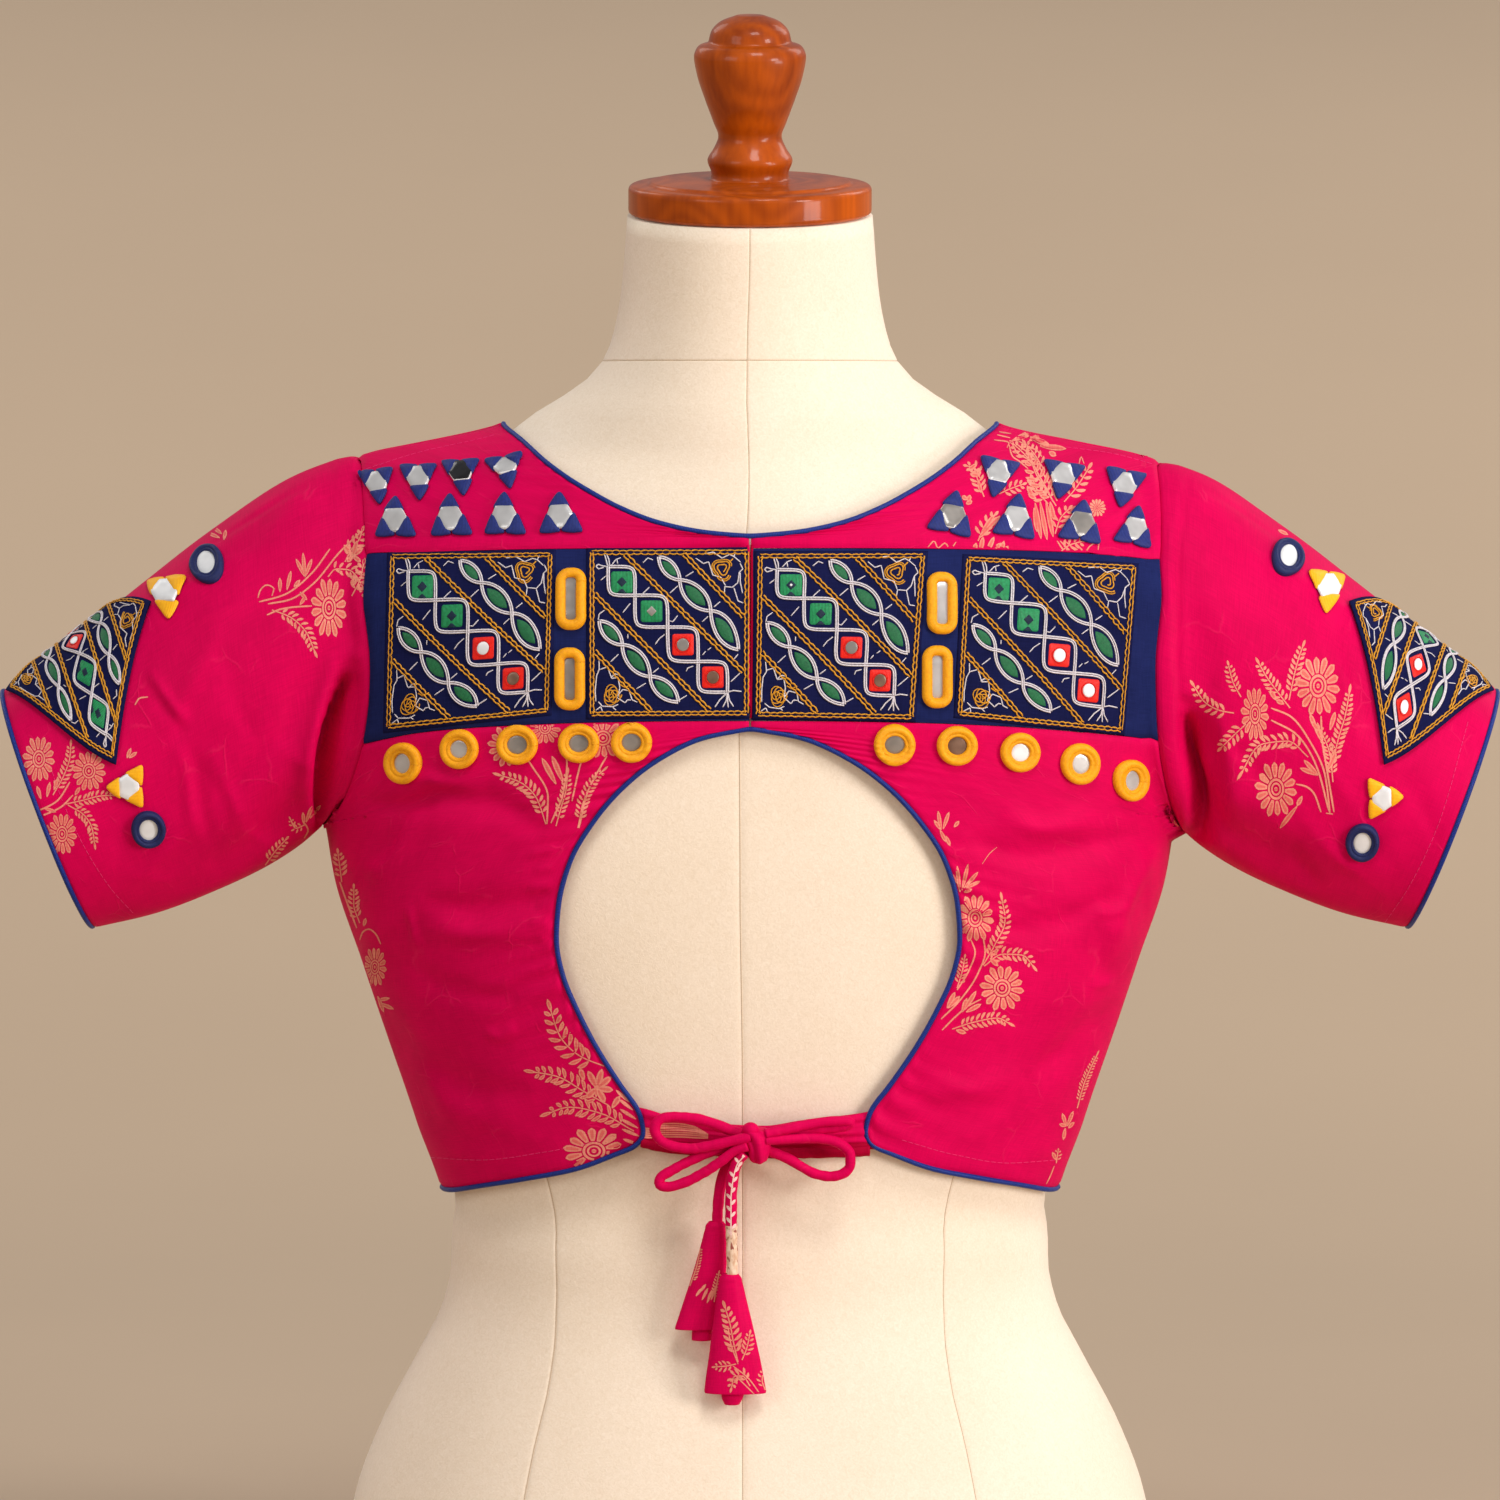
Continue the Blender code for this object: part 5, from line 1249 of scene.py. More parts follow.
def make_form():
    steps = NECK_SEAM + np.array((-9, -6, -4, -2, 0, 2, 4, 6, 9)) * 1e-4
    levels = np.sort(np.concatenate([np.linspace(0, FORM_TOP, FORM_LEVELS), steps]))
    table = np.array(PRINCESS_SEAM)
    princess = np.radians(Profile(table[:, 0], table[:, 1])(levels))
    centre = FIGURE_CURVES["back"](levels)
    fade = 0.5 * (1 + np.tanh((CENTRE_FADE[0] - levels) / CENTRE_FADE[1]))
    shift = -CENTRE_SHIFT / centre * fade
    back, front = -math.pi / 2, math.pi / 2
    knots = [
        back + shift,
        back + princess,
        np.zeros(len(levels)),
        front - princess,
        np.full(len(levels), front),
        front + princess,
        np.full(len(levels), math.pi),
        back + 2 * math.pi - princess,
        back + 2 * math.pi + shift,
    ]
    near = np.array((0.0, 0.003, 0.006, 0.010, 0.018, 0.040))
    shares = np.unique(np.concatenate([near, np.linspace(0.08, 0.92, 15), 1 - near]))[:-1]
    angle = [a[:, None] + (b - a)[:, None] * shares for a, b in zip(knots[:-1], knots[1:])]
    angle = np.concatenate(angle, axis=1)
    level = np.broadcast_to(levels[:, None], angle.shape)
    height = level - NECK_SEAM_DIP * np.sin(angle) * np.exp(-(((level - NECK_SEAM) / 0.022) ** 2))
    slack = form_slack(angle, height)[..., None]
    grid = figure_point(angle, height) - figure_normal(angle, height) * slack
    below = 0.5 * (1 - np.tanh((height - PLATE_FOOT[0]) / PLATE_FOOT[1]))
    limit = PLATE + PLATE_FLARE * below
    grid[..., 0] = np.clip(grid[..., 0], -limit, limit)
    normals = grid_normals(grid, True)
    groove = np.zeros(angle.shape)
    shown = 0.5 * (1 - np.tanh((level - SEAM_SHOWN) / 0.002))
    for number, knot in enumerate(knots[:-1]):
        gap = (angle - knot[:, None] + math.pi) % (2 * math.pi) - math.pi
        line = np.exp(-((gap * HALF_DEPTH / SEAM_WIDTH) ** 2))
        groove = groove + line * (1.0 if number in (0, 4) else shown)
    groove = groove + np.exp(-(((level - NECK_SEAM) / (SEAM_WIDTH * 0.7)) ** 2))
    uneven = wavy(grid, 0.035, 5) * 0.00025
    grid = grid + normals * (uneven - np.minimum(groove, 1.0) * SEAM_DEPTH)[..., None]
    bundle = Bundle()
    rows, columns = grid.shape[:2]
    faces = capped_faces(rows, columns)
    around = np.concatenate([grid, grid[:, :1]], axis=1)
    flat = np.stack((along_rows(around)[:, :-1], height), axis=-1)
    bundle.add(grid, faces, 0, flat)
    each = columns // (len(knots) - 1)
    for number in range(len(knots) - 1):
        line = grid[:, number * each]
        if number not in (0, 4):
            line = line[levels < SEAM_SHOWN]
        verts, faces, flats = tube(resample(line, SEAM_STEP), SEAM_THREAD, 5)
        bundle.add(verts, faces, 1, flats)
    seam = resample(grid[np.argmin(np.abs(levels - NECK_SEAM))], SEAM_STEP, closed=True)
    verts, faces, flats = tube(seam, SEAM_THREAD, 5, closed=True)
    bundle.add(verts, faces, 1, flats)
    made = bundle.make("dress_form", [LINEN, SEAM_LINEN])
    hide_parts("form_torso")


# The wooden neck plate and finial, as radius and height.
CAP_PROFILE = (
    (0.0500, 0.6340),
    (0.0527, 0.6352),
    (0.0527, 0.6460),
    (0.0512, 0.6472),
    (0.0440, 0.6476),
    (0.0436, 0.6488),
    (0.0172, 0.6494),
    (0.0166, 0.6520),
    (0.0185, 0.6577),
    (0.0155, 0.6634),
    (0.0137, 0.6683),
    (0.0157, 0.6740),
    (0.0196, 0.6845),
    (0.0230, 0.6951),
    (0.0243, 0.7030),
    (0.0222, 0.7076),
    (0.0180, 0.7090),
    (0.0170, 0.7135),
    (0.0130, 0.7180),
    (0.0060, 0.7208),
)
CAP_SHARP = (1, 2, 4, 5, 6, 16)  # rows whose corners stay crisp
CAP_STEPS = 80


def cap_outline():
    """The profile with its hollows and swells rounded between the crisp corners."""
    rows = np.array(CAP_PROFILE)
    marks = [0, *CAP_SHARP, len(rows) - 1]
    parts = []
    for first, last in zip(marks[:-1], marks[1:]):
        route = Route(rows[first : last + 1])
        steps = max(2, int(route.length / 0.0007))
        parts.append(route(np.linspace(0, 1, steps + 1))[:-1])
    line = np.concatenate([*parts, rows[-1:]])
    return eased_line(line, 2)


def make_cap():
    line = cap_outline()
    turns = 2 * math.pi * np.arange(CAP_STEPS) / CAP_STEPS
    grid = np.stack(
        np.broadcast_arrays(
            line[:, :1] * np.cos(turns), line[:, :1] * np.sin(turns), line[:, 1:2]
        ),
        axis=-1,
    )
    bundle = Bundle()
    bundle.add(grid, capped_faces(len(line), CAP_STEPS))
    made = bundle.make("neck_cap_and_finial", WOOD)
    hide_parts("form_cap_and_finial")


# ---------------------------------------------------------------- the cloth

# Puckers on a bias edge: height, how far they run in, and pitch.
PUCKER = (0.00115, 0.018, 0.0092)


def seam_dips(distances):
    depth, width = SEAM_DIP
    return -depth * sum(np.exp(-((d / width) ** 2)) for d in distances)


# How far to the right each armhole seam sits from an even cut: photograph y, pixels.
ARMHOLE_SHIFTS = {
    -1: (
        (440, -1), (480, 6), (520, 15), (560, 22), (600, 23),
        (650, 24), (700, 21), (740, 15), (790, 6), (815, -2),
    ),
    1: (
        (440, 18), (480, 17), (520, 14), (560, 10), (600, 9),
        (650, 9), (700, 11), (740, 12), (790, 11), (815, 10),
    ),
}
SHIFT_REACH = 0.026  # how far from the seam the cloth moves with it
LEAST_SHIFT = 0.00004  # places that would move less stay
SHOULDER_LIFT = (0.0020, 30.0)  # how much higher the seam's top stands, and over how many pixels
WHOLE = {}


def whole_cloth(side):
    """The blouse's own smooth outer face on one side, with its sleeve, and the armhole's line."""
    if side not in WHOLE:
        flip = np.array((side, 1.0, 1.0))
        fine = stations(150)
        groups = [yoke_places(fine, stations(90, YOKE_CORNER)), band_places(fine, stations(60))]
        groups.append(lower_back_places(side, fine, stations(160, ARMPIT_ROW, KEYHOLE_ROW)))
        groups += list(front_places(fine, stations(110, FRONT_ARMPIT), stations(90, CHEST_CORNER)))
        grids = []
        for places in groups:
            angle, height = places[..., 0], places[..., 1]
            grids.append((bodice_point(angle, height, fold_depth(angle, height)) * flip, False))
        turns = np.linspace(0, 2 * math.pi, 301)[:-1]
        share, turn = np.meshgrid(np.linspace(0, 0.6, 110), turns, indexing="ij")
        grids.append((sleeve_smooth(share, turn) * flip, True))
        WHOLE[side] = Skin(grids), grids[-1][0][0]
    return WHOLE[side]


def seated(grid, side):
    """A piece with its armhole's edge moved along the cloth to where the seam lies."""
    skin, ring = whole_cloth(side)
    flat = grid.reshape(-1, 3)
    gap = np.min([np.linalg.norm(flat - place, axis=1) for place in ring[::3]], axis=0)
    at, pixels = np.array(ARMHOLE_SHIFTS[side], float).T
    down, near = to_pixels(flat)[:, 1], np.exp(-((gap / SHIFT_REACH) ** 2))
    shift = np.interp(down, at, pixels) * PIXEL * near
    moved = flat.copy()
    for k in np.nonzero(np.abs(shift) > LEAST_SHIFT)[0]:
        place, _, _, _ = skin.tree.find_nearest(Vector(flat[k] + (shift[k], 0.0, 0.0)))
        moved[k] = place
    lift, reach = SHOULDER_LIFT
    moved[:, 2] += lift * np.exp(-(((down - at[0]) / reach) ** 2)) * near
    return moved.reshape(grid.shape)


def same_side(normals, guide):
    """Normals turned to the guide's side."""
    facing = np.sign(np.sum(normals * guide, axis=-1, keepdims=True))
    return normals * np.where(facing == 0, 1.0, facing)


def puckers(line, from_edge, seed):
    """The small gathers along a bias edge, which die away from it."""
    height, reach, pitch = PUCKER
    run = run_along(line)
    phase = run * 2 * math.pi / pitch + 1.3 * np.sin(run * 150.0 + seed)
    strength = 0.55 + 0.45 * np.sin(run * 61.0 + seed * 2.0)
    fall = np.exp(-from_edge / reach) * np.clip(from_edge / 0.003, 0, 1)
    return height * np.sin(phase[:, None] + from_edge * 60.0) * strength[:, None] * fall


def bodice_panel(places, side, seed, piece="", puckered=False, sewn=(0, 1, 2, 3)):
    """The outer face, normals and flat places of a bodice piece; side -1 is the left."""
    angle, height = places[..., 0], places[..., 1]
    creases = gathered(BODICE_CREASES, angle, height, BODICE_SCALE)
    grid = bodice_point(angle, height, fold_depth(angle, height))
    flip = np.array((side, 1.0, 1.0))
    normals = figure_normal(angle, height) * flip
    grid = seated(grid * flip, side)
    normals = same_side(grid_normals(grid), normals)
    grid = grid + normals * creases[..., None]
    edges = edge_distances(grid)
    relief = seam_dips([edges[k] for k in sewn]) + UNEVEN * wavy(grid, 0.012, seed)
    if puckered:
        relief = relief + puckers(grid[:, 0], edges[0], seed)
    from_edge = np.minimum.reduce(edges)
    relief = relief + drawn_folds(grid, normals, piece) * np.clip(from_edge / 0.005, 0, 1)
    grid = grid + normals * relief[..., None]
    across, up = along_rows(grid), along_rows(grid.swapaxes(0, 1)).T
    return grid, normals, np.stack((across, up), axis=-1)


SLEEVE_HEAD = (0.12, 0.12, 0.65, 0.0028)  # the easing puff at its top: share, length, angle, height
SLEEVE_LONG = (0.165, 0.14)  # metres that a share of 1 stands for, by its head and by its cuff
SLEEVE_FLAT = (0.053, 0.15)  # metres of flat cloth to a radian round it, and along all of it
SLEEVE_DIP = (0.0006, 0.0012)  # how deep and how wide it turns down at its two ends
# The turned-in start of a sleeve, under the armhole's edge: how far in, and how far down.
SLEEVE_TUCK = ((0.0045, 0.0019), (0.0020, 0.0017), (0.0008, 0.0008))


def sleeve_panel(side, rows, columns, seed, piece):
    share = np.unique(np.concatenate([np.linspace(0, 1, rows + 1), (0.004, 0.009, 0.99, 0.996)]))
    turn = 2 * math.pi * np.arange(columns) / columns
    share, turn = np.meshgrid(share, turn, indexing="ij")
    from_ends = np.minimum(share * SLEEVE_LONG[0], (1 - share) * SLEEVE_LONG[1])
    dip = -SLEEVE_DIP[0] * np.exp(-((from_ends / SLEEVE_DIP[1]) ** 2))
    smooth = sleeve_smooth(share, turn)
    out = dip + UNEVEN * 1.3 * wavy(smooth, 0.014, seed)
    flip = np.array((side, 1.0, 1.0))
    base = seated(smooth * flip, side)
    normals = same_side(grid_normals(base, True), sleeve_normal(share, turn) * flip)
    reach = sleeve_fold(share, turn) + sleeve_crease(share, turn) + out
    top = (turn + math.pi) % (2 * math.pi) - math.pi
    at, long, about, puff = SLEEVE_HEAD
    puff = puff * np.exp(-(((share - at) / long) ** 2) - (top / about) ** 2)
    grid = base + normals * (reach + puff * np.clip(share / 0.03, 0, 1))[..., None]
    folds = drawn_folds(grid, normals, piece) * np.clip(from_ends / 0.006, 0, 1)
    grid = grid + normals * folds[..., None]
    flat = np.stack((turn * SLEEVE_FLAT[0], share * SLEEVE_FLAT[1]), axis=-1)
    tucks = []
    for inward, down in SLEEVE_TUCK:
        tucks.append(grid[0] - (side * inward, 0.0, 0.0) - normals[0] * down)
    count = len(tucks)
    grid = np.concatenate([tucks, grid])
    normals = np.concatenate([normals[:1]] * count + [normals])
    beyond = np.array([inward for inward, _ in SLEEVE_TUCK])[:, None]
    around = np.broadcast_to(flat[0, :, 0], (count, columns))
    early = np.stack((around, -beyond * np.ones(columns)), -1)
    return grid, normals, np.concatenate([early, flat])


def facing_out(grid, normals, flat):
    """A grid turned over where needed, so that its faces look the way its normals do."""
    if float(np.sum(grid_normals(grid) * normals)) > 0:
        return grid, normals, flat
    return grid[:, ::-1], normals[:, ::-1], flat[:, ::-1]


SKINS = {}


def make_cloth(name, parts, finish, node, wrap=False):
    bundle = Bundle()
    for grid, normals, flat in parts:
        cloth_shell(bundle, *facing_out(grid, normals, flat), 0, wrap)
    made = bundle.make(name, finish)
    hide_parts(node)
    SKINS[node] = Skin([(grid, wrap) for grid, _, _ in parts])


# The sewn edges of the front's lower and upper halves; at the others the cloth only carries on.
FRONT_SEWN = ((1, 2), (1, 3))


def make_blouse():
    rows, columns = 60, 84
    s = stations(columns)
    for side, label in ((-1, "left"), (1, "right")):
        places = yoke_places(s, stations(rows, YOKE_CORNER))
        node = "back_yoke_" + label
        parts = [bodice_panel(places, side, 11 + side, node, True)]
        make_cloth("blouse_" + node, parts, PINK, node)

        places = band_places(s, stations(36))
        node = "back_band_" + label
        parts = [bodice_panel(places, side, 21 + side, node)]
        make_cloth("blouse_" + node, parts, NAVY, node)

        places = lower_back_places(side, s, stations(124, ARMPIT_ROW, KEYHOLE_ROW))
        node = "lower_back_" + label
        parts = [bodice_panel(places, side, 31 + side, node, True)]
        make_cloth("blouse_" + node, parts, PINK, node)

        node = "sleeve_" + label
        parts = [sleeve_panel(side, 88, 232, 41 + side, node)]
        make_cloth("blouse_" + node, parts, PINK, node, True)

    low, high = stations(50, FRONT_ARMPIT), stations(44, CHEST_CORNER)
    grids = front_places(stations(60), low, high)
    parts = []
    for places, sewn in zip(grids, FRONT_SEWN):
        for side in (-1, 1):
            parts.append(bodice_panel(places, side, 51 + side, sewn=sewn))
    make_cloth("blouse_front", parts, PINK, "front")


# ---------------------------------------------------------------- what lies on the cloth


def local_axes(normal):
    up = unit(np.array((0.0, normal[2], -normal[1])))
    return np.cross(up, normal), up


class Patch:
    """Flat places round a centre on a cloth, seen square on, in metres."""

    def __init__(self, skin, centre, turn=0.0, square=False):
        places, normals, _ = skin.cast(np.array(centre[0]), -np.array(centre[1]))
        self.skin, self.centre, self.normal = skin, places, normals
        if not square:
            self.normal = centre[1]
        across, up = local_axes(self.normal)
        c, s = math.cos(turn), math.sin(turn)
        self.axes = np.stack((across * c + up * s, -across * s + up * c))

    def __call__(self, flat, out):
        flat = np.asarray(flat, float)
        start = self.centre + flat @ self.axes + self.normal * 0.012
        places, _, found = self.skin.cast(start, -self.normal)
        base = np.where(found[..., None], places, start - self.normal * 0.012)
        return base + self.normal * np.asarray(out)[..., None]


def shown_patch(x, y, turn, node):
    """A patch at a place of the photograph's frame, its shape true to how it shows there."""
    places, normals, _ = SKINS[node].seen(np.array(((x, y),), float))
    patch = Patch(SKINS[node], (places[0] + normals[0] * 0.01, normals[0]))
    level = np.array((1.0, 0.0, 0.0))
    towards = FORWARD / (FORWARD @ patch.normal)
    across = level - (level @ patch.normal) * towards
    up = UPWARD - (UPWARD @ patch.normal) * towards
    c, s = math.cos(math.radians(turn)), math.sin(math.radians(turn))
    patch.axes = np.stack((across * c + up * s, -across * s + up * c))
    return patch


def back_patch(across, height, turn, node):
    side = 1 if across >= 0 else -1
    angle = float(back_angle(abs(across), height))
    flip = np.array((side, 1.0, 1.0))
    place = bodice_point(angle, height) * flip
    normal = figure_normal(angle, height) * flip
    return Patch(SKINS[node], (place + normal * 0.01, normal), math.radians(turn))


def swept_ring(patch, line, section):
    """A closed band whose section (across, out) follows a flat outline."""
    line = np.asarray(line, float)
    tangent = unit(np.roll(line, -1, 0) - np.roll(line, 1, 0))
    outward = np.stack((tangent[:, 1], -tangent[:, 0]), axis=-1)
    section = np.asarray(section, float)
    flat = line[:, None] + outward[:, None] * section[None, :, :1]
    out = np.broadcast_to(section[None, :, 1], flat.shape[:2])
    points = patch(flat, out)
    count, sides = flat.shape[:2]
    faces = grid_faces(count + 1, sides)
    faces = np.where(faces >= count * sides, faces - count * sides, faces)
    run = run_along(line)
    uv = np.stack(np.broadcast_arrays(run[:, None], section[None, :, 0]), axis=-1)
    return points, faces[:, ::-1], uv


def dome(patch, outline, base, rise, rings=5, edge=0.5):
    """A padded shape over a flat outline: upright at its edge, rounding to its middle."""
    outline = np.asarray(outline, float)
    middle = outline.mean(0)
    shares = np.sin(np.linspace(0, math.pi / 2, rings + 1))[::-1][:-1]
    flats, outs = [outline], [np.zeros(len(outline))]
    for share in shares:
        inset = 1 - (1 - share) * 0.999
        height = base + rise * (1 - share**2) ** edge
        flats.append(middle + (outline - middle) * inset)
        outs.append(np.full(len(outline), height))
    outs[0] = np.full(len(outline), base - 0.0002)
    flat = np.stack(flats)
    points = patch(flat, np.stack(outs))
    rows, columns = flat.shape[:2]
    faces = grid_faces(rows, columns, True).tolist()
    last = (rows - 1) * columns
    faces.append([last + i for i in range(columns)])
    return points, faces, flat


def plate(patch, outline, base, thick, soft=0.0003):
    """A flat plate with a small rounded edge."""
    outline = np.asarray(outline, float)
    middle = outline.mean(0)
    size = np.abs(outline - middle).max()
    rings = ((1.0, base), (1.0, base + thick - soft), (1 - soft / size, base + thick))
    rings += ((0.55, base + thick + 0.00006), (0.02, base + thick + 0.00008))
    flat = np.stack([middle + (outline - middle) * share for share, _ in rings])
    out = np.stack([np.full(len(outline), height) for _, height in rings])
    level = patch(middle[None], np.zeros(1))[0]
    spread = (flat - middle) @ patch.axes
    points = level + spread + patch.normal * out[..., None]
    rows, columns = flat.shape[:2]
    faces = grid_faces(rows, columns, True).tolist()
    faces.append([(rows - 1) * columns + i for i in range(columns)])
    return points, faces, flat


def round_line(wide, tall, count=72):
    turns = 2 * math.pi * np.arange(count) / count
    return np.stack((wide / 2 * np.cos(turns), tall / 2 * np.sin(turns)), axis=-1)


def oblong_line(wide, tall, corner, count=24):
    """A rectangle with rounded corners."""
    turns = np.linspace(0, math.pi / 2, count // 4 + 1)
    x, y = wide / 2 - corner, tall / 2 - corner
    line = []
    for k, (cx, cy) in enumerate(((x, y), (-x, y), (-x, -y), (x, -y))):
        turn = turns + k * math.pi / 2
        line.extend(zip(cx + corner * np.cos(turn), cy + corner * np.sin(turn)))
    return resample(np.array(line), (wide + tall) / 52, closed=True)


def lumpy(points, middle, amount, seed):
    """A little unevenness, as hand work has."""
    return points + wavy(points - middle, 0.0026, seed)[..., None] * amount


# Section of a stitched ring in shares of its width and height: across from its middle, and out.
RING_SECTION = (
    (0.50, -0.10),
    (0.54, 0.30),
    (0.50, 0.62),
    (0.38, 0.88),
    (0.20, 1.00),
    (0.02, 0.96),
    (-0.12, 0.80),
    (-0.19, 0.68),
    (-0.26, 0.74),
    (-0.38, 0.72),
    (-0.48, 0.52),
    (-0.52, 0.20),
    (-0.50, -0.10),
)


# The oblongs' section, one fat roll.
ROLL_SECTION = ((0.50, -0.10), (0.54, 0.30), (0.47, 0.66), (0.28, 0.92), (0.0, 1.00), (-0.28, 0.92),
                (-0.47, 0.66), (-0.54, 0.30), (-0.50, -0.10))
RING_LIFT = 0.0002
RING_POINTS = 96
BAND_INSIDE = 0.6  # share of the band's width by which the mirror is smaller than its middle


def stitched_ring(bundle, patch, line, band, seed, section):
    """Thick stitches wound round an outline, with a thinner inner row against the mirror."""
    section = np.array(section) * band + (0.0, RING_LIFT)
    points, faces, flat = swept_ring(patch, line, section)
    coarse = wavy(points, 0.0030, seed) * 0.00014 + wavy(points, 0.0010, seed + 5) * 0.00007
    points = points + patch.normal * coarse[..., None]
    bundle.add(points, faces, 0, flat)


# A triangular patch, in shares of its width and height from its lower left corner.
TOP_CAP = ((0.47, 1.055), (0.415, 1.01), (0.30, 0.85), (0.19, 0.65), (0.20, 0.615), (0.45, 0.63),
           (0.70, 0.635), (0.715, 0.67), (0.62, 0.85), (0.525, 1.01))
LOW_CAP = ((-0.03, 0.03), (0.01, 0.13), (0.15, 0.47), (0.19, 0.50), (0.235, 0.46), (0.42, 0.14),
           (0.49, 0.05), (0.465, 0.00), (0.22, -0.035), (0.00, -0.025))
GLASS_EDGE = ((0.26, 0.68), (0.67, 0.69), (0.82, 0.41), (0.60, 0.085), (0.38, 0.075), (0.16, 0.41))
GLASS_CENTRE = (0.49, 0.40)
TRIANGLE_MIDDLE = (0.49, 0.42)
TRIANGLE_LIFT = 0.0006  # metres from the cloth to the mirror's back


def rounded(points, spacing, passes=2):
    """A closed outline with its corners eased."""
    return eased_loop(resample(points, spacing, closed=True), passes)


def make_triangle(name, patch, size, cloth, glass, node):
    """A mirror held at its corners by three padded caps of folded cloth."""
    bundle = Bundle()
    size, lift = np.array(size), TRIANGLE_LIFT

    def placed(shares):
        return (np.array(shares) - TRIANGLE_MIDDLE) * size

    edge = placed(GLASS_EDGE)[::-1]
    middle = placed(GLASS_CENTRE)
    rim = resample(edge, 0.0009, closed=True)
    points, faces, flat = plate(patch, rim, lift, 0.00105)
    bundle.add(points, faces, 2, flat)
    face = resample(middle + (edge - middle) * 0.955, 0.0009, closed=True)
    points, faces, flat = plate(patch, face, lift + 0.0008, 0.00040, 0.0001)
    bundle.add(points, faces, 1, flat)
    right_cap = [(0.98 - x, y) for x, y in LOW_CAP][::-1]
    for k, cap in enumerate((TOP_CAP, LOW_CAP[::-1], right_cap[::-1])):
        line = rounded(placed(cap), 0.0007, 1)
        if turning(line) < 0:
            line = line[::-1]
        points, faces, flat = dome(patch, line, lift + 0.0004, 0.0013, 7, 0.42)
        points = lumpy(points, patch.centre, 0.00010, k)
        bundle.add(points, faces, 0, flat)
    made = bundle.make(name, [cloth, glass, RIM])
    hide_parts(node)


def ring_lines(wide, tall, band):
    inner = band[0] * BAND_INSIDE
    return round_line(wide, tall, RING_POINTS), round_line(wide - inner, tall - inner)


def turning(line):
    """Twice the area an outline goes round, above 0 when it runs anticlockwise."""
    ahead = np.roll(line, -1, 0)
    return float(np.sum(line[:, 0] * ahead[:, 1] - line[:, 1] * ahead[:, 0]))


def make_ring(name, patch, lines, band, finish, glass, node, seed):
    """A mirror in a stitched ring; lines are the band's middle and the mirror's edge."""
    bundle = Bundle()
    section = ROLL_SECTION if "oblong" in name else RING_SECTION
    stitched_ring(bundle, patch, lines[0], band, seed, section)
    points, faces, flat = plate(patch, lines[1], RING_LIFT * 0.5, 0.0008)
    bundle.add(points, faces, 1, flat)
    made = bundle.make(name, [finish, glass])
    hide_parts(node)


# Triangles on the yokes: photograph x and y, turn in degrees, width and height in mm, glass, whose
# tone is a painted reflection.
YOKE_TRIANGLES = (
    (377.3, 484.3, 186.5, 15.0, 14.5, SILVER),
    (418.7, 479.2, 181.5, 15.8, 15.0, SILVER),
    (461.0, 473.4, 183.0, 16.1, 14.1, DARK_REFLECTION_GLASS),
    (505.6, 468.2, 190.0, 16.5, 10.6, SILVER),
    (396.0, 519.9, 0.5, 17.2, 16.8, SILVER),
    (451.5, 518.2, 1.5, 17.4, 16.9, SILVER),
    (505.5, 517.0, 0.0, 17.3, 16.9, SILVER),
    (561.0, 516.0, 2.0, 18.0, 16.9, SILVER),
    (997.6, 473.9, 167.5, 17.0, 15.3, SILVER),
    (1062.0, 477.0, 166.5, 17.3, 16.1, SILVER),
    (1123.3, 486.0, 168.0, 17.2, 15.7, SILVER),
    (952.0, 516.0, -12.0, 18.8, 16.9, SHADE),
    (1015.8, 518.8, -9.5, 17.8, 17.5, SILVER),
    (1081.2, 524.0, -9.5, 18.2, 17.2, SHADE),
    (1134.4, 528.8, -12.0, 16.1, 16.2, SILVER),
)
# Rings under the bands: photograph x and y, width and height in mm between the middles of the
# band's sides, glass, whose tone is a painted reflection.
BACK_RINGS = (
    (403.5, 763.0, 11.4, 13.1, SILVER),
    (459.6, 748.9, 11.9, 12.2, SILVER),
    (517.5, 744.5, 13.1, 12.4, SHADE),
    (579.0, 743.2, 13.0, 12.0, SHADE),
    (631.6, 742.1, 12.9, 12.1, SHADE),
    (894.5, 744.4, 13.1, 12.0, SHADE),
    (956.9, 745.6, 12.8, 12.2, BROWN_REFLECTION_GLASS),
    (1019.8, 752.2, 12.4, 12.2, BRIGHT_REFLECTION_GLASS),
    (1079.8, 763.6, 12.1, 13.0, SILVER),
    (1130.8, 780.1, 10.6, 13.1, SILVER),
)
RING_BAND = (0.0045, 0.0027)  # width and height of the stitched band
# Oblongs on the bands: across and height on the figure, glass.
BACK_OBLONGS = (
    (-0.0768, 0.4774, SHADE),
    (-0.0773, 0.4440, SHADE),
    (0.0824, 0.4756, SILVER),
    (0.0803, 0.4448, SILVER),
)
# On the sleeves: kind, side, photograph x and y, turn, width and height in mm.
SLEEVE_PATCHES = (
    ("dark_ring", -1, 207.0, 563.5, 0, 11.4, 13.4),
    ("bright_triangle", -1, 165.5, 593.0, 181, 18.4, 16.1),
    ("bright_triangle", -1, 128.0, 786.0, 90, 18.0, 14.9),
    ("dark_ring", -1, 148.5, 829.0, 0, 11.4, 12.3),
    ("dark_ring", 1, 1287.8, 556.8, 0, 10.9, 12.9),
    ("bright_triangle", 1, 1327.5, 587.8, 178, 17.0, 16.3),
    ("bright_triangle", 1, 1383.0, 797.9, -88, 17.4, 14.2),
    ("dark_ring", 1, 1362.5, 842.0, 0, 11.1, 12.5),
)
DARK_BAND = (0.0034, 0.0025)
OBLONG_BAND = (0.0042, 0.0030)
OBLONG_SIZES = ((0.0089, 0.0226, 0.0036), (0.0066, 0.0200, 0.0018))  # the band's, the mirror's


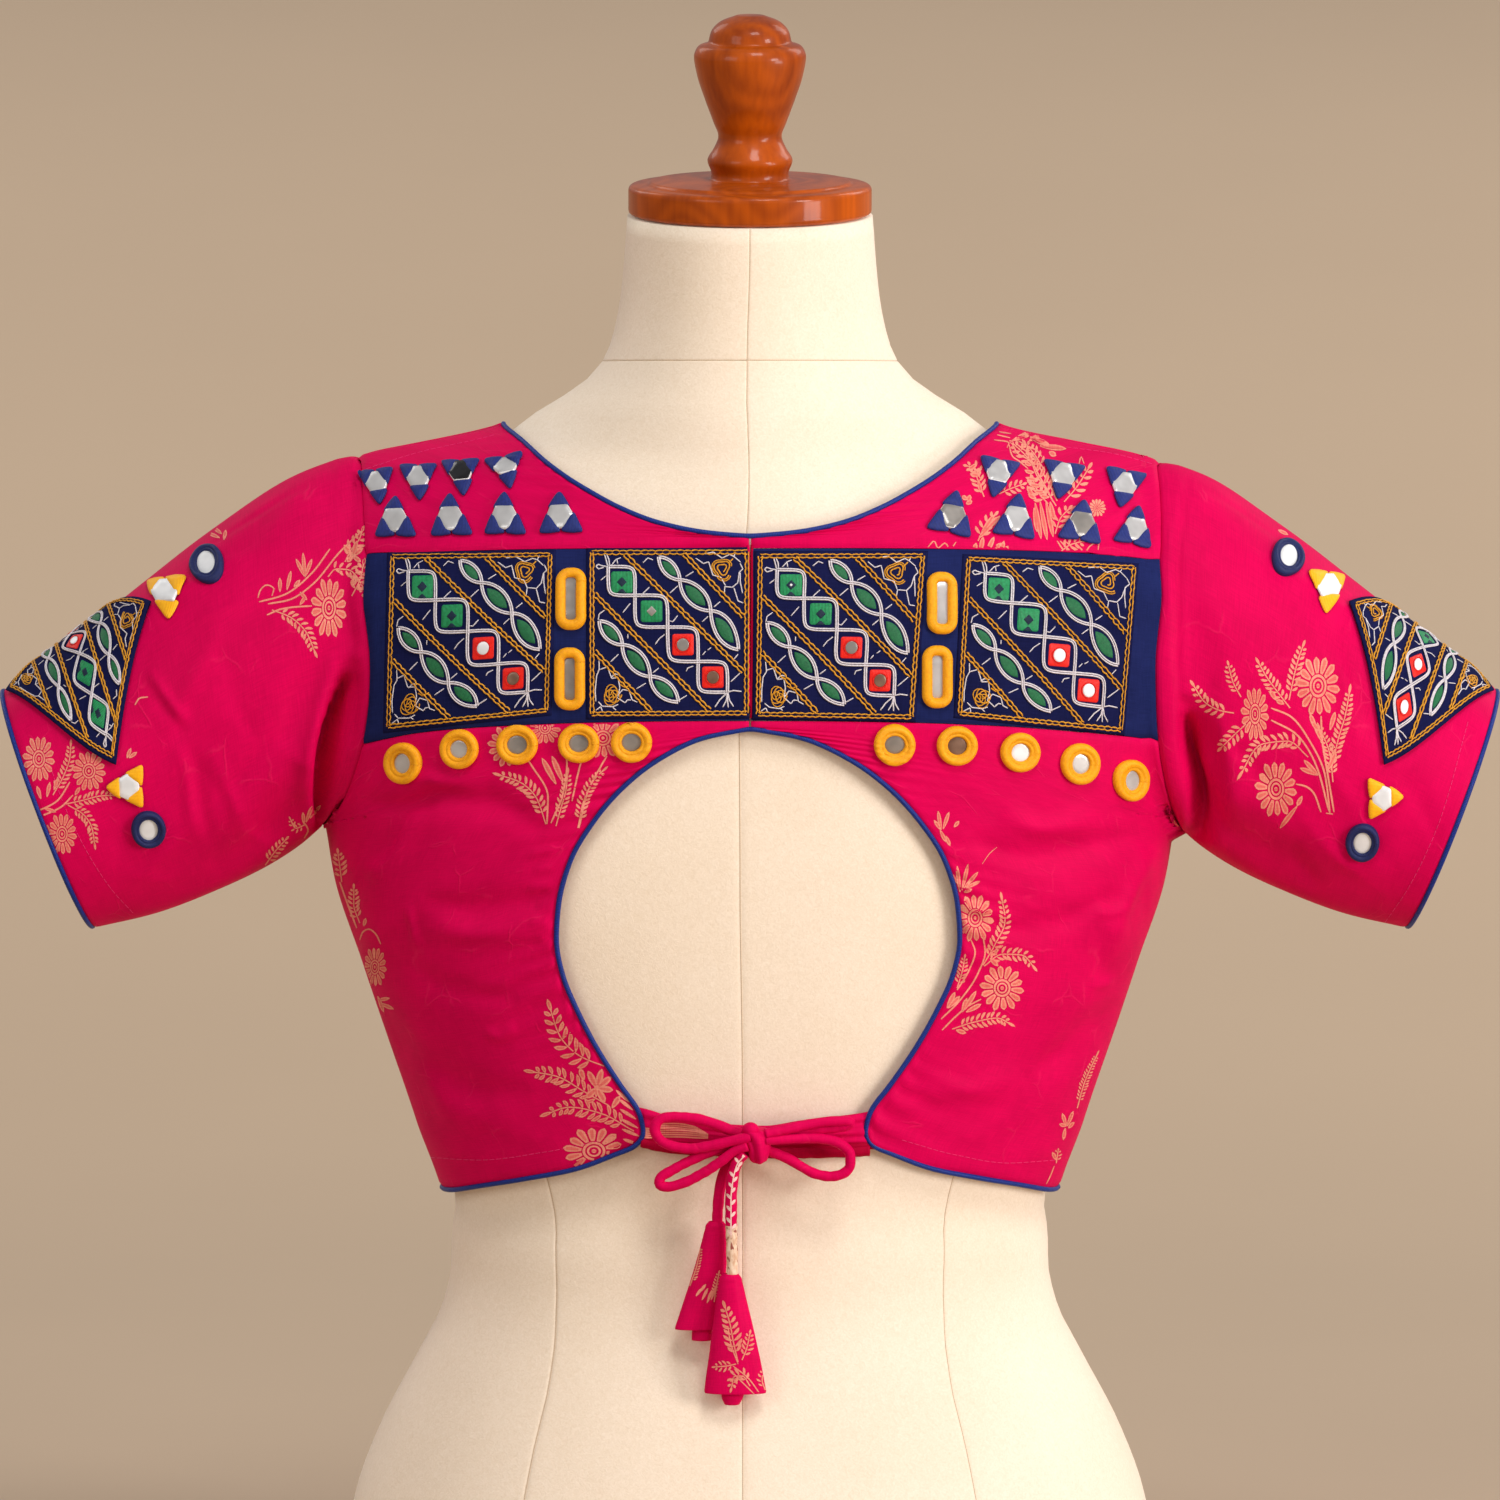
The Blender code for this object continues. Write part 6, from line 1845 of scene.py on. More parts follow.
def make_back_patches():
    number = 0
    for x, y, turn, wide, tall, glass in YOKE_TRIANGLES:
        number += 1
        label = "left" if x < PHOTO_SIZE / 2 else "right"
        patch = shown_patch(x, y, turn, "back_yoke_" + label)
        name, node = "mirror_triangle_%02d" % number, "back_triangle_%02d" % number
        size = (wide / 1000, tall / 1000)
        make_triangle(name, patch, size, PADDED, glass, node)
    for x, y, wide, tall, glass in BACK_RINGS:
        number += 1
        label = "left" if x < PHOTO_SIZE / 2 else "right"
        patch = shown_patch(x, y, 0, "lower_back_" + label)
        name, node = "mirror_ring_%02d" % number, "back_ring_%02d" % number
        lines = ring_lines(wide / 1000, tall / 1000, RING_BAND)
        make_ring(name, patch, lines, RING_BAND, YELLOW, glass, node, number)
    for across, height, glass in BACK_OBLONGS:
        number += 1
        label = "left" if across < 0 else "right"
        patch = back_patch(across, height, 0, "back_band_" + label)
        name, node = "mirror_oblong_%02d" % number, "back_oblong_%02d" % number
        lines = [oblong_line(*sizes) for sizes in OBLONG_SIZES]
        make_ring(name, patch, lines, OBLONG_BAND, YELLOW, glass, node, number)


def make_sleeve_patches():
    for number, (kind, side, x, y, turn, wide, tall) in enumerate(SLEEVE_PATCHES, 1):
        node = "sleeve_%s_%02d" % (kind, number)
        name = "mirror_" + node
        patch = shown_patch(x, y, turn, "sleeve_left" if side < 0 else "sleeve_right")
        wide, tall = wide / 1000, tall / 1000
        if kind == "dark_ring":
            lines, slot = ring_lines(wide, tall, DARK_BAND), "navy_thread"
            make_ring(name, patch, lines, DARK_BAND, DARK, BRIGHT_REFLECTION_GLASS, node, number)
        else:
            size, slot = (wide, tall), "yellow_thread"
            make_triangle(name, patch, size, BRIGHT, BRIGHT_REFLECTION_GLASS, node)


# ---------------------------------------------------------------- embroidered squares


class Panel:
    """A four-cornered place on a cloth, in metres from its upper left corner, x right and y up."""

    STEPS = 72

    def __init__(self, corners, surface):
        """corners run upper left, upper right, lower left, lower right."""
        upper_left, upper_right, lower_left, lower_right = np.array(corners, float)
        share = np.linspace(0, 1, self.STEPS)
        u, v = (part[..., None] for part in np.meshgrid(share, share))
        upper = (1 - u) * upper_left + u * upper_right
        lower = (1 - u) * lower_left + u * lower_right
        self.points, self.normals = surface((1 - v) * upper + v * lower)
        middle = self.STEPS // 2
        self.width = along_rows(self.points)[middle, -1]
        self.height = along_rows(self.points.swapaxes(0, 1))[middle, -1]
        self.size = np.array((self.width, -self.height))
        self.centre = self.points[middle, middle]

    def sample(self, flat):
        """Point and normal at flat places, also a little beyond the corners."""
        where = np.asarray(flat, float) / self.size * (self.STEPS - 1)
        cell = np.clip(np.floor(where).astype(int), 0, self.STEPS - 2)
        column, row = cell[..., 0], cell[..., 1]
        u, v = ((where - cell)[..., k, None] for k in (0, 1))
        found = []
        for grid in (self.points, self.normals):
            upper = grid[row, column] * (1 - u) + grid[row, column + 1] * u
            lower = grid[row + 1, column] * (1 - u) + grid[row + 1, column + 1] * u
            found.append(upper * (1 - v) + lower * v)
        return found[0], unit(found[1])

    def __call__(self, flat, out):
        points, normals = self.sample(flat)
        return points + normals * np.asarray(out)[..., None]

    def at(self, shares):
        """Flat places from shares of the width and of the height, downwards."""
        return np.asarray(shares, float) * self.size


def thread(bundle, panel, line, radius, lift, slot, sides=4, squash=0.8):
    """One thread laid along a flat line; lift may vary along it."""
    _, normals = panel.sample(line)
    centres = panel(line, np.broadcast_to(lift, (len(line),)) + radius * squash)
    verts, faces, flat = tube(centres, radius, sides, up=normals, flat=squash)
    bundle.add(verts, faces, slot, flat)


def beside(line, offset):
    """A flat line moved to its left by an offset, which may vary along it."""
    tangent = unit(np.gradient(line, axis=0))
    return line + np.stack((-tangent[:, 1], tangent[:, 0]), axis=-1) * np.reshape(offset, (-1, 1))


LINK_STEPS = 6  # points to a link of chain stitch


def chain(bundle, panel, line, pitch, half, radius, lift, slot, seed):
    """Chain stitch: two threads that part and meet again at every link."""
    line = resample(line, pitch / LINK_STEPS)
    run = np.arange(len(line)) * pitch / LINK_STEPS + seed
    uneven = 0.10 * np.sin(run * 900.0 + seed)
    swing = half * (0.42 + 0.58 * np.abs(np.sin(math.pi * run / pitch)) ** 0.7 + uneven)
    rise = lift + radius * 0.8 * np.abs(np.cos(math.pi * run / pitch)) ** 4
    for way in (1, -1):
        thick = radius * (1 + 0.10 * np.sin(run * 2100.0 + way))
        thread(bundle, panel, beside(line, swing * way), thick, rise, slot)


def eye_side(start, end, fullness, upper):
    """One side of an eye between two nodes, in shares of the square."""
    t = np.linspace(0, 1, 25)
    far, near = 1 - (1 - t) ** fullness, t**fullness
    bend = (far, near) if upper else (near, far)
    return start + (end - start) * np.stack(bend, axis=-1)


def twined(nodes, fullness):
    """Two lines that cross at the nodes and bow apart between them."""
    nodes = np.array(nodes)
    lines = []
    for first_upper in (True, False):
        parts = []
        for k in range(len(nodes) - 1):
            side = eye_side(nodes[k], nodes[k + 1], fullness, first_upper == (k % 2 == 0))
            parts.append(side if k == 0 else side[1:])
        lines.append(np.concatenate(parts))
    return lines


# The squares' design in shares of the width and of the height, downwards.
BORDER = ((0.02, 0.02), (0.985, 0.02), (0.985, 0.98), (0.02, 0.98))
DIAGONALS = (
    ((0.225, 0.03), (0.965, 0.735)),
    ((0.035, 0.265), (0.755, 0.965)),
    ((0.595, 0.03), (0.965, 0.405)),
    ((0.035, 0.605), (0.390, 0.965)),
)
MIDDLE_NODES = ((0.121, 0.103), (0.289, 0.274), (0.492, 0.465), (0.683, 0.671), (0.867, 0.856))
UPPER_NODES = ((0.436, 0.047), (0.569, 0.183), (0.760, 0.370), (0.935, 0.600))
LOWER_NODES = ((0.066, 0.425), (0.208, 0.569), (0.383, 0.759), (0.560, 0.912))
MIDDLE_FULL, LEAF_FULL = 3.4, 1.75
SQUARES = ((0.207, 0.195), (0.392, 0.369), (0.588, 0.570), (0.776, 0.766))
SQUARE_HALF = 0.066
NOTCH = ((-0.42, -0.98), (0.42, -0.98), (0.10, -0.62), (-0.10, -0.62))  # under a stitched mark
TAILS = (
    ((0.118, 0.100), (0.108, 0.060), (0.098, 0.028)),
    ((0.130, 0.098), (0.126, 0.060), (0.112, 0.030)),
    ((0.121, 0.103), (0.085, 0.098), (0.058, 0.088), (0.045, 0.100), (0.060, 0.116),
     (0.095, 0.106)),
    ((0.867, 0.856), (0.860, 0.905), (0.838, 0.945)),
    ((0.867, 0.856), (0.868, 0.910), (0.872, 0.948)),
    ((0.870, 0.858), (0.880, 0.905), (0.905, 0.942)),
    ((0.867, 0.856), (0.905, 0.846), (0.955, 0.852)),
    ((0.862, 0.862), (0.820, 0.900), (0.788, 0.945)),
)
DASHES = (
    ((0.335, 0.078), (0.366, 0.052), (0.397, 0.062)),
    ((0.606, 0.163), (0.655, 0.134)),
    ((0.503, 0.260), (0.552, 0.217)),
    ((0.322, 0.282), (0.345, 0.253), (0.379, 0.223)),
    ((0.215, 0.380), (0.262, 0.325)),
    ((0.783, 0.343), (0.822, 0.312)),
    ((0.707, 0.431), (0.745, 0.398)),
    ((0.501, 0.428), (0.524, 0.432), (0.554, 0.396)),
    ((0.411, 0.568), (0.433, 0.534), (0.471, 0.508)),
    ((0.241, 0.505), (0.241, 0.532)),
    ((0.709, 0.634), (0.728, 0.612)),
    ((0.742, 0.606), (0.764, 0.590)),
    ((0.612, 0.733), (0.620, 0.714), (0.655, 0.702)),
    ((0.396, 0.735), (0.434, 0.706)),
    ((0.299, 0.828), (0.357, 0.795)),
    ((0.135, 0.668), (0.184, 0.623)),
    ((0.563, 0.905), (0.614, 0.876)),
    ((0.890, 0.796), (0.955, 0.738)),
    ((0.074, 0.186), (0.108, 0.160)),
    ((0.148, 0.088), (0.176, 0.058), (0.204, 0.046)),
    ((0.176, 0.058), (0.181, 0.084)),
    ((0.058, 0.418), (0.062, 0.380), (0.098, 0.358)),
    ((0.905, 0.660), (0.932, 0.628)),
)
WEB = (
    ((0.664, 0.056), (0.710, 0.088), (0.748, 0.080), (0.767, 0.156), (0.824, 0.172),
     (0.850, 0.222)),
    ((0.850, 0.222), (0.903, 0.230), (0.930, 0.200), (0.945, 0.140), (0.966, 0.118),
     (0.948, 0.084)),
    ((0.718, 0.034), (0.780, 0.026), (0.832, 0.060), (0.878, 0.038), (0.908, 0.050),
     (0.948, 0.084)),
    ((0.908, 0.050), (0.918, 0.026)),
    ((0.945, 0.140), (0.948, 0.196), (0.958, 0.262)),
    ((0.850, 0.222), (0.846, 0.262)),
    ((0.903, 0.230), (0.926, 0.312), (0.960, 0.320)),
)
SPIRAL = ((0.836, 0.116), (2.1, 0.058))  # middle; turns and width
SPIRAL_TAG = ((0.872, 0.085), (0.900, 0.058))
KNOT_STITCH = ((0.145, 0.868), (0.055, 0.062))  # middle; half width and half height
KNOT_TAG = ((0.196, 0.806), (0.226, 0.824), (0.262, 0.808))
TURNED_WEB = (
    ((0.060, 0.660), (0.064, 0.716), (0.044, 0.752), (0.036, 0.838), (0.040, 0.905)),
    ((0.064, 0.716), (0.112, 0.700), (0.136, 0.768), (0.176, 0.768), (0.188, 0.822),
     (0.180, 0.880)),
    ((0.136, 0.768), (0.160, 0.746), (0.190, 0.752)),
    ((0.180, 0.880), (0.212, 0.838), (0.258, 0.850), (0.274, 0.900), (0.306, 0.916)),
    ((0.180, 0.880), (0.226, 0.914), (0.244, 0.895), (0.266, 0.896)),
    ((0.058, 0.912), (0.084, 0.938), (0.150, 0.940), (0.182, 0.928)),
    ((0.040, 0.962), (0.074, 0.940), (0.082, 0.968)),
    ((0.150, 0.940), (0.170, 0.956)),
)
WHITE_LINES = ((TAILS, 0.00030), (DASHES, 0.00026), (WEB, 0.00027), (TURNED_WEB, 0.00027))
WANDER = 0.004  # how far the white lines stray from square to square, as a share of its size
STITCH_STEP = 0.0008  # metres between the points of a stitched line
PANEL_THICK = 0.00045
GROUND_STEPS, GROUND_RIM = 30, 0.0012  # the dark cloth's steps, and its first one, in metres


def rimmed_steps(start, stop):
    """Even places across the dark cloth, with one more close to each end."""
    rim = math.copysign(GROUND_RIM, stop - start)
    inner = np.linspace(start, stop, GROUND_STEPS)[1:-1]
    return np.array([start, start + rim, *inner, stop - rim, stop])


def make_ground(name, panel, margins, node=None):
    """The dark cloth under a square's stitches, with its turned edge."""
    left, right, top, bottom = margins
    across = rimmed_steps(-left, panel.width + right)
    down = rimmed_steps(top, -panel.height - bottom)
    x, y = np.meshgrid(across, down)
    flat = np.stack((x, y), axis=-1)
    points, normals = panel.sample(flat)
    from_edge = np.minimum.reduce(edge_distances(points))
    turned = -0.00030 * np.exp(-((from_edge / 0.0004) ** 2))
    ripple = 0.00008 * wavy(points, 0.006, 77)
    outer = points + normals * (PANEL_THICK + turned + ripple)[..., None]
    bundle = Bundle()
    cloth_shell(bundle, *facing_out(outer, normals, flat), thick=PANEL_THICK + 0.0003)
    made = bundle.make(name, NIGHT)
    if node:
        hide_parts(node)


def make_gold(name, panel, seed):
    bundle = Bundle()
    lift = PANEL_THICK
    border = panel.at(BORDER)
    for k in range(4):
        ends = np.array((border[k], border[(k + 1) % 4]))
        chain(bundle, panel, ends, 0.0031, 0.00080, 0.00032, lift, 0, seed + k)
    for k, ends in enumerate(DIAGONALS):
        chain(bundle, panel, panel.at(ends), 0.0033, 0.00092, 0.00036, lift, 0, seed + 5 + k)
    middle, (turns, wide) = SPIRAL
    t = np.linspace(0, 1, 90)
    about = 2 * math.pi * turns * t + 0.8
    reach = wide * (1 - 0.72 * t) * (1 + 0.16 * np.cos(3 * about + seed))
    spiral = np.array(middle) + np.stack((reach * np.cos(about), reach * np.sin(about)), -1)
    thread(bundle, panel, panel.at(spiral), 0.00034, lift, 0)
    inner = beside(panel.at(spiral[:36]), 0.00085)
    thread(bundle, panel, inner, 0.00026, lift, 0)
    thread(bundle, panel, resample(panel.at(SPIRAL_TAG), STITCH_STEP), 0.0003, lift, 0)
    middle, (wide, tall) = KNOT_STITCH
    t = np.linspace(0, 1, 160)
    about = 2 * math.pi * 5.2 * t
    reach = 1 - 0.86 * t + 0.13 * np.sin(2.7 * about + seed)
    x = middle[0] + wide * reach * np.cos(about)
    y = middle[1] + tall * reach * np.sin(about) - 0.030 * (x - middle[0])
    scribble = panel.at(np.stack((x, y), -1))
    rise = lift + 0.00025 * t
    thread(bundle, panel, scribble, 0.00025, rise, 0)
    thread(bundle, panel, resample(panel.at(KNOT_TAG), STITCH_STEP), 0.0003, lift, 0)
    bundle.make(name, GOLD)


def make_white(name, panel, seed):
    bundle = Bundle()
    random = np.random.default_rng(seed)
    lift = PANEL_THICK
    leaves = ((UPPER_NODES, LEAF_FULL), (LOWER_NODES, LEAF_FULL))
    for nodes, full in ((MIDDLE_NODES, MIDDLE_FULL), *leaves):
        for order, line in enumerate(twined(nodes, full)):
            line = resample(panel.at(line), STITCH_STEP)
            uneven = wavy(panel(line, np.zeros(len(line))), 0.004, seed)
            line = line + 0.00012 * np.stack((uneven,) * 2, -1)
            rise = lift + 0.0003 * order
            for offset in (0.00044, -0.00044):
                thread(bundle, panel, beside(line, offset), 0.00035, rise, 0)
    for table, radius in WHITE_LINES:
        for line in table:
            moved = np.array(line) + random.uniform(-WANDER, WANDER, 2)
            if table is not TAILS and len(line) > 2:
                moved[1:-1] += random.uniform(-WANDER, WANDER, (len(line) - 2, 2))
            if table is TAILS:
                moved = np.array(line)
            fine = resample(panel.at(moved), 0.0005)
            ends = np.minimum(np.arange(len(fine)), np.arange(len(fine))[::-1])
            thick = radius * (0.75 + 0.25 * np.clip(ends / 2, 0, 1))
            thread(bundle, panel, fine, thick, lift, 0)
    bundle.make(name, WHITE)


# white, shaded, brown and dark are small mirrors whose tones are painted reflections
FILLS = {
    "green": GREEN,
    "deep_green": DEEP_GREEN,
    "red": RED,
    "stitched": NIGHT_THREAD,
    "white": BRIGHT_REFLECTION_GLASS,
    "shaded": SHADE,
    "brown": BROWN_REFLECTION_GLASS,
    "dark": DARK_REFLECTION_GLASS,
}
FILL_SLOTS = {kind: slot for slot, kind in enumerate(FILLS)}
GREEN_SQUARES = 2  # the first squares are green, with a stitched mark; the rest red, with a mirror


def make_fills(name, panel, centres):
    """Satin stitch in the leaves and squares, with the small round mirrors of the squares."""
    bundle = Bundle()
    lift = PANEL_THICK
    for nodes in (UPPER_NODES, LOWER_NODES):
        for start, end in zip(nodes[:-1], nodes[1:]):
            start, end = np.array(start), np.array(end)
            upper, lower = (eye_side(start, end, LEAF_FULL, k) for k in (True, False))
            line = np.concatenate([upper, lower[-2:0:-1]])
            middle = (start + end) / 2
            line = panel.at(middle + (line - middle) * 0.66)
            if turning(line) < 0:
                line = line[::-1]
            points, faces, flat = dome(panel, line, lift, 0.00042, 5)
            bundle.add(points, faces, FILL_SLOTS["deep_green"], flat)
    for k, (at, centre) in enumerate(zip(SQUARES, centres)):
        place = panel.at(at)
        half = SQUARE_HALF * (panel.width + panel.height) / 2
        line = oblong_line(2 * half, 2 * half, half * 0.22) + place
        points, faces, flat = dome(panel, line, lift, 0.00050, 6)
        bundle.add(points, faces, FILL_SLOTS["green" if k < GREEN_SQUARES else "red"], flat)
        if k < GREEN_SQUARES:
            mark = round_line(half * 1.0, half * 1.0, 4)
            mark = rounded(mark, 0.0004, 1) + place
            kind = "stitched" if centre == "glint" else centre
            points, faces, flat = dome(panel, mark, lift + 0.0004, 0.00030, 4)
            bundle.add(points, faces, FILL_SLOTS[kind], flat)
            if kind == "stitched":
                notch = np.array(NOTCH) * half + place
                points, faces, flat = dome(panel, notch, lift + 0.0003, 0.00025, 3)
                bundle.add(points, faces, FILL_SLOTS[kind], flat)
            if centre == "glint":
                line = round_line(0.0012, 0.0012, 16) + place
                points, faces, flat = dome(panel, line, lift + 0.0006, 0.0002, 3)
                bundle.add(points, faces, FILL_SLOTS["white"], flat)
        else:
            line = round_line(half * 1.12, half * 1.18, 40) + place
            points, faces, flat = dome(panel, line, lift + 0.00055, 0.00022, 4, 0.35)
            bundle.add(points, faces, FILL_SLOTS[centre], flat)
            ring = round_line(half * 1.30, half * 1.36, 48) + place
            ring = np.concatenate([ring, ring[:2]])
            thread(bundle, panel, ring, 0.00022, lift + 0.00040, FILL_SLOTS["red"])
    bundle.make(name, list(FILLS.values()))


# Corners of the back's squares in the photograph's frame, and what their four small squares hold;
# white, shaded and brown are mirrors whose tones are painted reflections.
BACK_SQUARES = (
    ("left", ((390, 554), (553, 552), (386, 730), (549, 713)),
     ("stitched", "stitched", "white", "brown"), (0.0013, 0.0013, 0.0008, 0.0012)),
    ("left", ((589, 550), (749, 549), (589, 717), (748.6, 716)),
     ("stitched", "shaded", "shaded", "brown"), (0.0012, 0.0002, 0.0008, 0.0010)),
    ("right", ((757, 553), (925, 553), (755, 717), (913, 720)),
     ("glint", "stitched", "shaded", "brown"), (0.0012, 0.0012, 0.0008, 0.0010)),
    ("right", ((965, 556), (1136, 565), (956, 716), (1122, 733)),
     ("stitched", "stitched", "white", "white"), (0.0012, 0.0012, 0.0008, 0.0010)),
)
SLEEVE_CORNERS = {"left": (1, 0, 2, 3), "right": (3, 0, 2, 1)}
SLEEVE_CENTRES = ("stitched", "stitched", "white", "white")
SLEEVE_MARGINS = (0.0018,) * 4  # how far the dark cloth reaches beyond the panel's four sides
SLEEVE_INSET = 0.035
SLEEVE_BOW = 9.0  # degrees that the lower edge bows down, so that it looks straight


def bow(places):
    """Extra turn in degrees, most at the middle of the lower edge of a sleeve's square."""
    start, end, across = (np.array(SLEEVE_SQUARE[k]) for k in (1, 2, 0))
    axes = np.stack((end - start, across - start))
    along, away = np.moveaxis((places - start) @ np.linalg.inv(axes), -1, 0)
    return SLEEVE_BOW * np.clip(4 * along * (1 - along), 0, 1) * np.clip(1 - away, 0, 1)


def make_squares():
    for number, (label, corners, centres, margins) in enumerate(BACK_SQUARES, 1):
        def surface(pixels, label=label):
            points, normals, found = SKINS["back_band_" + label].seen(pixels)
            return filled(points, normals, found)

        panel = Panel(corners, surface)
        make_ground("square_ground_%d" % number, panel, margins)
        make_gold("square_gold_%d" % number, panel, number)
        make_white("square_white_%d" % number, panel, number)
        make_fills("square_fills_%d" % number, panel, centres)
    for label, order in SLEEVE_CORNERS.items():
        flip = np.array((-1.0 if label == "left" else 1.0, 1.0, 1.0))
        corners = np.array([SLEEVE_SQUARE[k] for k in order])
        middle = corners.mean(0)
        corners = middle + (corners - middle) * (1 - SLEEVE_INSET)

        def surface(places, flip=flip):
            share, turn = places[..., 0], np.radians(places[..., 1] + bow(places))
            out = SQUARE_LIFT + SQUARE_WALL - PANEL_THICK
            return sleeve_point(share, turn, out) * flip, sleeve_normal(share, turn) * flip

        panel = Panel(corners, surface)
        make_ground("square_ground_" + label, panel, SLEEVE_MARGINS, "sleeve_square_" + label)
        make_gold("square_gold_" + label, panel, 11)
        make_white("square_white_" + label, panel, 12)
        make_fills("square_fills_" + label, panel, SLEEVE_CENTRES)


def filled(points, normals, found):
    """A grid whose missed places are carried on from the two nearest rows or columns."""
    for _ in range(6):
        for axis in (0, 1):
            for back in (False, True):
                step = -1 if back else 1
                turned = [np.moveaxis(part, axis, 0)[::step] for part in (points, normals, found)]
                places, ways, known = turned
                for k in range(2, len(places)):
                    fresh = known[k - 1] & known[k - 2] & ~known[k]
                    places[k][fresh] = 2 * places[k - 1][fresh] - places[k - 2][fresh]
                    ways[k][fresh] = ways[k - 1][fresh]
                    known[k][fresh] = True
        if found.all():
            break
    return points, normals


# ---------------------------------------------------------------- woven sprays

# Salmon sprays woven into the pink cloth, in the photograph's frame.
# Daisies: piece, middle, half width, half height, lean in degrees.
DAISIES = (
    ("sleeve_left", 329, 608, 18, 30, 8),
    ("sleeve_left", 39, 759, 16, 23, 0),
    ("sleeve_left", 89, 771, 17, 20, 0),
    ("sleeve_left", 62, 834, 15, 21, 0),
    ("lower_back_left", 375, 967, 12, 20, 0),
    ("lower_back_left", 508, 746, 20, 21, 0),
    ("lower_back_left", 603, 738, 21, 20, 0),
    ("lower_back_left", 545, 728, 16, 16, 0),
    ("lower_back_left", 594, 1151, 30, 24, 0),
    ("sleeve_right", 1318, 686, 22, 30, 0),
    ("sleeve_right", 1255, 714, 14, 27, 0),
    ("sleeve_right", 1276, 789, 21, 28, 0),
    ("lower_back_right", 975, 918, 19, 24, 0),
    ("lower_back_right", 1002, 988, 22, 23, 0),
    ("back_yoke_right", 1097, 508, 9, 9, 0),
)
# Stems and plain strokes: piece, width, line.
STEMS = (
    ("sleeve_left", 1.7, (259, 602), (284, 595), (312, 573), (330, 549)),
    ("sleeve_left", 1.4, (258, 598), (260, 591), (267, 585), (274, 589), (272, 596)),
    ("sleeve_left", 1.7, (268, 604), (289, 600), (312, 585), (340, 552), (362, 531)),
    ("sleeve_left", 1.7, (267, 615), (282, 609), (296, 607), (312, 606)),
    ("sleeve_left", 1.7, (36, 812), (57, 801), (70, 782)),
    ("sleeve_left", 1.7, (39, 817), (61, 807), (73, 795)),
    ("sleeve_left", 1.5, (38, 820), (48, 826), (50, 832)),
    ("sleeve_left", 1.5, (135, 705), (140, 698), (148, 697)),
    ("sleeve_left", 1.5, (304, 838), (308, 830), (304, 822)),
    ("lower_back_left", 1.7, (547, 824), (548, 797), (532, 766), (525, 756)),
    ("lower_back_left", 1.7, (551, 823), (563, 794), (567, 763), (563, 746)),
    ("lower_back_left", 1.7, (572, 801), (580, 766), (584, 754)),
    ("lower_back_left", 1.7, (579, 828), (587, 794), (601, 766), (607, 756)),
    ("lower_back_left", 1.7, (340, 882), (349, 907), (357, 928)),
    ("lower_back_left", 1.5, (360, 940), (363, 932), (369, 929), (376, 934), (381, 944)),
    ("sleeve_right", 1.8, (1330, 814), (1325, 775), (1309, 740), (1290, 716), (1271, 708)),
    ("sleeve_right", 1.8, (1329, 811), (1316, 765), (1296, 734), (1271, 720)),
    ("sleeve_right", 1.8, (1334, 812), (1327, 770), (1322, 738), (1321, 716)),
    ("sleeve_right", 1.8, (1321, 812), (1313, 792), (1305, 786), (1296, 784)),
    ("sleeve_right", 1.5, (1326, 813), (1333, 814)),
    ("lower_back_right", 1.6, (941, 1019), (960, 1000), (978, 973), (985, 952), (983, 936)),
    ("lower_back_right", 1.6, (942, 1030), (956, 1016), (968, 1006), (981, 999)),
    ("lower_back_right", 1.6, (957, 990), (969, 970), (975, 952), (971, 940)),
    ("lower_back_right", 0.7, (982, 864), (990, 853), (997, 847)),
    ("lower_back_right", 1.2, (1054, 1166), (1050, 1176), (1046, 1184)),
    ("back_yoke_right", 1.3, (994, 440), (1009, 443), (1007, 448)),
    ("back_yoke_right", 1.3, (997, 435), (1010, 438)),
    ("back_yoke_right", 1.3, (999, 432), (1011, 434)),
    ("back_yoke_right", 1.4, (1009, 445), (1012, 456), (1020, 462), (1028, 469)),
    ("back_yoke_right", 1.4, (1012, 444), (1018, 454), (1027, 459), (1034, 466)),
    ("back_yoke_right", 1.4, (1015, 443), (1024, 450), (1032, 455), (1038, 462)),
    ("back_yoke_right", 1.4, (1018, 441), (1029, 447), (1037, 451), (1042, 457)),
    ("back_yoke_right", 1.4, (1031, 459), (1038, 474), (1046, 488), (1053, 502)),
    ("back_yoke_right", 1.4, (1034, 457), (1042, 472), (1050, 486), (1057, 501)),
    ("back_yoke_right", 1.2, (1079, 464), (1081, 457), (1084, 464)),
    ("back_yoke_right", 1.5, (1057, 541), (1064, 551), (1074, 560)),
    ("back_yoke_right", 1.5, (1060, 541), (1069, 550), (1079, 559)),
    ("back_yoke_right", 1.5, (1066, 542), (1075, 550), (1084, 559)),
    ("back_yoke_right", 1.5, (1075, 543), (1083, 551), (1091, 559)),
    ("back_yoke_right", 1.3, (928, 547), (934, 541), (938, 548), (945, 543), (950, 549),
     (956, 542)),
    ("back_yoke_right", 1.3, (1083, 557), (1090, 546), (1099, 541), (1098, 550)),
)
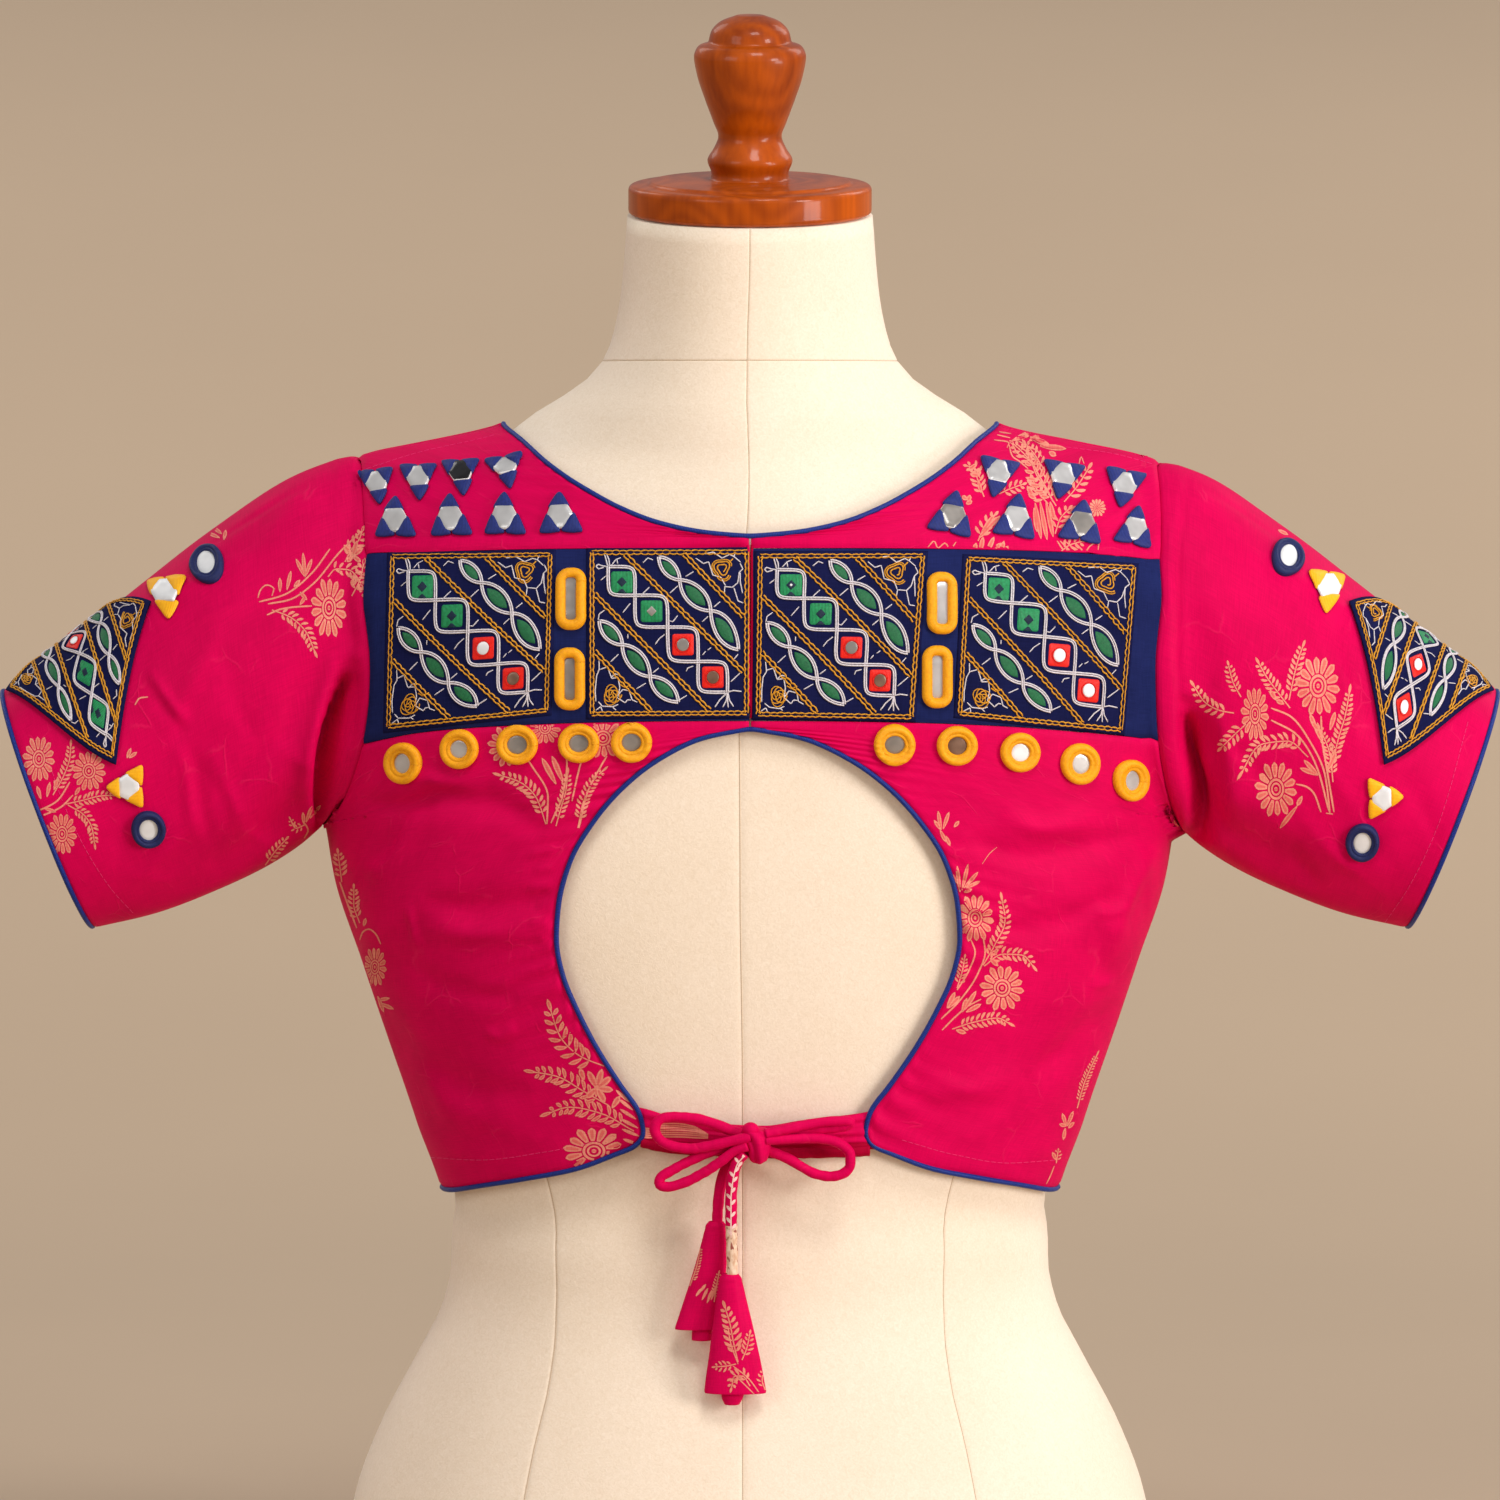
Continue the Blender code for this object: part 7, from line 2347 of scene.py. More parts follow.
# Ferns: piece, leaflet length, line from root to tip.
FERNS = (
    ("sleeve_left", 8, (328, 577), (336, 569), (349, 570), (359, 580), (368, 600)),
    ("sleeve_left", 9, (345, 562), (352, 549), (359, 540), (363, 529)),
    ("sleeve_left", 10, (352, 596), (360, 580), (364, 562)),
    ("sleeve_left", 8, (272, 610), (290, 617), (306, 632), (316, 655)),
    ("sleeve_left", 7, (53, 795), (65, 773), (70, 757), (71, 742)),
    ("sleeve_left", 7, (66, 804), (84, 800), (100, 796), (116, 795)),
    ("sleeve_left", 7, (68, 805), (84, 815), (92, 828), (95, 847)),
    ("sleeve_left", 7, (265, 865), (276, 850), (287, 838)),
    ("sleeve_left", 5, (306, 824), (296, 828), (290, 818)),
    ("lower_back_left", 8, (342, 882), (340, 866), (338, 851)),
    ("lower_back_left", 7, (360, 923), (354, 904), (354, 886)),
    ("lower_back_left", 9, (546, 824), (536, 797), (520, 782), (496, 774)),
    ("lower_back_left", 7, (556, 826), (561, 808), (566, 790), (568, 770)),
    ("lower_back_left", 7, (578, 828), (584, 800), (594, 780), (606, 768)),
    ("lower_back_left", 13, (604, 1066), (580, 1056), (560, 1036), (549, 1004)),
    ("lower_back_left", 11, (608, 1105), (585, 1092), (556, 1076), (528, 1071)),
    ("lower_back_left", 11, (634, 1131), (600, 1113), (570, 1107), (544, 1115)),
    ("sleeve_right", 9, (1234, 713), (1222, 711), (1206, 703), (1192, 683)),
    ("sleeve_right", 7, (1241, 697), (1233, 682), (1228, 663)),
    ("sleeve_right", 8, (1290, 708), (1276, 690), (1266, 676), (1257, 660)),
    ("sleeve_right", 8, (1289, 700), (1294, 676), (1298, 660), (1304, 643)),
    ("sleeve_right", 9, (1246, 724), (1234, 735), (1220, 749)),
    ("sleeve_right", 9, (1308, 757), (1288, 741), (1262, 744), (1239, 777)),
    ("sleeve_right", 8, (1331, 770), (1338, 740), (1346, 712), (1350, 687)),
    ("sleeve_right", 7, (1333, 782), (1330, 755), (1318, 725)),
    ("lower_back_right", 8, (983, 965), (994, 946), (1005, 920), (1001, 895)),
    ("lower_back_right", 8, (984, 966), (1003, 954), (1022, 955), (1035, 969)),
    ("lower_back_right", 8, (952, 1029), (974, 1022), (997, 1018), (1012, 1025)),
    ("lower_back_right", 6, (957, 988), (962, 972), (965, 956)),
    ("lower_back_right", 5, (1077, 1108), (1084, 1083), (1098, 1052)),
    ("lower_back_right", 5, (1056, 1163), (1058, 1150)),
    ("back_yoke_right", 10, (1064, 502), (1076, 488), (1090, 466)),
    ("back_yoke_right", 9, (1055, 534), (1060, 519), (1070, 508)),
    ("back_yoke_right", 8, (999, 494), (1010, 489), (1024, 484)),
    ("back_yoke_right", 12, (1056, 506), (1046, 490), (1036, 474), (1030, 458)),
    ("back_yoke_right", 10, (1048, 504), (1038, 492), (1032, 478)),
    ("back_yoke_right", 9, (1034, 466), (1024, 454), (1012, 443)),
    ("back_yoke_right", 8, (1044, 470), (1034, 454), (1024, 442)),
    ("back_yoke_right", 8, (984, 497), (979, 484), (974, 468)),
    ("back_yoke_right", 8, (980, 478), (974, 468), (966, 466)),
    ("back_yoke_right", 9, (978, 541), (984, 528), (996, 514)),
    ("back_yoke_right", 8, (1060, 552), (1070, 545), (1084, 541)),
)
# Leaves on their own: piece, width, then base and tip for each.
LEAVES = (
    ("sleeve_left", 4, (305, 577), (296, 559), (305, 577), (303, 553), (305, 577), (312, 559),
     (280, 592), (280, 578), (287, 590), (291, 571), (294, 587), (300, 580), (307, 600), (300, 592),
     (300, 605), (306, 596)),
    ("sleeve_left", 5, (353, 556), (344, 545), (353, 556), (357, 541), (353, 556), (363, 548),
     (353, 556), (347, 562), (353, 556), (361, 562)),
    ("sleeve_left", 4, (41, 799), (37, 786), (47, 797), (50, 782), (54, 790), (58, 778),
     (44, 808), (56, 812), (127, 758), (131, 748), (129, 758), (137, 752), (75, 795), (80, 787)),
    ("sleeve_left", 4, (220, 538), (208, 533), (222, 534), (214, 528), (224, 540), (226, 530)),
    ("sleeve_left", 4, (304, 824), (303, 812), (306, 822), (312, 806), (310, 818), (321, 805)),
    ("lower_back_left", 6, (556, 784), (542, 758), (563, 782), (552, 756)),
    ("lower_back_left", 4, (364, 926), (366, 918), (378, 996), (384, 1012), (380, 1003),
     (394, 1009),
     (378, 1000), (390, 998), (376, 994), (372, 1004), (378, 1004), (379, 1013)),
    ("lower_back_left", 7, (597, 1088), (588, 1071), (597, 1088), (602, 1069), (597, 1088),
     (611, 1077), (597, 1088), (613, 1090), (597, 1088), (605, 1102), (597, 1088), (586, 1098)),
    ("lower_back_left", 6, (584, 1080), (580, 1068), (612, 1108), (620, 1096)),
    ("lower_back_left", 3.4, (633, 1110), (619, 1099), (636, 1119), (620, 1109), (638, 1128),
     (621, 1119), (639, 1136), (622, 1129), (638, 1144), (623, 1139), (629, 1102), (616, 1090)),
    ("sleeve_right", 5, (1302, 796), (1297, 806), (1297, 806), (1280, 828), (1318, 775),
     (1300, 768),
     (1318, 775), (1304, 760), (1316, 730), (1310, 714), (1322, 742), (1314, 722), (1330, 730),
     (1335, 712), (1328, 770), (1336, 752), (1276, 700), (1270, 690), (1284, 704), (1276, 700)),
    ("sleeve_right", 4, (1278, 530), (1288, 535), (1284, 526), (1296, 533)),
    ("lower_back_right", 4, (941, 830), (934, 820), (941, 830), (938, 811), (943, 829), (949, 812),
     (940, 830), (946, 842), (954, 827), (959, 821), (946, 836), (950, 846)),
    ("lower_back_right", 4, (960, 892), (957, 866), (962, 890), (968, 864), (964, 888), (978, 872),
     (966, 888), (980, 881), (964, 892), (972, 889), (958, 884), (952, 872)),
    ("lower_back_right", 5, (964, 1010), (976, 991), (966, 1012), (981, 1004), (962, 1012),
     (967, 998),
     (956, 1030), (966, 1033), (947, 1008), (955, 992), (948, 1008), (960, 996), (990, 958),
     (998, 966)),
    ("lower_back_right", 4, (1181, 826), (1174, 808), (1181, 824), (1179, 803), (1180, 828),
     (1172, 820),
     (1182, 828), (1185, 812), (1173, 856), (1171, 862)),
    ("lower_back_right", 4, (1066, 1126), (1062, 1113), (1067, 1126), (1073, 1111), (1066, 1126),
     (1059, 1124), (1065, 1128), (1063, 1140), (1068, 1128), (1074, 1122), (1056, 1160),
     (1052, 1152)),
    ("back_yoke_right", 6, (1012, 441), (1035, 431), (1030, 437), (1050, 446), (1047, 436),
     (1065, 434), (1040, 446), (1066, 449), (1029, 441), (1046, 433), (1049, 452), (1056, 456)),
    ("back_yoke_right", 5, (1033, 497), (1027, 486), (1036, 499), (1028, 494), (1035, 503),
     (1041, 539),
     (1040, 502), (1047, 540), (1046, 502), (1053, 537), (1034, 508), (1037, 532), (1050, 502),
     (1054, 520)),
    ("back_yoke_right", 5, (981, 534), (994, 515), (984, 532), (1000, 516), (979, 538), (990, 526),
     (967, 500), (962, 496), (968, 502), (970, 495), (966, 504), (972, 501)),
    ("back_yoke_right", 5, (974, 552), (976, 543), (980, 553), (983, 537), (986, 554), (994, 537),
     (990, 554), (1001, 543), (1000, 553), (1004, 541), (1003, 553), (1008, 546)),
    ("back_yoke_right", 4, (968, 470), (977, 464), (970, 474), (980, 476), (978, 480), (981, 493),
     (1070, 513), (1076, 506)),
)
PRINT_LIFT = 0.00013
PRINT_PIXEL = 0.00044  # metres of flat cloth to a pixel, for the sprays' own weave
PRINT_TEAR = 0.006  # a longer step than this has run off the cloth
PETALS = 14
LEAFLET = (0.36, 0.76)  # a fern's leaflets: width and pitch, as shares of their length
INLAY = (0.42, 3.6, 0.00004)  # the deeper middle of a broad shape: share, least width, lift


def strip(line, half):
    """Left and right sides of a narrow shape along a line."""
    side = unit(np.gradient(line, axis=0)) @ np.array(((0.0, 1.0), (-1.0, 0.0)))
    return np.stack((line + side * half[:, None], line - side * half[:, None]), axis=1)


def stem(points, width):
    line = Route(points)(np.linspace(0, 1, 40))
    line = resample(line, 2.5)
    ends = np.minimum(np.arange(len(line)), np.arange(len(line))[::-1])
    return strip(line, width / 2 * (0.6 + 0.4 * np.clip(ends / 2, 0, 1)))


def leaf(base, tip, width, bend=0.0):
    base, tip = np.array(base, float), np.array(tip, float)
    t = np.linspace(0, 1, max(5, int(np.linalg.norm(tip - base) / 2.2)))
    way = tip - base
    off = np.array((way[1], -way[0])) * bend
    line = base + way * t[:, None] + off * (4 * t * (1 - t))[:, None]
    half = width / 2 * np.interp(t, (0, 0.25, 0.6, 0.85, 1), (0.22, 0.75, 1.0, 0.72, 0.12))
    return strip(line, half)


def fern(points, length, seed):
    """A spine with pairs of leaflets that shorten towards its tip."""
    route = Route(points)
    line = route(np.linspace(0, 1, 60))
    tangent = unit(np.gradient(line, axis=0))
    shapes = [strip(line[::4], np.full(15, 0.6))]
    wide = LEAFLET[0] * length
    count = max(3, int(route.length / (LEAFLET[1] * length)))
    random = np.random.default_rng(seed)
    for k in range(count):
        share = 0.12 + 0.80 * (k + 0.5) / count
        at = int(share * 59)
        size = length * (0.66 + 0.50 * math.sin(math.pi * min(1.0, share + 0.12)))
        size *= random.uniform(0.88, 1.08)
        for way in (1, -1):
            lean = math.radians(random.uniform(44, 54)) * way
            c, s = math.cos(lean), math.sin(lean)
            x, y = tangent[at]
            out = np.array((x * c - y * s, x * s + y * c))
            tip = line[at] + size * out
            shapes.append(leaf(line[at] + 1.3 * out, tip, wide, -0.08 * way))
    shapes.append(leaf(line[54], line[-1] + tangent[-1] * length * 0.40, wide))
    return shapes


def daisy(x, y, wide, tall, lean):
    """Long petals round two rings and an eye."""
    shapes = []
    lean = math.radians(lean)
    turn = np.array(((math.cos(lean), math.sin(lean)), (-math.sin(lean), math.cos(lean))))
    for k in range(PETALS):
        about = 2 * math.pi * (k + 0.3) / PETALS
        way = np.array((math.cos(about), math.sin(about)))
        size = 1.0 + 0.05 * math.sin(3.7 * k)
        t = np.linspace(0, 1, 7)
        middle = way * (0.42 + (size - 0.42) * t)[:, None]
        half = np.interp(t, (0, 0.3, 0.7, 0.9, 1), (0.40, 0.75, 1.0, 0.72, 0.10))
        half = half * math.pi / PETALS * 0.64
        shapes.append(strip(middle, half))
    for reach, thick in ((0.34, 0.045), (0.20, 0.035)):
        about = np.linspace(0, 2 * math.pi, 25)
        ring = np.stack((np.cos(about), np.sin(about)), -1)
        shapes.append(np.stack((ring * (reach + thick), ring * (reach - thick)), axis=1))
    about = np.linspace(0, math.pi, 7)
    eye = np.stack((np.cos(about) * 0.08, np.sin(about) * 0.08), -1)
    shapes.append(np.stack((eye, eye * (1, -1)), axis=1))
    return [np.array((x, y)) + (shape @ turn) * (wide, tall) for shape in shapes]


def inlays(shapes):
    """The middles of the broad shapes."""
    share, least, _ = INLAY
    made = []
    for shape in shapes:
        if len(shape) > 4 and np.linalg.norm(shape[:, 0] - shape[:, 1], axis=-1).max() > least:
            middle = shape.mean(1, keepdims=True)
            made.append((middle + (shape - middle) * share)[1:-1])
    return made


def lay_prints(name, node, shapes, finish):
    """Shapes laid flat on one cloth; what would fall off its edge is left out."""
    bundle = Bundle()
    layers = ((shapes, PRINT_LIFT), (inlays(shapes), PRINT_LIFT + INLAY[2]))
    for slot, (group, lift) in enumerate(layers):
        if not group:
            continue
        points, _, found = SKINS[node].seen(np.concatenate(group), lift)
        first = 0
        for shape in group:
            last = first + len(shape)
            good = found[first:last].all(1)
            rows = points[first:last]
            steps = np.linalg.norm(np.diff(rows, axis=0), axis=-1).max(1)
            for k in range(len(shape) - 1):
                if good[k] and good[k + 1] and steps[k] < PRINT_TEAR:
                    flat = shape[k : k + 2] * PRINT_PIXEL
                    bundle.add(rows[k : k + 2], [(0, 1, 3, 2)], slot, flat)
            first = last
    if bundle.total:
        bundle.make(name, [finish, PRINT_DEEP])


def make_prints():
    pieces = {}
    for node, x, y, wide, tall, lean in DAISIES:
        pieces.setdefault(node, []).extend(daisy(x, y, wide, tall, lean))
    for node, width, *points in STEMS:
        pieces.setdefault(node, []).append(stem(points, width))
    for number, (node, length, *points) in enumerate(FERNS):
        pieces.setdefault(node, []).extend(fern(points, length, number))
    for node, width, *points in LEAVES:
        for base, tip in zip(points[::2], points[1::2]):
            pieces.setdefault(node, []).append(leaf(base, tip, width))
    for node, shapes in pieces.items():
        lay_prints("sprays_" + node, node, shapes, PRINT)


# ---------------------------------------------------------------- pipings


PIPING_LAP = 0.0003  # how far the piping laps onto the cloth's edge


def piping_points(edge, shares, away, point, normal_of):
    """Tube centres just off an edge given by its places, as the part has them."""
    places = edge(shares)
    here = point(places[:, 0], places[:, 1])
    tangent = unit(np.gradient(here, axis=0))
    normal = normal_of(places[:, 0], places[:, 1])
    off = np.cross(normal, tangent) * away
    return here - normal * WALL / 2 + off * (PIPING_RADIUS - PIPING_LAP)


def folded_bodice(angle, height):
    return bodice_point(angle, height, fold_depth(angle, height))


MIRROR = np.array((-1.0, 1.0, 1.0))


def make_piping(name, points, node, seed):
    points = eased_loop(resample(points, 0.0016, closed=True), 5)
    wander = wavy(points, 0.018, seed)[:, None] * 0.00008
    points = points + wander
    radius = PIPING_RADIUS * (1.02 + 0.04 * wavy(points, 0.006, seed + 3))
    bundle = Bundle()
    verts, faces, flat = tube(points, radius, 10, closed=True)
    bundle.add(verts, faces, 0, flat)
    made = bundle.make(name, PIPING)
    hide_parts(node)


def make_pipings():
    fine = np.linspace(0, 1, 90)
    edge = (folded_bodice, figure_normal)
    back = piping_points(back_neckline(), fine, 1, *edge)
    front = piping_points(front_neckline, fine[:-1], -1, *edge)[::-1]
    half = np.concatenate([back[1:], front])
    make_piping("piping_neck", np.concatenate([half, (half * MIRROR)[::-1]]), "neck_piping", 3)

    halves = []
    for side in (1, -1):
        keyhole, hem = keyhole_edge(side), back_hem(side)

        def whole(t):
            return np.concatenate([keyhole(t), hem(t)[1:]])

        line = piping_points(whole, fine, -1, *edge)
        front = piping_points(reversed_edge(front_hem), fine, -1, *edge)
        line = np.concatenate([line, front[1:]])
        line[0, 0] = PIPING_RADIUS + GAP
        halves.append(line)
    loop = np.concatenate([halves[0], (halves[1] * MIRROR)[::-1]])
    make_piping("piping_edge", loop, "edge_piping", 5)

    for side, label in ((-1, "left"), (1, "right")):
        turn = np.linspace(0, 2 * math.pi, 97)[:-1]
        here = sleeve_point(1.0, turn)
        out = unit(here - sleeve_point(0.97, turn))
        normal = sleeve_normal(1.0, turn)
        line = here - normal * WALL / 2 + out * (PIPING_RADIUS - PIPING_LAP)
        line = line * np.array((side, 1.0, 1.0))
        make_piping("piping_cuff_" + label, line, "cuff_piping_" + label, 7 + side)


# Stitch lines: name, piece, and line in the photograph's frame.
STITCH_LINES = (
    ("stitches_shoulder_left", "back_yoke_left", (360, 471), (420, 452), (490, 436), (496, 434)),
    ("stitches_shoulder_right", "back_yoke_right", (1066, 447), (1110, 453), (1160, 466)),
    ("stitches_hem_left", "lower_back_left", (424, 1157), (480, 1160), (545, 1152), (600, 1141)),
    ("stitches_hem_right", "lower_back_right", (902, 1140), (956, 1155), (1008, 1163),
     (1056, 1160)),
    ("stitches_cuff_left", "sleeve_left", (42, 740), (62, 800), (86, 850), (112, 890), (134, 914)),
    ("stitches_cuff_right", "sleeve_right", (1468, 722), (1440, 820), (1410, 885), (1384, 924)),
)
STITCH, STITCH_GAP, STITCH_RADIUS = 0.0021, 0.0007, 0.00013
# The rolled edges of the opening, left and right, in the photograph's frame.
OPENING = ((748.4, 545), (748.6, 640), (749.2, 724)), ((751.8, 545), (752.0, 640), (751.0, 724))


OPENING_RADIUS = 0.00062


def make_stitches():
    for name, node, *line in STITCH_LINES:
        route = Route(line)
        count = int(route.length * PIXEL / (STITCH + STITCH_GAP))
        bundle = Bundle()
        for k in range(count):
            ends = (k + np.array((0.0, STITCH / (STITCH + STITCH_GAP)))) / count
            points, normals, found = SKINS[node].seen(route(np.linspace(*ends, 5)), 0.00004)
            if found.all():
                verts, faces, flat = tube(points, STITCH_RADIUS, 5, up=normals[2])
                bundle.add(verts, faces, 0, flat)
        if bundle.total:
            bundle.make(name, LIGHT_THREAD)


def make_opening_edges():
    """The rolled edges that meet down the centre back."""
    for label, line in zip(("left", "right"), OPENING):
        pixels = resample(Route(line)(np.linspace(0, 1, 60)), 3.0)
        points, _, found = SKINS["back_band_" + label].seen(pixels, -0.0001)
        upper, _, above = SKINS["back_yoke_" + label].seen(pixels, -0.0001)
        points[above], found = upper[above], found | above
        verts, faces, flat = tube(eased_line(points[found], 4), OPENING_RADIUS, 8)
        bundle = Bundle()
        bundle.add(verts, faces, 0, flat)
        # the right edge, in the gap, is painted shade in the darker pink
        bundle.make("opening_edge_" + label, PINK if label == "left" else SHADED_PINK)


# ---------------------------------------------------------------- cords, bow and tassels


def on_plane(rows):
    """Points from rows of photograph x, photograph y and the depth y of each."""
    rows = np.asarray(rows, float)
    rays = pixel_rays(rows[:, :2])
    return EYE + rays * ((rows[:, 2] - EYE[1]) / rays[:, 1])[:, None]


# The strap's cord and the bow's loops: photograph x and y, and depth.
STRAPS = (
    (642.0, 1142.0, -0.0846),
    (660.0, 1146.5, -0.0862),
    (700.0, 1150.0, -0.0868),
    (754.6, 1152.0, -0.0870),
    (800.0, 1152.5, -0.0868),
    (842.0, 1152.0, -0.0860),
    (869.0, 1150.5, -0.0838),
)
LOOPS = (
    (
        (751, 1137, -0.0975),
        (733, 1131, -0.0970),
        (713, 1123.5, -0.0963),
        (691, 1118, -0.0958),
        (672, 1116.5, -0.0956),
        (659, 1120, -0.0957),
        (654.5, 1129, -0.0959),
        (660, 1140, -0.0963),
        (674, 1146.5, -0.0970),
        (690, 1148.5, -0.0980),
        (709, 1146, -0.0998),
        (730, 1141.5, -0.1018),
        (751, 1137, -0.1030),
    ),
    (
        (749, 1141, -0.0975),
        (729.5, 1146, -0.0970),
        (710.5, 1152, -0.0964),
        (689.5, 1161, -0.0959),
        (671, 1171, -0.0956),
        (660, 1178.5, -0.0956),
        (659, 1184.5, -0.0958),
        (667, 1187, -0.0962),
        (683, 1183, -0.0970),
        (704, 1172.5, -0.0984),
        (722, 1160.5, -0.1004),
        (735, 1150.5, -0.1018),
        (748, 1146, -0.1028),
    ),
    (
        (764, 1149, -0.0975),
        (776, 1153.5, -0.0970),
        (789, 1159, -0.0966),
        (802, 1167, -0.0961),
        (816, 1174, -0.0958),
        (830.5, 1176.5, -0.0957),
        (843.5, 1173.5, -0.0957),
        (850.5, 1165, -0.0958),
        (850.5, 1155, -0.0961),
        (843.5, 1146, -0.0966),
        (830.5, 1140, -0.0973),
        (813, 1138, -0.0984),
        (793, 1138.5, -0.1003),
        (765, 1140.5, -0.1026),
    ),
    (
        (765, 1134, -0.0975),
        (790, 1133, -0.0966),
        (815, 1130, -0.0960),
        (836, 1128, -0.0958),
        (848, 1125.5, -0.0961),
        (851, 1122.5, -0.0966),
        (846, 1121, -0.0972),
        (830, 1121.5, -0.0980),
        (808, 1124.5, -0.0990),
        (788, 1129, -0.1010),
        (765, 1134, -0.1028),
    ),
)
LOOP_RADIUS = 0.90  # of the cord's own, where the loops pull it thin
CORD_STEP, CORD_SIDES = 0.0009, 16
PLAIN_END = (
    (736.0, 1154.0, -0.0945),
    (727.0, 1167.0, -0.0935),
    (721.0, 1184.0, -0.0925),
    (718.5, 1200.0, -0.0920),
    (717.3, 1219.0, -0.0916),
    (717.3, 1226.0, -0.0916),
)
PRINTED_END = (
    (744.5, 1153.0, -0.1015),
    (737.0, 1163.0, -0.1005),
    (732.6, 1178.0, -0.0998),
    (731.0, 1200.0, -0.0992),
    (731.3, 1222.0, -0.0988),
    (732.2, 1250.0, -0.0986),
    (732.4, 1279.0, -0.0986),
)
PALE_SHARE = 0.60  # where the printed end turns pale
SIDE_TASSEL = (
    (-0.0146, -0.0915, 0.2075, 0.0041, 0.0034),
    (-0.0154, -0.0912, 0.1980, 0.0056, 0.0038),
    (-0.0184, -0.0908, 0.1800, 0.0077, 0.0039),
    (-0.0228, -0.0908, 0.1603, 0.0100, 0.0039),
)
SIDE_ROLL = ((-0.0208, -0.0910, 0.1650, 0.0042, 0.0030), (-0.0206, -0.0910, 0.1556, 0.0045, 0.0030))
FRONT_TASSEL = (
    (-0.0084, -0.0985, 0.1858, 0.0046, 0.0038),
    (-0.0080, -0.0988, 0.1770, 0.0062, 0.0042),
    (-0.0070, -0.0992, 0.1545, 0.0102, 0.0045),
    (-0.0062, -0.0990, 0.1338, 0.0138, 0.0048),
)
FRONT_ROLL = (
    (-0.0072, -0.0988, 0.1375, 0.0052, 0.0032),
    (-0.0076, -0.0988, 0.1322, 0.0047, 0.0030),
    (-0.0078, -0.0988, 0.1288, 0.0032, 0.0024),
)
# The gathered band behind the bow: photograph x, top y, bottom y and depth.
STRAP_BAND = (
    (635, 1107, 1142, -0.0846),
    (648, 1110, 1144, -0.0872),
    (668, 1116, 1147, -0.0884),
    (700, 1121, 1149, -0.0890),
    (735, 1125, 1150, -0.0894),
    (765, 1126, 1150, -0.0894),
    (800, 1121, 1150, -0.0890),
    (835, 1117, 1150, -0.0884),
    (858, 1114, 1150, -0.0870),
    (886, 1108, 1150, -0.0824),
)
# The band's folds: place from the top, height, width.
BAND_FOLDS = (
    (0.10, 0.0010, 0.07),
    (0.30, -0.0008, 0.06),
    (0.47, 0.0009, 0.07),
    (0.66, -0.0007, 0.06),
    (0.84, -0.0006, 0.05),
)
BAND_HEM = 0.80  # below it the band's turned edge takes the darker pink, painted shade
BAND_THICK = 0.0006


def make_strap_band():
    table = np.array(STRAP_BAND, float)
    x = np.linspace(table[0, 0], table[-1, 0], 120)
    top, bottom, depth = (Profile(table[:, 0], table[:, k])(x) for k in (1, 2, 3))
    share = np.linspace(0, 1, 36)[:, None]
    y = top + (bottom - top) * share
    pixels = np.stack((*np.broadcast_arrays(x, y), np.broadcast_to(depth, y.shape)), -1)
    grid = on_plane(pixels.reshape(-1, 3)).reshape(*y.shape, 3)
    run = (x - x[0]) / (x[-1] - x[0])
    relief = np.zeros(y.shape)
    for at, high, wide in BAND_FOLDS:
        line = at + 0.05 * np.sin(6.0 * run + 20 * at)
        swell = 0.7 + 0.3 * np.sin(9.0 * run + 31 * at)
        relief = relief + high * swell * np.exp(-(((share - line) / wide) ** 2))
    ends = np.clip(np.minimum(run, 1 - run) / 0.10, 0, 1)
    relief = relief * ends + 0.00012 * wavy(grid, 0.006, 12)
    round_off = 0.0016 * ((np.abs(share - 0.5) * 2) ** 6)
    grid[..., 1] -= relief - round_off
    normals = grid_normals(grid)
    if float(np.sum(normals[..., 1])) > 0:
        normals = -normals
    flat = np.stack(np.broadcast_arrays(x * PIXEL, share * 0.017), -1)
    bundle = Bundle()
    outer, ways, flats = facing_out(grid, normals, flat)
    cut = int(BAND_HEM * (len(share) - 1))
    cloth_shell(bundle, outer[: cut + 1], ways[: cut + 1], flats[: cut + 1], 0, thick=BAND_THICK)
    # the turned hem below BAND_HEM is painted shade in the darker pink
    cloth_shell(bundle, outer[cut:], ways[cut:], flats[cut:], 1, thick=BAND_THICK)
    bundle.make("strap_band", [PINK, SHADED_PINK])
    SKINS["strap_band"] = Skin([(outer, False)])
    lines = [stem(((654, 1124 + 2.1 * k), (676, 1123.5 + 2.2 * k), (692 + 2 * k, 1126 + 2.0 * k),
                   (708, 1134.5 + 0.6 * k)), 1.5) for k in range(7)]
    lines += [stem(((640, 1128 + 2.2 * k), (646, 1128.5 + 2.2 * k), (652, 1129 + 2.2 * k)), 2.0)
              for k in range(5)]
    lay_prints("sprays_strap", "strap_band", lines, PRINT)


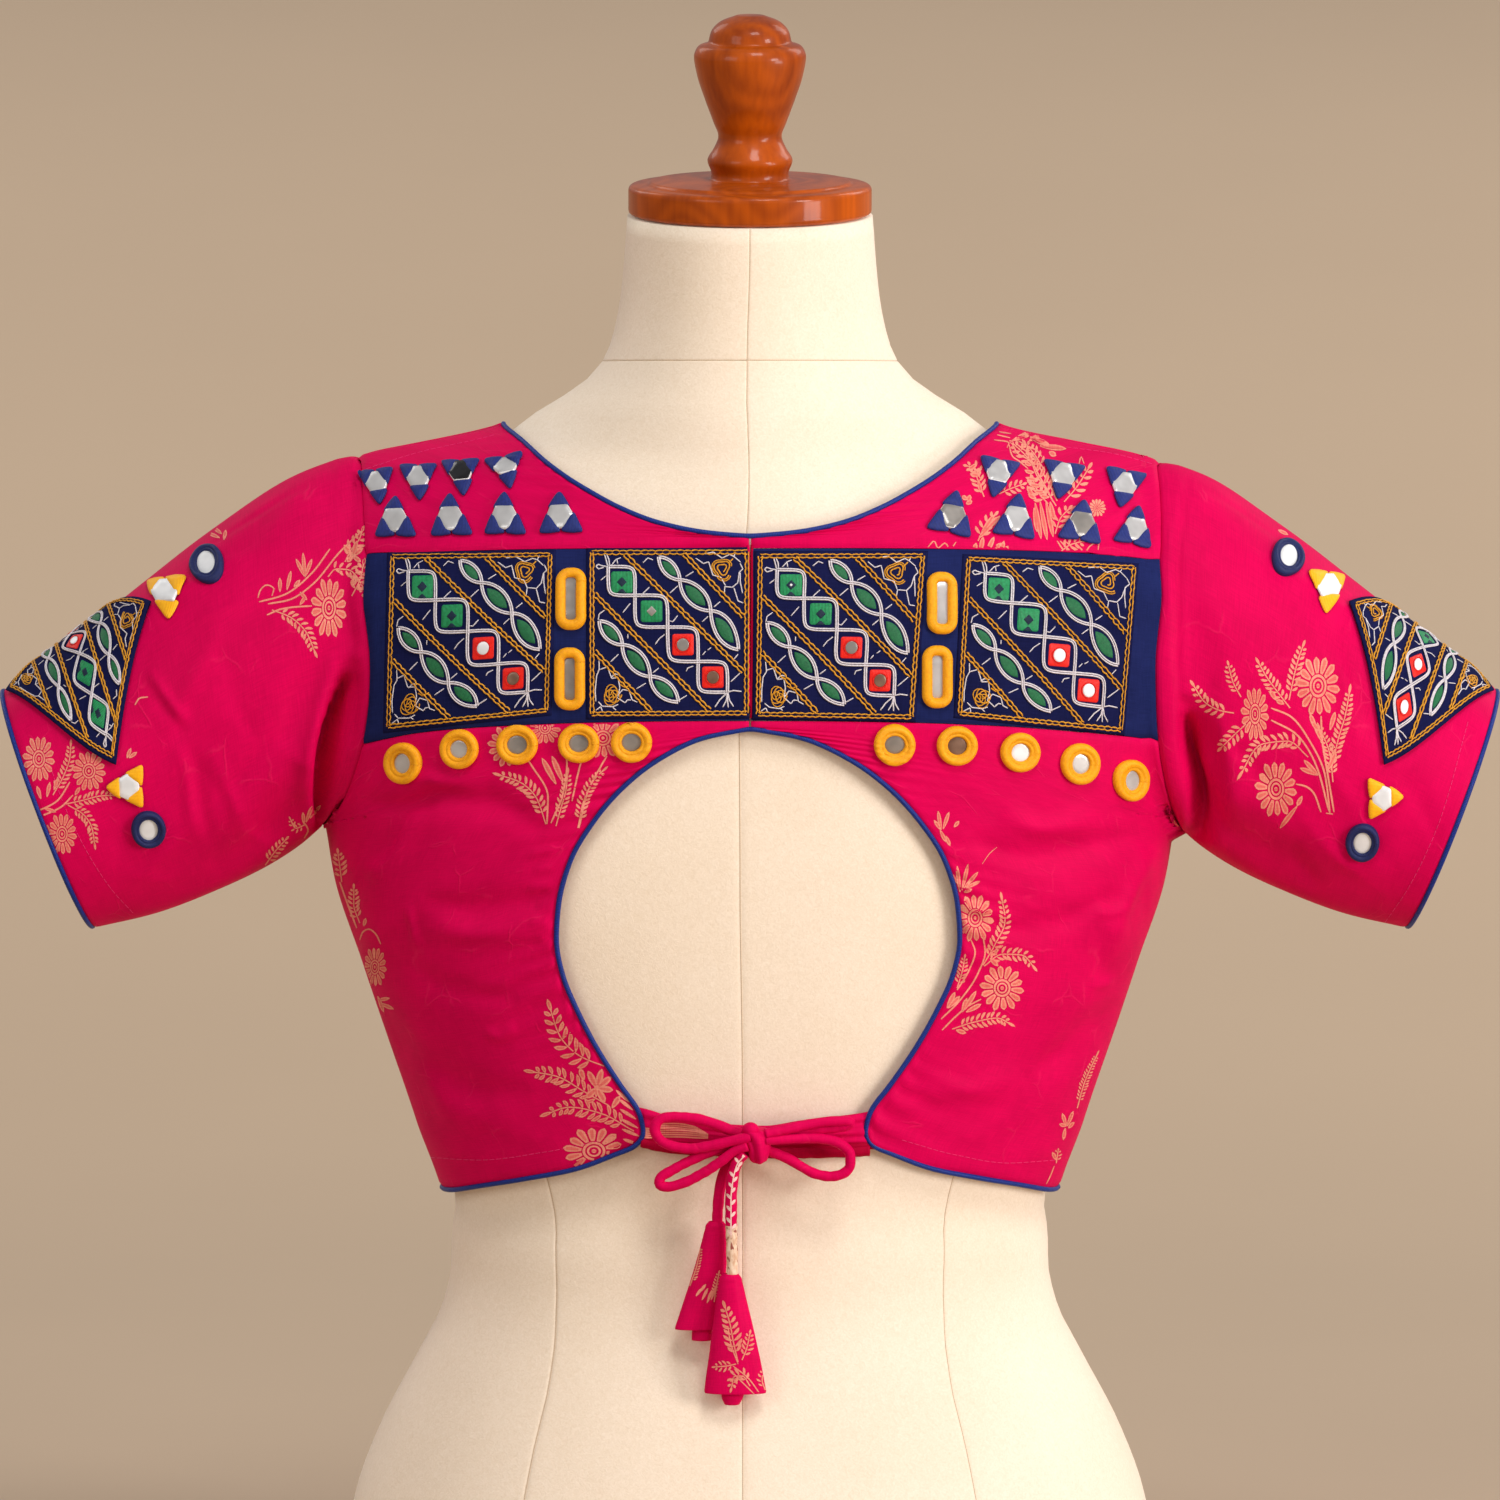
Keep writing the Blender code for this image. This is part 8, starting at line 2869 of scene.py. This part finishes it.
def make_cord(name, route, finish, seed, pale=None, thin=1.0, **facts):
    """A tube of cloth along a smooth route; past the pale share it takes the second finish."""
    curve = Route(on_plane(route))
    line = curve(np.linspace(0, 1, 400))
    line = resample(eased_line(line, 30), CORD_STEP)
    radius = thin * CORD_RADIUS * (1 + 0.06 * wavy(line, 0.005, seed))
    bundle = Bundle()
    verts, faces, flat = tube(line, radius, CORD_SIDES)
    flat = flat * np.array((1.0, CORD_RADIUS))
    verts = verts.reshape(len(line), CORD_SIDES, 3)
    centre = line[:, None]
    out = verts - centre
    wrinkle = 1 + 0.06 * wavy(verts, 0.0026, seed + 2)[..., None]
    along = np.arange(len(line)) * CORD_STEP
    crease = 1 + 0.035 * np.sin(along * 2 * math.pi / 0.0065 + 3 * np.sin(along * 190))
    verts = centre + out * wrinkle * crease[:, None, None]
    bundle.add(verts, faces, 0, flat)
    if pale:
        start = int(pale * (len(line) - 1))
        for k, face in enumerate(bundle.faces):
            if min(face) // CORD_SIDES >= start:
                bundle.slots[k] = 1
    made = bundle.make(name, finish)
    SKINS[name] = Skin([(verts, True)])
    return made


TASSEL_TURNS = np.linspace(0, 2 * math.pi, 61)[:-1]


def tassel_grid(rows, share, turns):
    table = np.array(rows)
    along = (table[0, 2] - table[:, 2]) / (table[0, 2] - table[-1, 2])
    curves = [Profile(along, table[:, k]) for k in range(5)]
    x, y, z, wide, deep = (curve(share)[:, None] for curve in curves)
    return np.stack(np.broadcast_arrays(x + wide * np.cos(turns), y + deep * np.sin(turns), z), -1)


def tassel_face(rows, share, rim, seed):
    """The cone's outer face, tied in near its top and drawn in by the rim share at its foot."""
    turns = TASSEL_TURNS
    grid = tassel_grid(rows, share, turns)
    centre = grid.mean(1, keepdims=True)
    pinch = 1 - 0.22 * np.exp(-((share / 0.02) ** 2)) - rim * np.exp(-(((1 - share) / 0.01) ** 2))
    pinch = pinch - 0.035 * np.exp(-(((share - 0.07) / 0.02) ** 2))
    relief = 1 + 0.03 * wavy(grid, 0.006, seed)
    overlap = 1 + 0.05 * (((turns + math.pi * 0.35) % (2 * math.pi)) / (2 * math.pi))
    return centre, centre + (grid - centre) * (pinch[:, None] * relief * overlap / 1.03)[..., None]


def make_tassel(name, rows, roll, node, seed):
    """A cone rolled from cloth, open below, with the end of its roll inside."""
    bundle = Bundle()
    turns = TASSEL_TURNS
    share = np.unique(np.concatenate([np.linspace(0, 1, 60), (0.004, 0.012, 0.988, 0.996)]))
    centre, grid = tassel_face(rows, share, 0.03, seed)
    flat = np.stack(np.broadcast_arrays(turns[None] * 0.008, (1 - share)[:, None] * 0.05), -1)
    rim = centre[-1] + (grid[-1] - centre[-1]) * 0.90
    inside = centre[-4] + (grid[-4] - centre[-4]) * 0.86
    whole = np.concatenate([grid, rim[None], inside[None]])
    flats = np.concatenate([flat, flat[-1:], flat[-4:-3]])
    bundle.add(whole, capped_faces(len(whole), len(turns)), 0, flats)
    share = np.linspace(0, 1, 16)
    grid = tassel_grid(roll, share, turns)
    centre = grid.mean(1, keepdims=True)
    grid = centre + (grid - centre) * (1 + 0.05 * wavy(grid, 0.003, seed))[..., None]
    low = centre[-1] + (grid[-1] - centre[-1]) * 0.80 - (0.0, 0.0, 0.0002)
    deep = centre[-1] + (grid[-1] - centre[-1]) * 0.66 + (0.0, 0.0, 0.0030)
    whole = np.concatenate([grid, low[None], deep[None]])
    flat = np.stack(np.broadcast_arrays(turns[None] * 0.003, np.arange(18)[:, None] * 0.0006), -1)
    quads = grid_faces(len(whole), len(turns), True)
    faces = quads[: -len(turns)].tolist()
    faces.append(list(range(len(turns)))[::-1])
    bundle.add(whole, faces, 0, flat)
    hollow = quads[-len(turns) :] - 16 * len(turns)
    cap = [len(turns) + i for i in range(len(turns))]
    # the hollow's end inside the roll is painted shade in the darker pink
    bundle.add(whole[-2:], [*hollow.tolist(), cap], 1, flat[-2:])
    made = bundle.make(name, [PINK, SHADED_PINK])
    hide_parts(node)
    SKINS[node] = Skin([(tassel_face(rows, np.linspace(0, 1, 60), 0.0, seed)[1], True)])
    return made


# The knot: its wrap's rows as photograph x, y and half width, its depth, and the ball beside it.
KNOT_ROWS = (
    (752, 1127, 8),
    (757, 1130, 13),
    (757, 1138, 14),
    (758, 1146, 12.5),
    (758.5, 1154, 10.5),
    (758.5, 1160, 8.5),
    (758, 1162.5, 5),
)
KNOT_DEPTH = (-0.0985, 0.0072)
KNOT_BALL = ((750.5, 1129.5, -0.1010), (0.0036, 0.0036, 0.0031))
# Folds across the wrap: photograph line, height and half width in metres.
KNOT_FOLDS = (
    (-0.0012, 0.0007, (742, 1134), (750, 1140), (754, 1150), (756, 1162)),
    (0.0007, 0.0012, (745, 1130), (756, 1138), (760, 1150), (760, 1162)),
    (-0.0005, 0.0007, (756, 1130), (764, 1140), (766, 1152)),
    (-0.0007, 0.0007, (746, 1126), (754, 1131), (764, 1128)),
)


def round_body(middle, half, rows, columns, seed, uneven=0.05):
    """A closed, slightly uneven ball of cloth."""
    lean = np.sin(np.linspace(-math.pi / 2, math.pi / 2, rows)[1:-1])
    turns = 2 * math.pi * np.arange(columns) / columns
    ring = np.sqrt(1 - lean**2)
    body = np.stack(
        np.broadcast_arrays(
            half[0] * ring[:, None] * np.cos(turns),
            half[1] * ring[:, None] * np.sin(turns),
            half[2] * lean[:, None],
        ),
        axis=-1,
    )
    grid = np.array(middle) + body * (1 + uneven * wavy(body, 0.0030, seed)[..., None])
    flat = np.stack(np.broadcast_arrays(turns[None] * 0.006, lean[:, None] * 0.008), -1)
    return grid, capped_faces(len(lean), columns), flat


def make_knot():
    """The knot: one broad wrap with its folds, and the turn of cord that rises beside it."""
    rows = np.array(KNOT_ROWS, float)
    share = np.linspace(0, 1, 44)
    along = (rows[:, 1] - rows[0, 1]) / (rows[-1, 1] - rows[0, 1])
    x, half = (Profile(along, rows[:, k])(share) for k in (0, 2))
    y = rows[0, 1] + share * (rows[-1, 1] - rows[0, 1])
    middle = on_plane(np.stack((x, y, np.full(len(x), KNOT_DEPTH[0])), -1))
    turns = 2 * math.pi * np.arange(64) / 64
    deep = KNOT_DEPTH[1] * (1 - (np.abs(share - 0.45) / 0.60) ** 2.4) ** 0.5
    wide = (half * PIXEL)[:, None] * signed_power(np.cos(turns), 0.85)
    thick = deep[:, None] * np.sin(turns)
    parts = (middle[:, :1] + wide, middle[:, 1:2] + thick, middle[:, 2:])
    grid = np.stack(np.broadcast_arrays(*parts), -1)
    normals = same_side(grid_normals(grid, True), grid - middle[:, None])
    relief = 0.00012 * wavy(grid, 0.003, 9)
    pixels = to_pixels(grid)
    facing = np.clip(-np.sum(normals * unit(grid - EYE), -1) / 0.4, 0, 1)
    for height, width, *line in KNOT_FOLDS:
        gap, _ = line_distance(pixels, Route(line)(np.linspace(0, 1, FOLD_STEPS)))
        relief = relief + height * np.exp(-((gap * PIXEL / width) ** 2)) * facing
    grid = grid + normals * relief[..., None]
    flat = np.stack(np.broadcast_arrays(turns[None] * 0.006, share[:, None] * 0.015), -1)
    bundle = Bundle()
    bundle.add(grid, capped_faces(len(share), len(turns)), 0, flat)
    place, half = KNOT_BALL
    points, faces, flat = round_body(on_plane([place])[0], np.array(half), 24, 40, 5)
    bundle.add(points, faces, 0, flat)
    made = bundle.make("bow_knot", PINK)
    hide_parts("bow")


# Small leaves on the printed end and sprays on the tassels, in the photograph's frame.
CORD_LEAVES = tuple(
    (x, y, x + way * 4.2, y - 5.5)
    for x, y, way in (
        (742, 1158, 1), (739, 1163, -1), (738, 1167, 1), (735, 1172, 1), (734, 1177, -1),
        (733, 1182, 1), (733, 1188, -1), (731, 1193, 1), (731, 1199, -1), (731, 1205, 1),
        (731, 1211, -1), (731, 1217, 1), (731, 1223, -1), (732, 1229, 1), (732, 1235, -1),
    )
)
FRONT_FERNS = (
    (9.5, (738, 1362), (734, 1345), (730, 1324), (724, 1304)),
    (6.5, (742, 1360), (747, 1347), (750, 1332)),
    (6.0, (736, 1364), (726, 1366), (714, 1367)),
    (7.5, (750, 1386), (742, 1376), (735, 1376), (731, 1390)),
    (5.5, (765, 1390), (762, 1380), (763, 1370)),
)
FRONT_STEMS = (
    (1.2, (738, 1364), (730, 1340), (728, 1326)),
    (1.2, (733, 1366), (748, 1378), (760, 1394)),
    (1.2, (729, 1369), (742, 1382), (754, 1394)),
)
SIDE_FERNS = (
    (4.5, (690, 1286), (697, 1266), (701, 1246)),
    (5.0, (714, 1302), (716, 1288), (719, 1272)),
)
SIDE_LEAVES = (
    (696, 1296, 702, 1288),
    (702, 1300, 708, 1288),
    (707, 1303, 712, 1290),
    (711, 1300, 717, 1284),
    (700, 1292, 706, 1284),
)


def make_tie_prints():
    leaves = [leaf((a, b), (c, d), 3.0) for a, b, c, d in CORD_LEAVES]
    leaves += [stem(((745, 1155), (737, 1165), (733, 1180), (731, 1200), (731, 1238)), 1.1)]
    lay_prints("sprays_cord", "cord_end_printed", leaves, PALE_PRINT)
    shapes = [shape for length, *points in FRONT_FERNS for shape in fern(points, length, 60)]
    shapes += [stem(points, width) for width, *points in FRONT_STEMS]
    lay_prints("sprays_front_tassel", "tassel_front", shapes, PRINT)
    shapes = [shape for length, *points in SIDE_FERNS for shape in fern(points, length, 70)]
    shapes += [leaf((a, b), (c, d), 3.0) for a, b, c, d in SIDE_LEAVES]
    lay_prints("sprays_side_tassel", "tassel_side", shapes, PRINT)


def make_ties():
    make_knot()
    side = make_tassel("tassel_side_cone", SIDE_TASSEL, SIDE_ROLL, "tassel_side", 3)
    front = make_tassel("tassel_front_cone", FRONT_TASSEL, FRONT_ROLL, "tassel_front", 8)
    make_strap_band()
    # the strap cord under the bow is painted shade in the darker pink
    strap = make_cord(
        "cord_strap", STRAPS, SHADED_PINK, 1, far_end="object", stiffness="limp", lay="taut"
    )
    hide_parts("tie_strap")
    for number, route in enumerate(LOOPS, 1):
        name = "cord_loop_%d" % number
        make_cord(
            name, route, PINK, 10 + number, thin=LOOP_RADIUS, far_end="object", stiffness="limp",
            lay="loose",
        )
    plain = make_cord(
        "cord_end_plain", PLAIN_END, PINK, 20, far_end="fitting", stiffness="limp", lay="hanging",
        with_pieces=[side],
    )
    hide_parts("tie_end_plain")
    printed = make_cord(
        "cord_end_printed", PRINTED_END, [PINK, PALE_CLOTH], 21, PALE_SHARE, far_end="fitting",
        stiffness="limp", lay="hanging", with_pieces=[front],
    )
    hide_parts("tie_end_printed")
    make_tie_prints()


# ---------------------------------------------------------------- stage and light


FLOOR_COLOUR = (0.500, 0.370, 0.250)
FLOOR_RISE = (1.0, 3.5, 0.44)  # where the rise behind starts and ends, and its height
FLOOR_PALER = (0.9, 3.3, 1.33)  # where the floor gets paler towards the back, and how much
FLOOR_REACH = 14.0  # how far the floor goes each way
RISE_STEPS = 24


def make_stage():
    """A pale floor that rises a little behind, so low that the object shows over it from there."""
    start, stop, height = FLOOR_RISE
    profile = [(-FLOOR_REACH, 0.0)]
    for k in range(RISE_STEPS + 1):
        share = k / RISE_STEPS
        profile.append((start + (stop - start) * share, height * share * share * (3 - 2 * share)))
    profile.append((FLOOR_REACH, height))
    points, faces = [], []
    for y, z in profile:
        points += [(-FLOOR_REACH, y, z), (FLOOR_REACH, y, z)]
    for k in range(len(profile) - 1):
        faces.append((2 * k, 2 * k + 1, 2 * k + 3, 2 * k + 2))
    mesh = bpy.data.meshes.new("floor")
    mesh.from_pydata(points, [], faces)
    mesh.polygons.foreach_set("use_smooth", [True] * len(faces))
    finish = Finish("floor_paint", Base_Color=(*FLOOR_COLOUR, 1.0), Roughness=0.92)
    grain = finish.noise(finish.place((3.0, 3.0, 3.0)), 1.0, 4.0)
    dark = tuple(c * 0.97 for c in FLOOR_COLOUR)
    near = finish.ramp(grain, 0.3, 0.7, dark, FLOOR_COLOUR)
    across = finish.node("SeparateXYZ", {"Vector": finish.node("TexCoord").outputs["Object"]})
    low, high, gain = FLOOR_PALER
    depth = finish.math("DIVIDE", finish.math("SUBTRACT", across.outputs["Y"], low), high - low)
    paler = finish.ramp(depth, 0.0, 1.0, 1.0 / gain, 1.0)
    bright = finish.mix(1.0, near, (gain, gain, gain), "MULTIPLY")
    finish.colour(finish.mix(1.0, bright, paler, "MULTIPLY"))
    mesh.materials.append(finish.material)
    floor = bpy.data.objects.new("floor", mesh)
    bpy.context.scene.collection.objects.link(floor)


# Soft lights: place, aim, size, power, colour.
LIGHTS = (
    ((-2.8, -3.2, 2.2), (0.0, 0.0, 0.35), (2.0, 2.0), 39.0, (1.0, 0.97, 0.94)),
    ((3.15, -2.4, 1.4), (0.0, 0.0, 0.38), (1.1, 1.1), 77.0, (1.0, 0.97, 0.97)),
    ((0.6, -1.7, 3.2), (0.0, 0.0, 0.40), (1.0, 1.0), 46.0, (1.0, 1.0, 1.0)),
    ((3.1, -1.7, 0.25), (0.25, 0.0, 0.36), (1.1, 0.9), 40.0, (1.0, 0.97, 0.98)),
    ((-2.0, 2.4, 2.4), (0.0, 0.0, 0.45), (1.2, 1.8), 16.0, (1.0, 0.98, 0.96)),
    ((2.2, 2.0, 2.2), (0.0, 0.0, 0.45), (1.2, 1.8), 26.0, (1.0, 0.98, 0.96)),
)
WORLD = ((0.97, 0.97, 1.0), 0.375)  # colour and strength


def make_lights():
    for number, (place, aim, size, power, colour) in enumerate(LIGHTS, 1):
        data = bpy.data.lights.new("softbox_%d" % number, "AREA")
        data.shape = "RECTANGLE"
        data.size, data.size_y = size
        data.energy = power
        data.color = colour
        light = bpy.data.objects.new("softbox_%d" % number, data)
        light.location = place
        way = Vector(aim) - Vector(place)
        light.rotation_euler = way.to_track_quat("-Z", "Y").to_euler()
        bpy.context.scene.collection.objects.link(light)
    world = bpy.data.worlds.new("studio")
    bpy.context.scene.world = world
    world.use_nodes = True
    back = world.node_tree.nodes["Background"]
    back.inputs[0].default_value = (*WORLD[0], 1.0)
    back.inputs[1].default_value = WORLD[1]


# ---------------------------------------------------------------- making

make_ties()
make_form()
make_cap()
make_blouse()
make_pipings()
make_back_patches()
make_sleeve_patches()
make_squares()
make_prints()
make_stitches()
make_opening_edges()
make_stage()
make_lights()
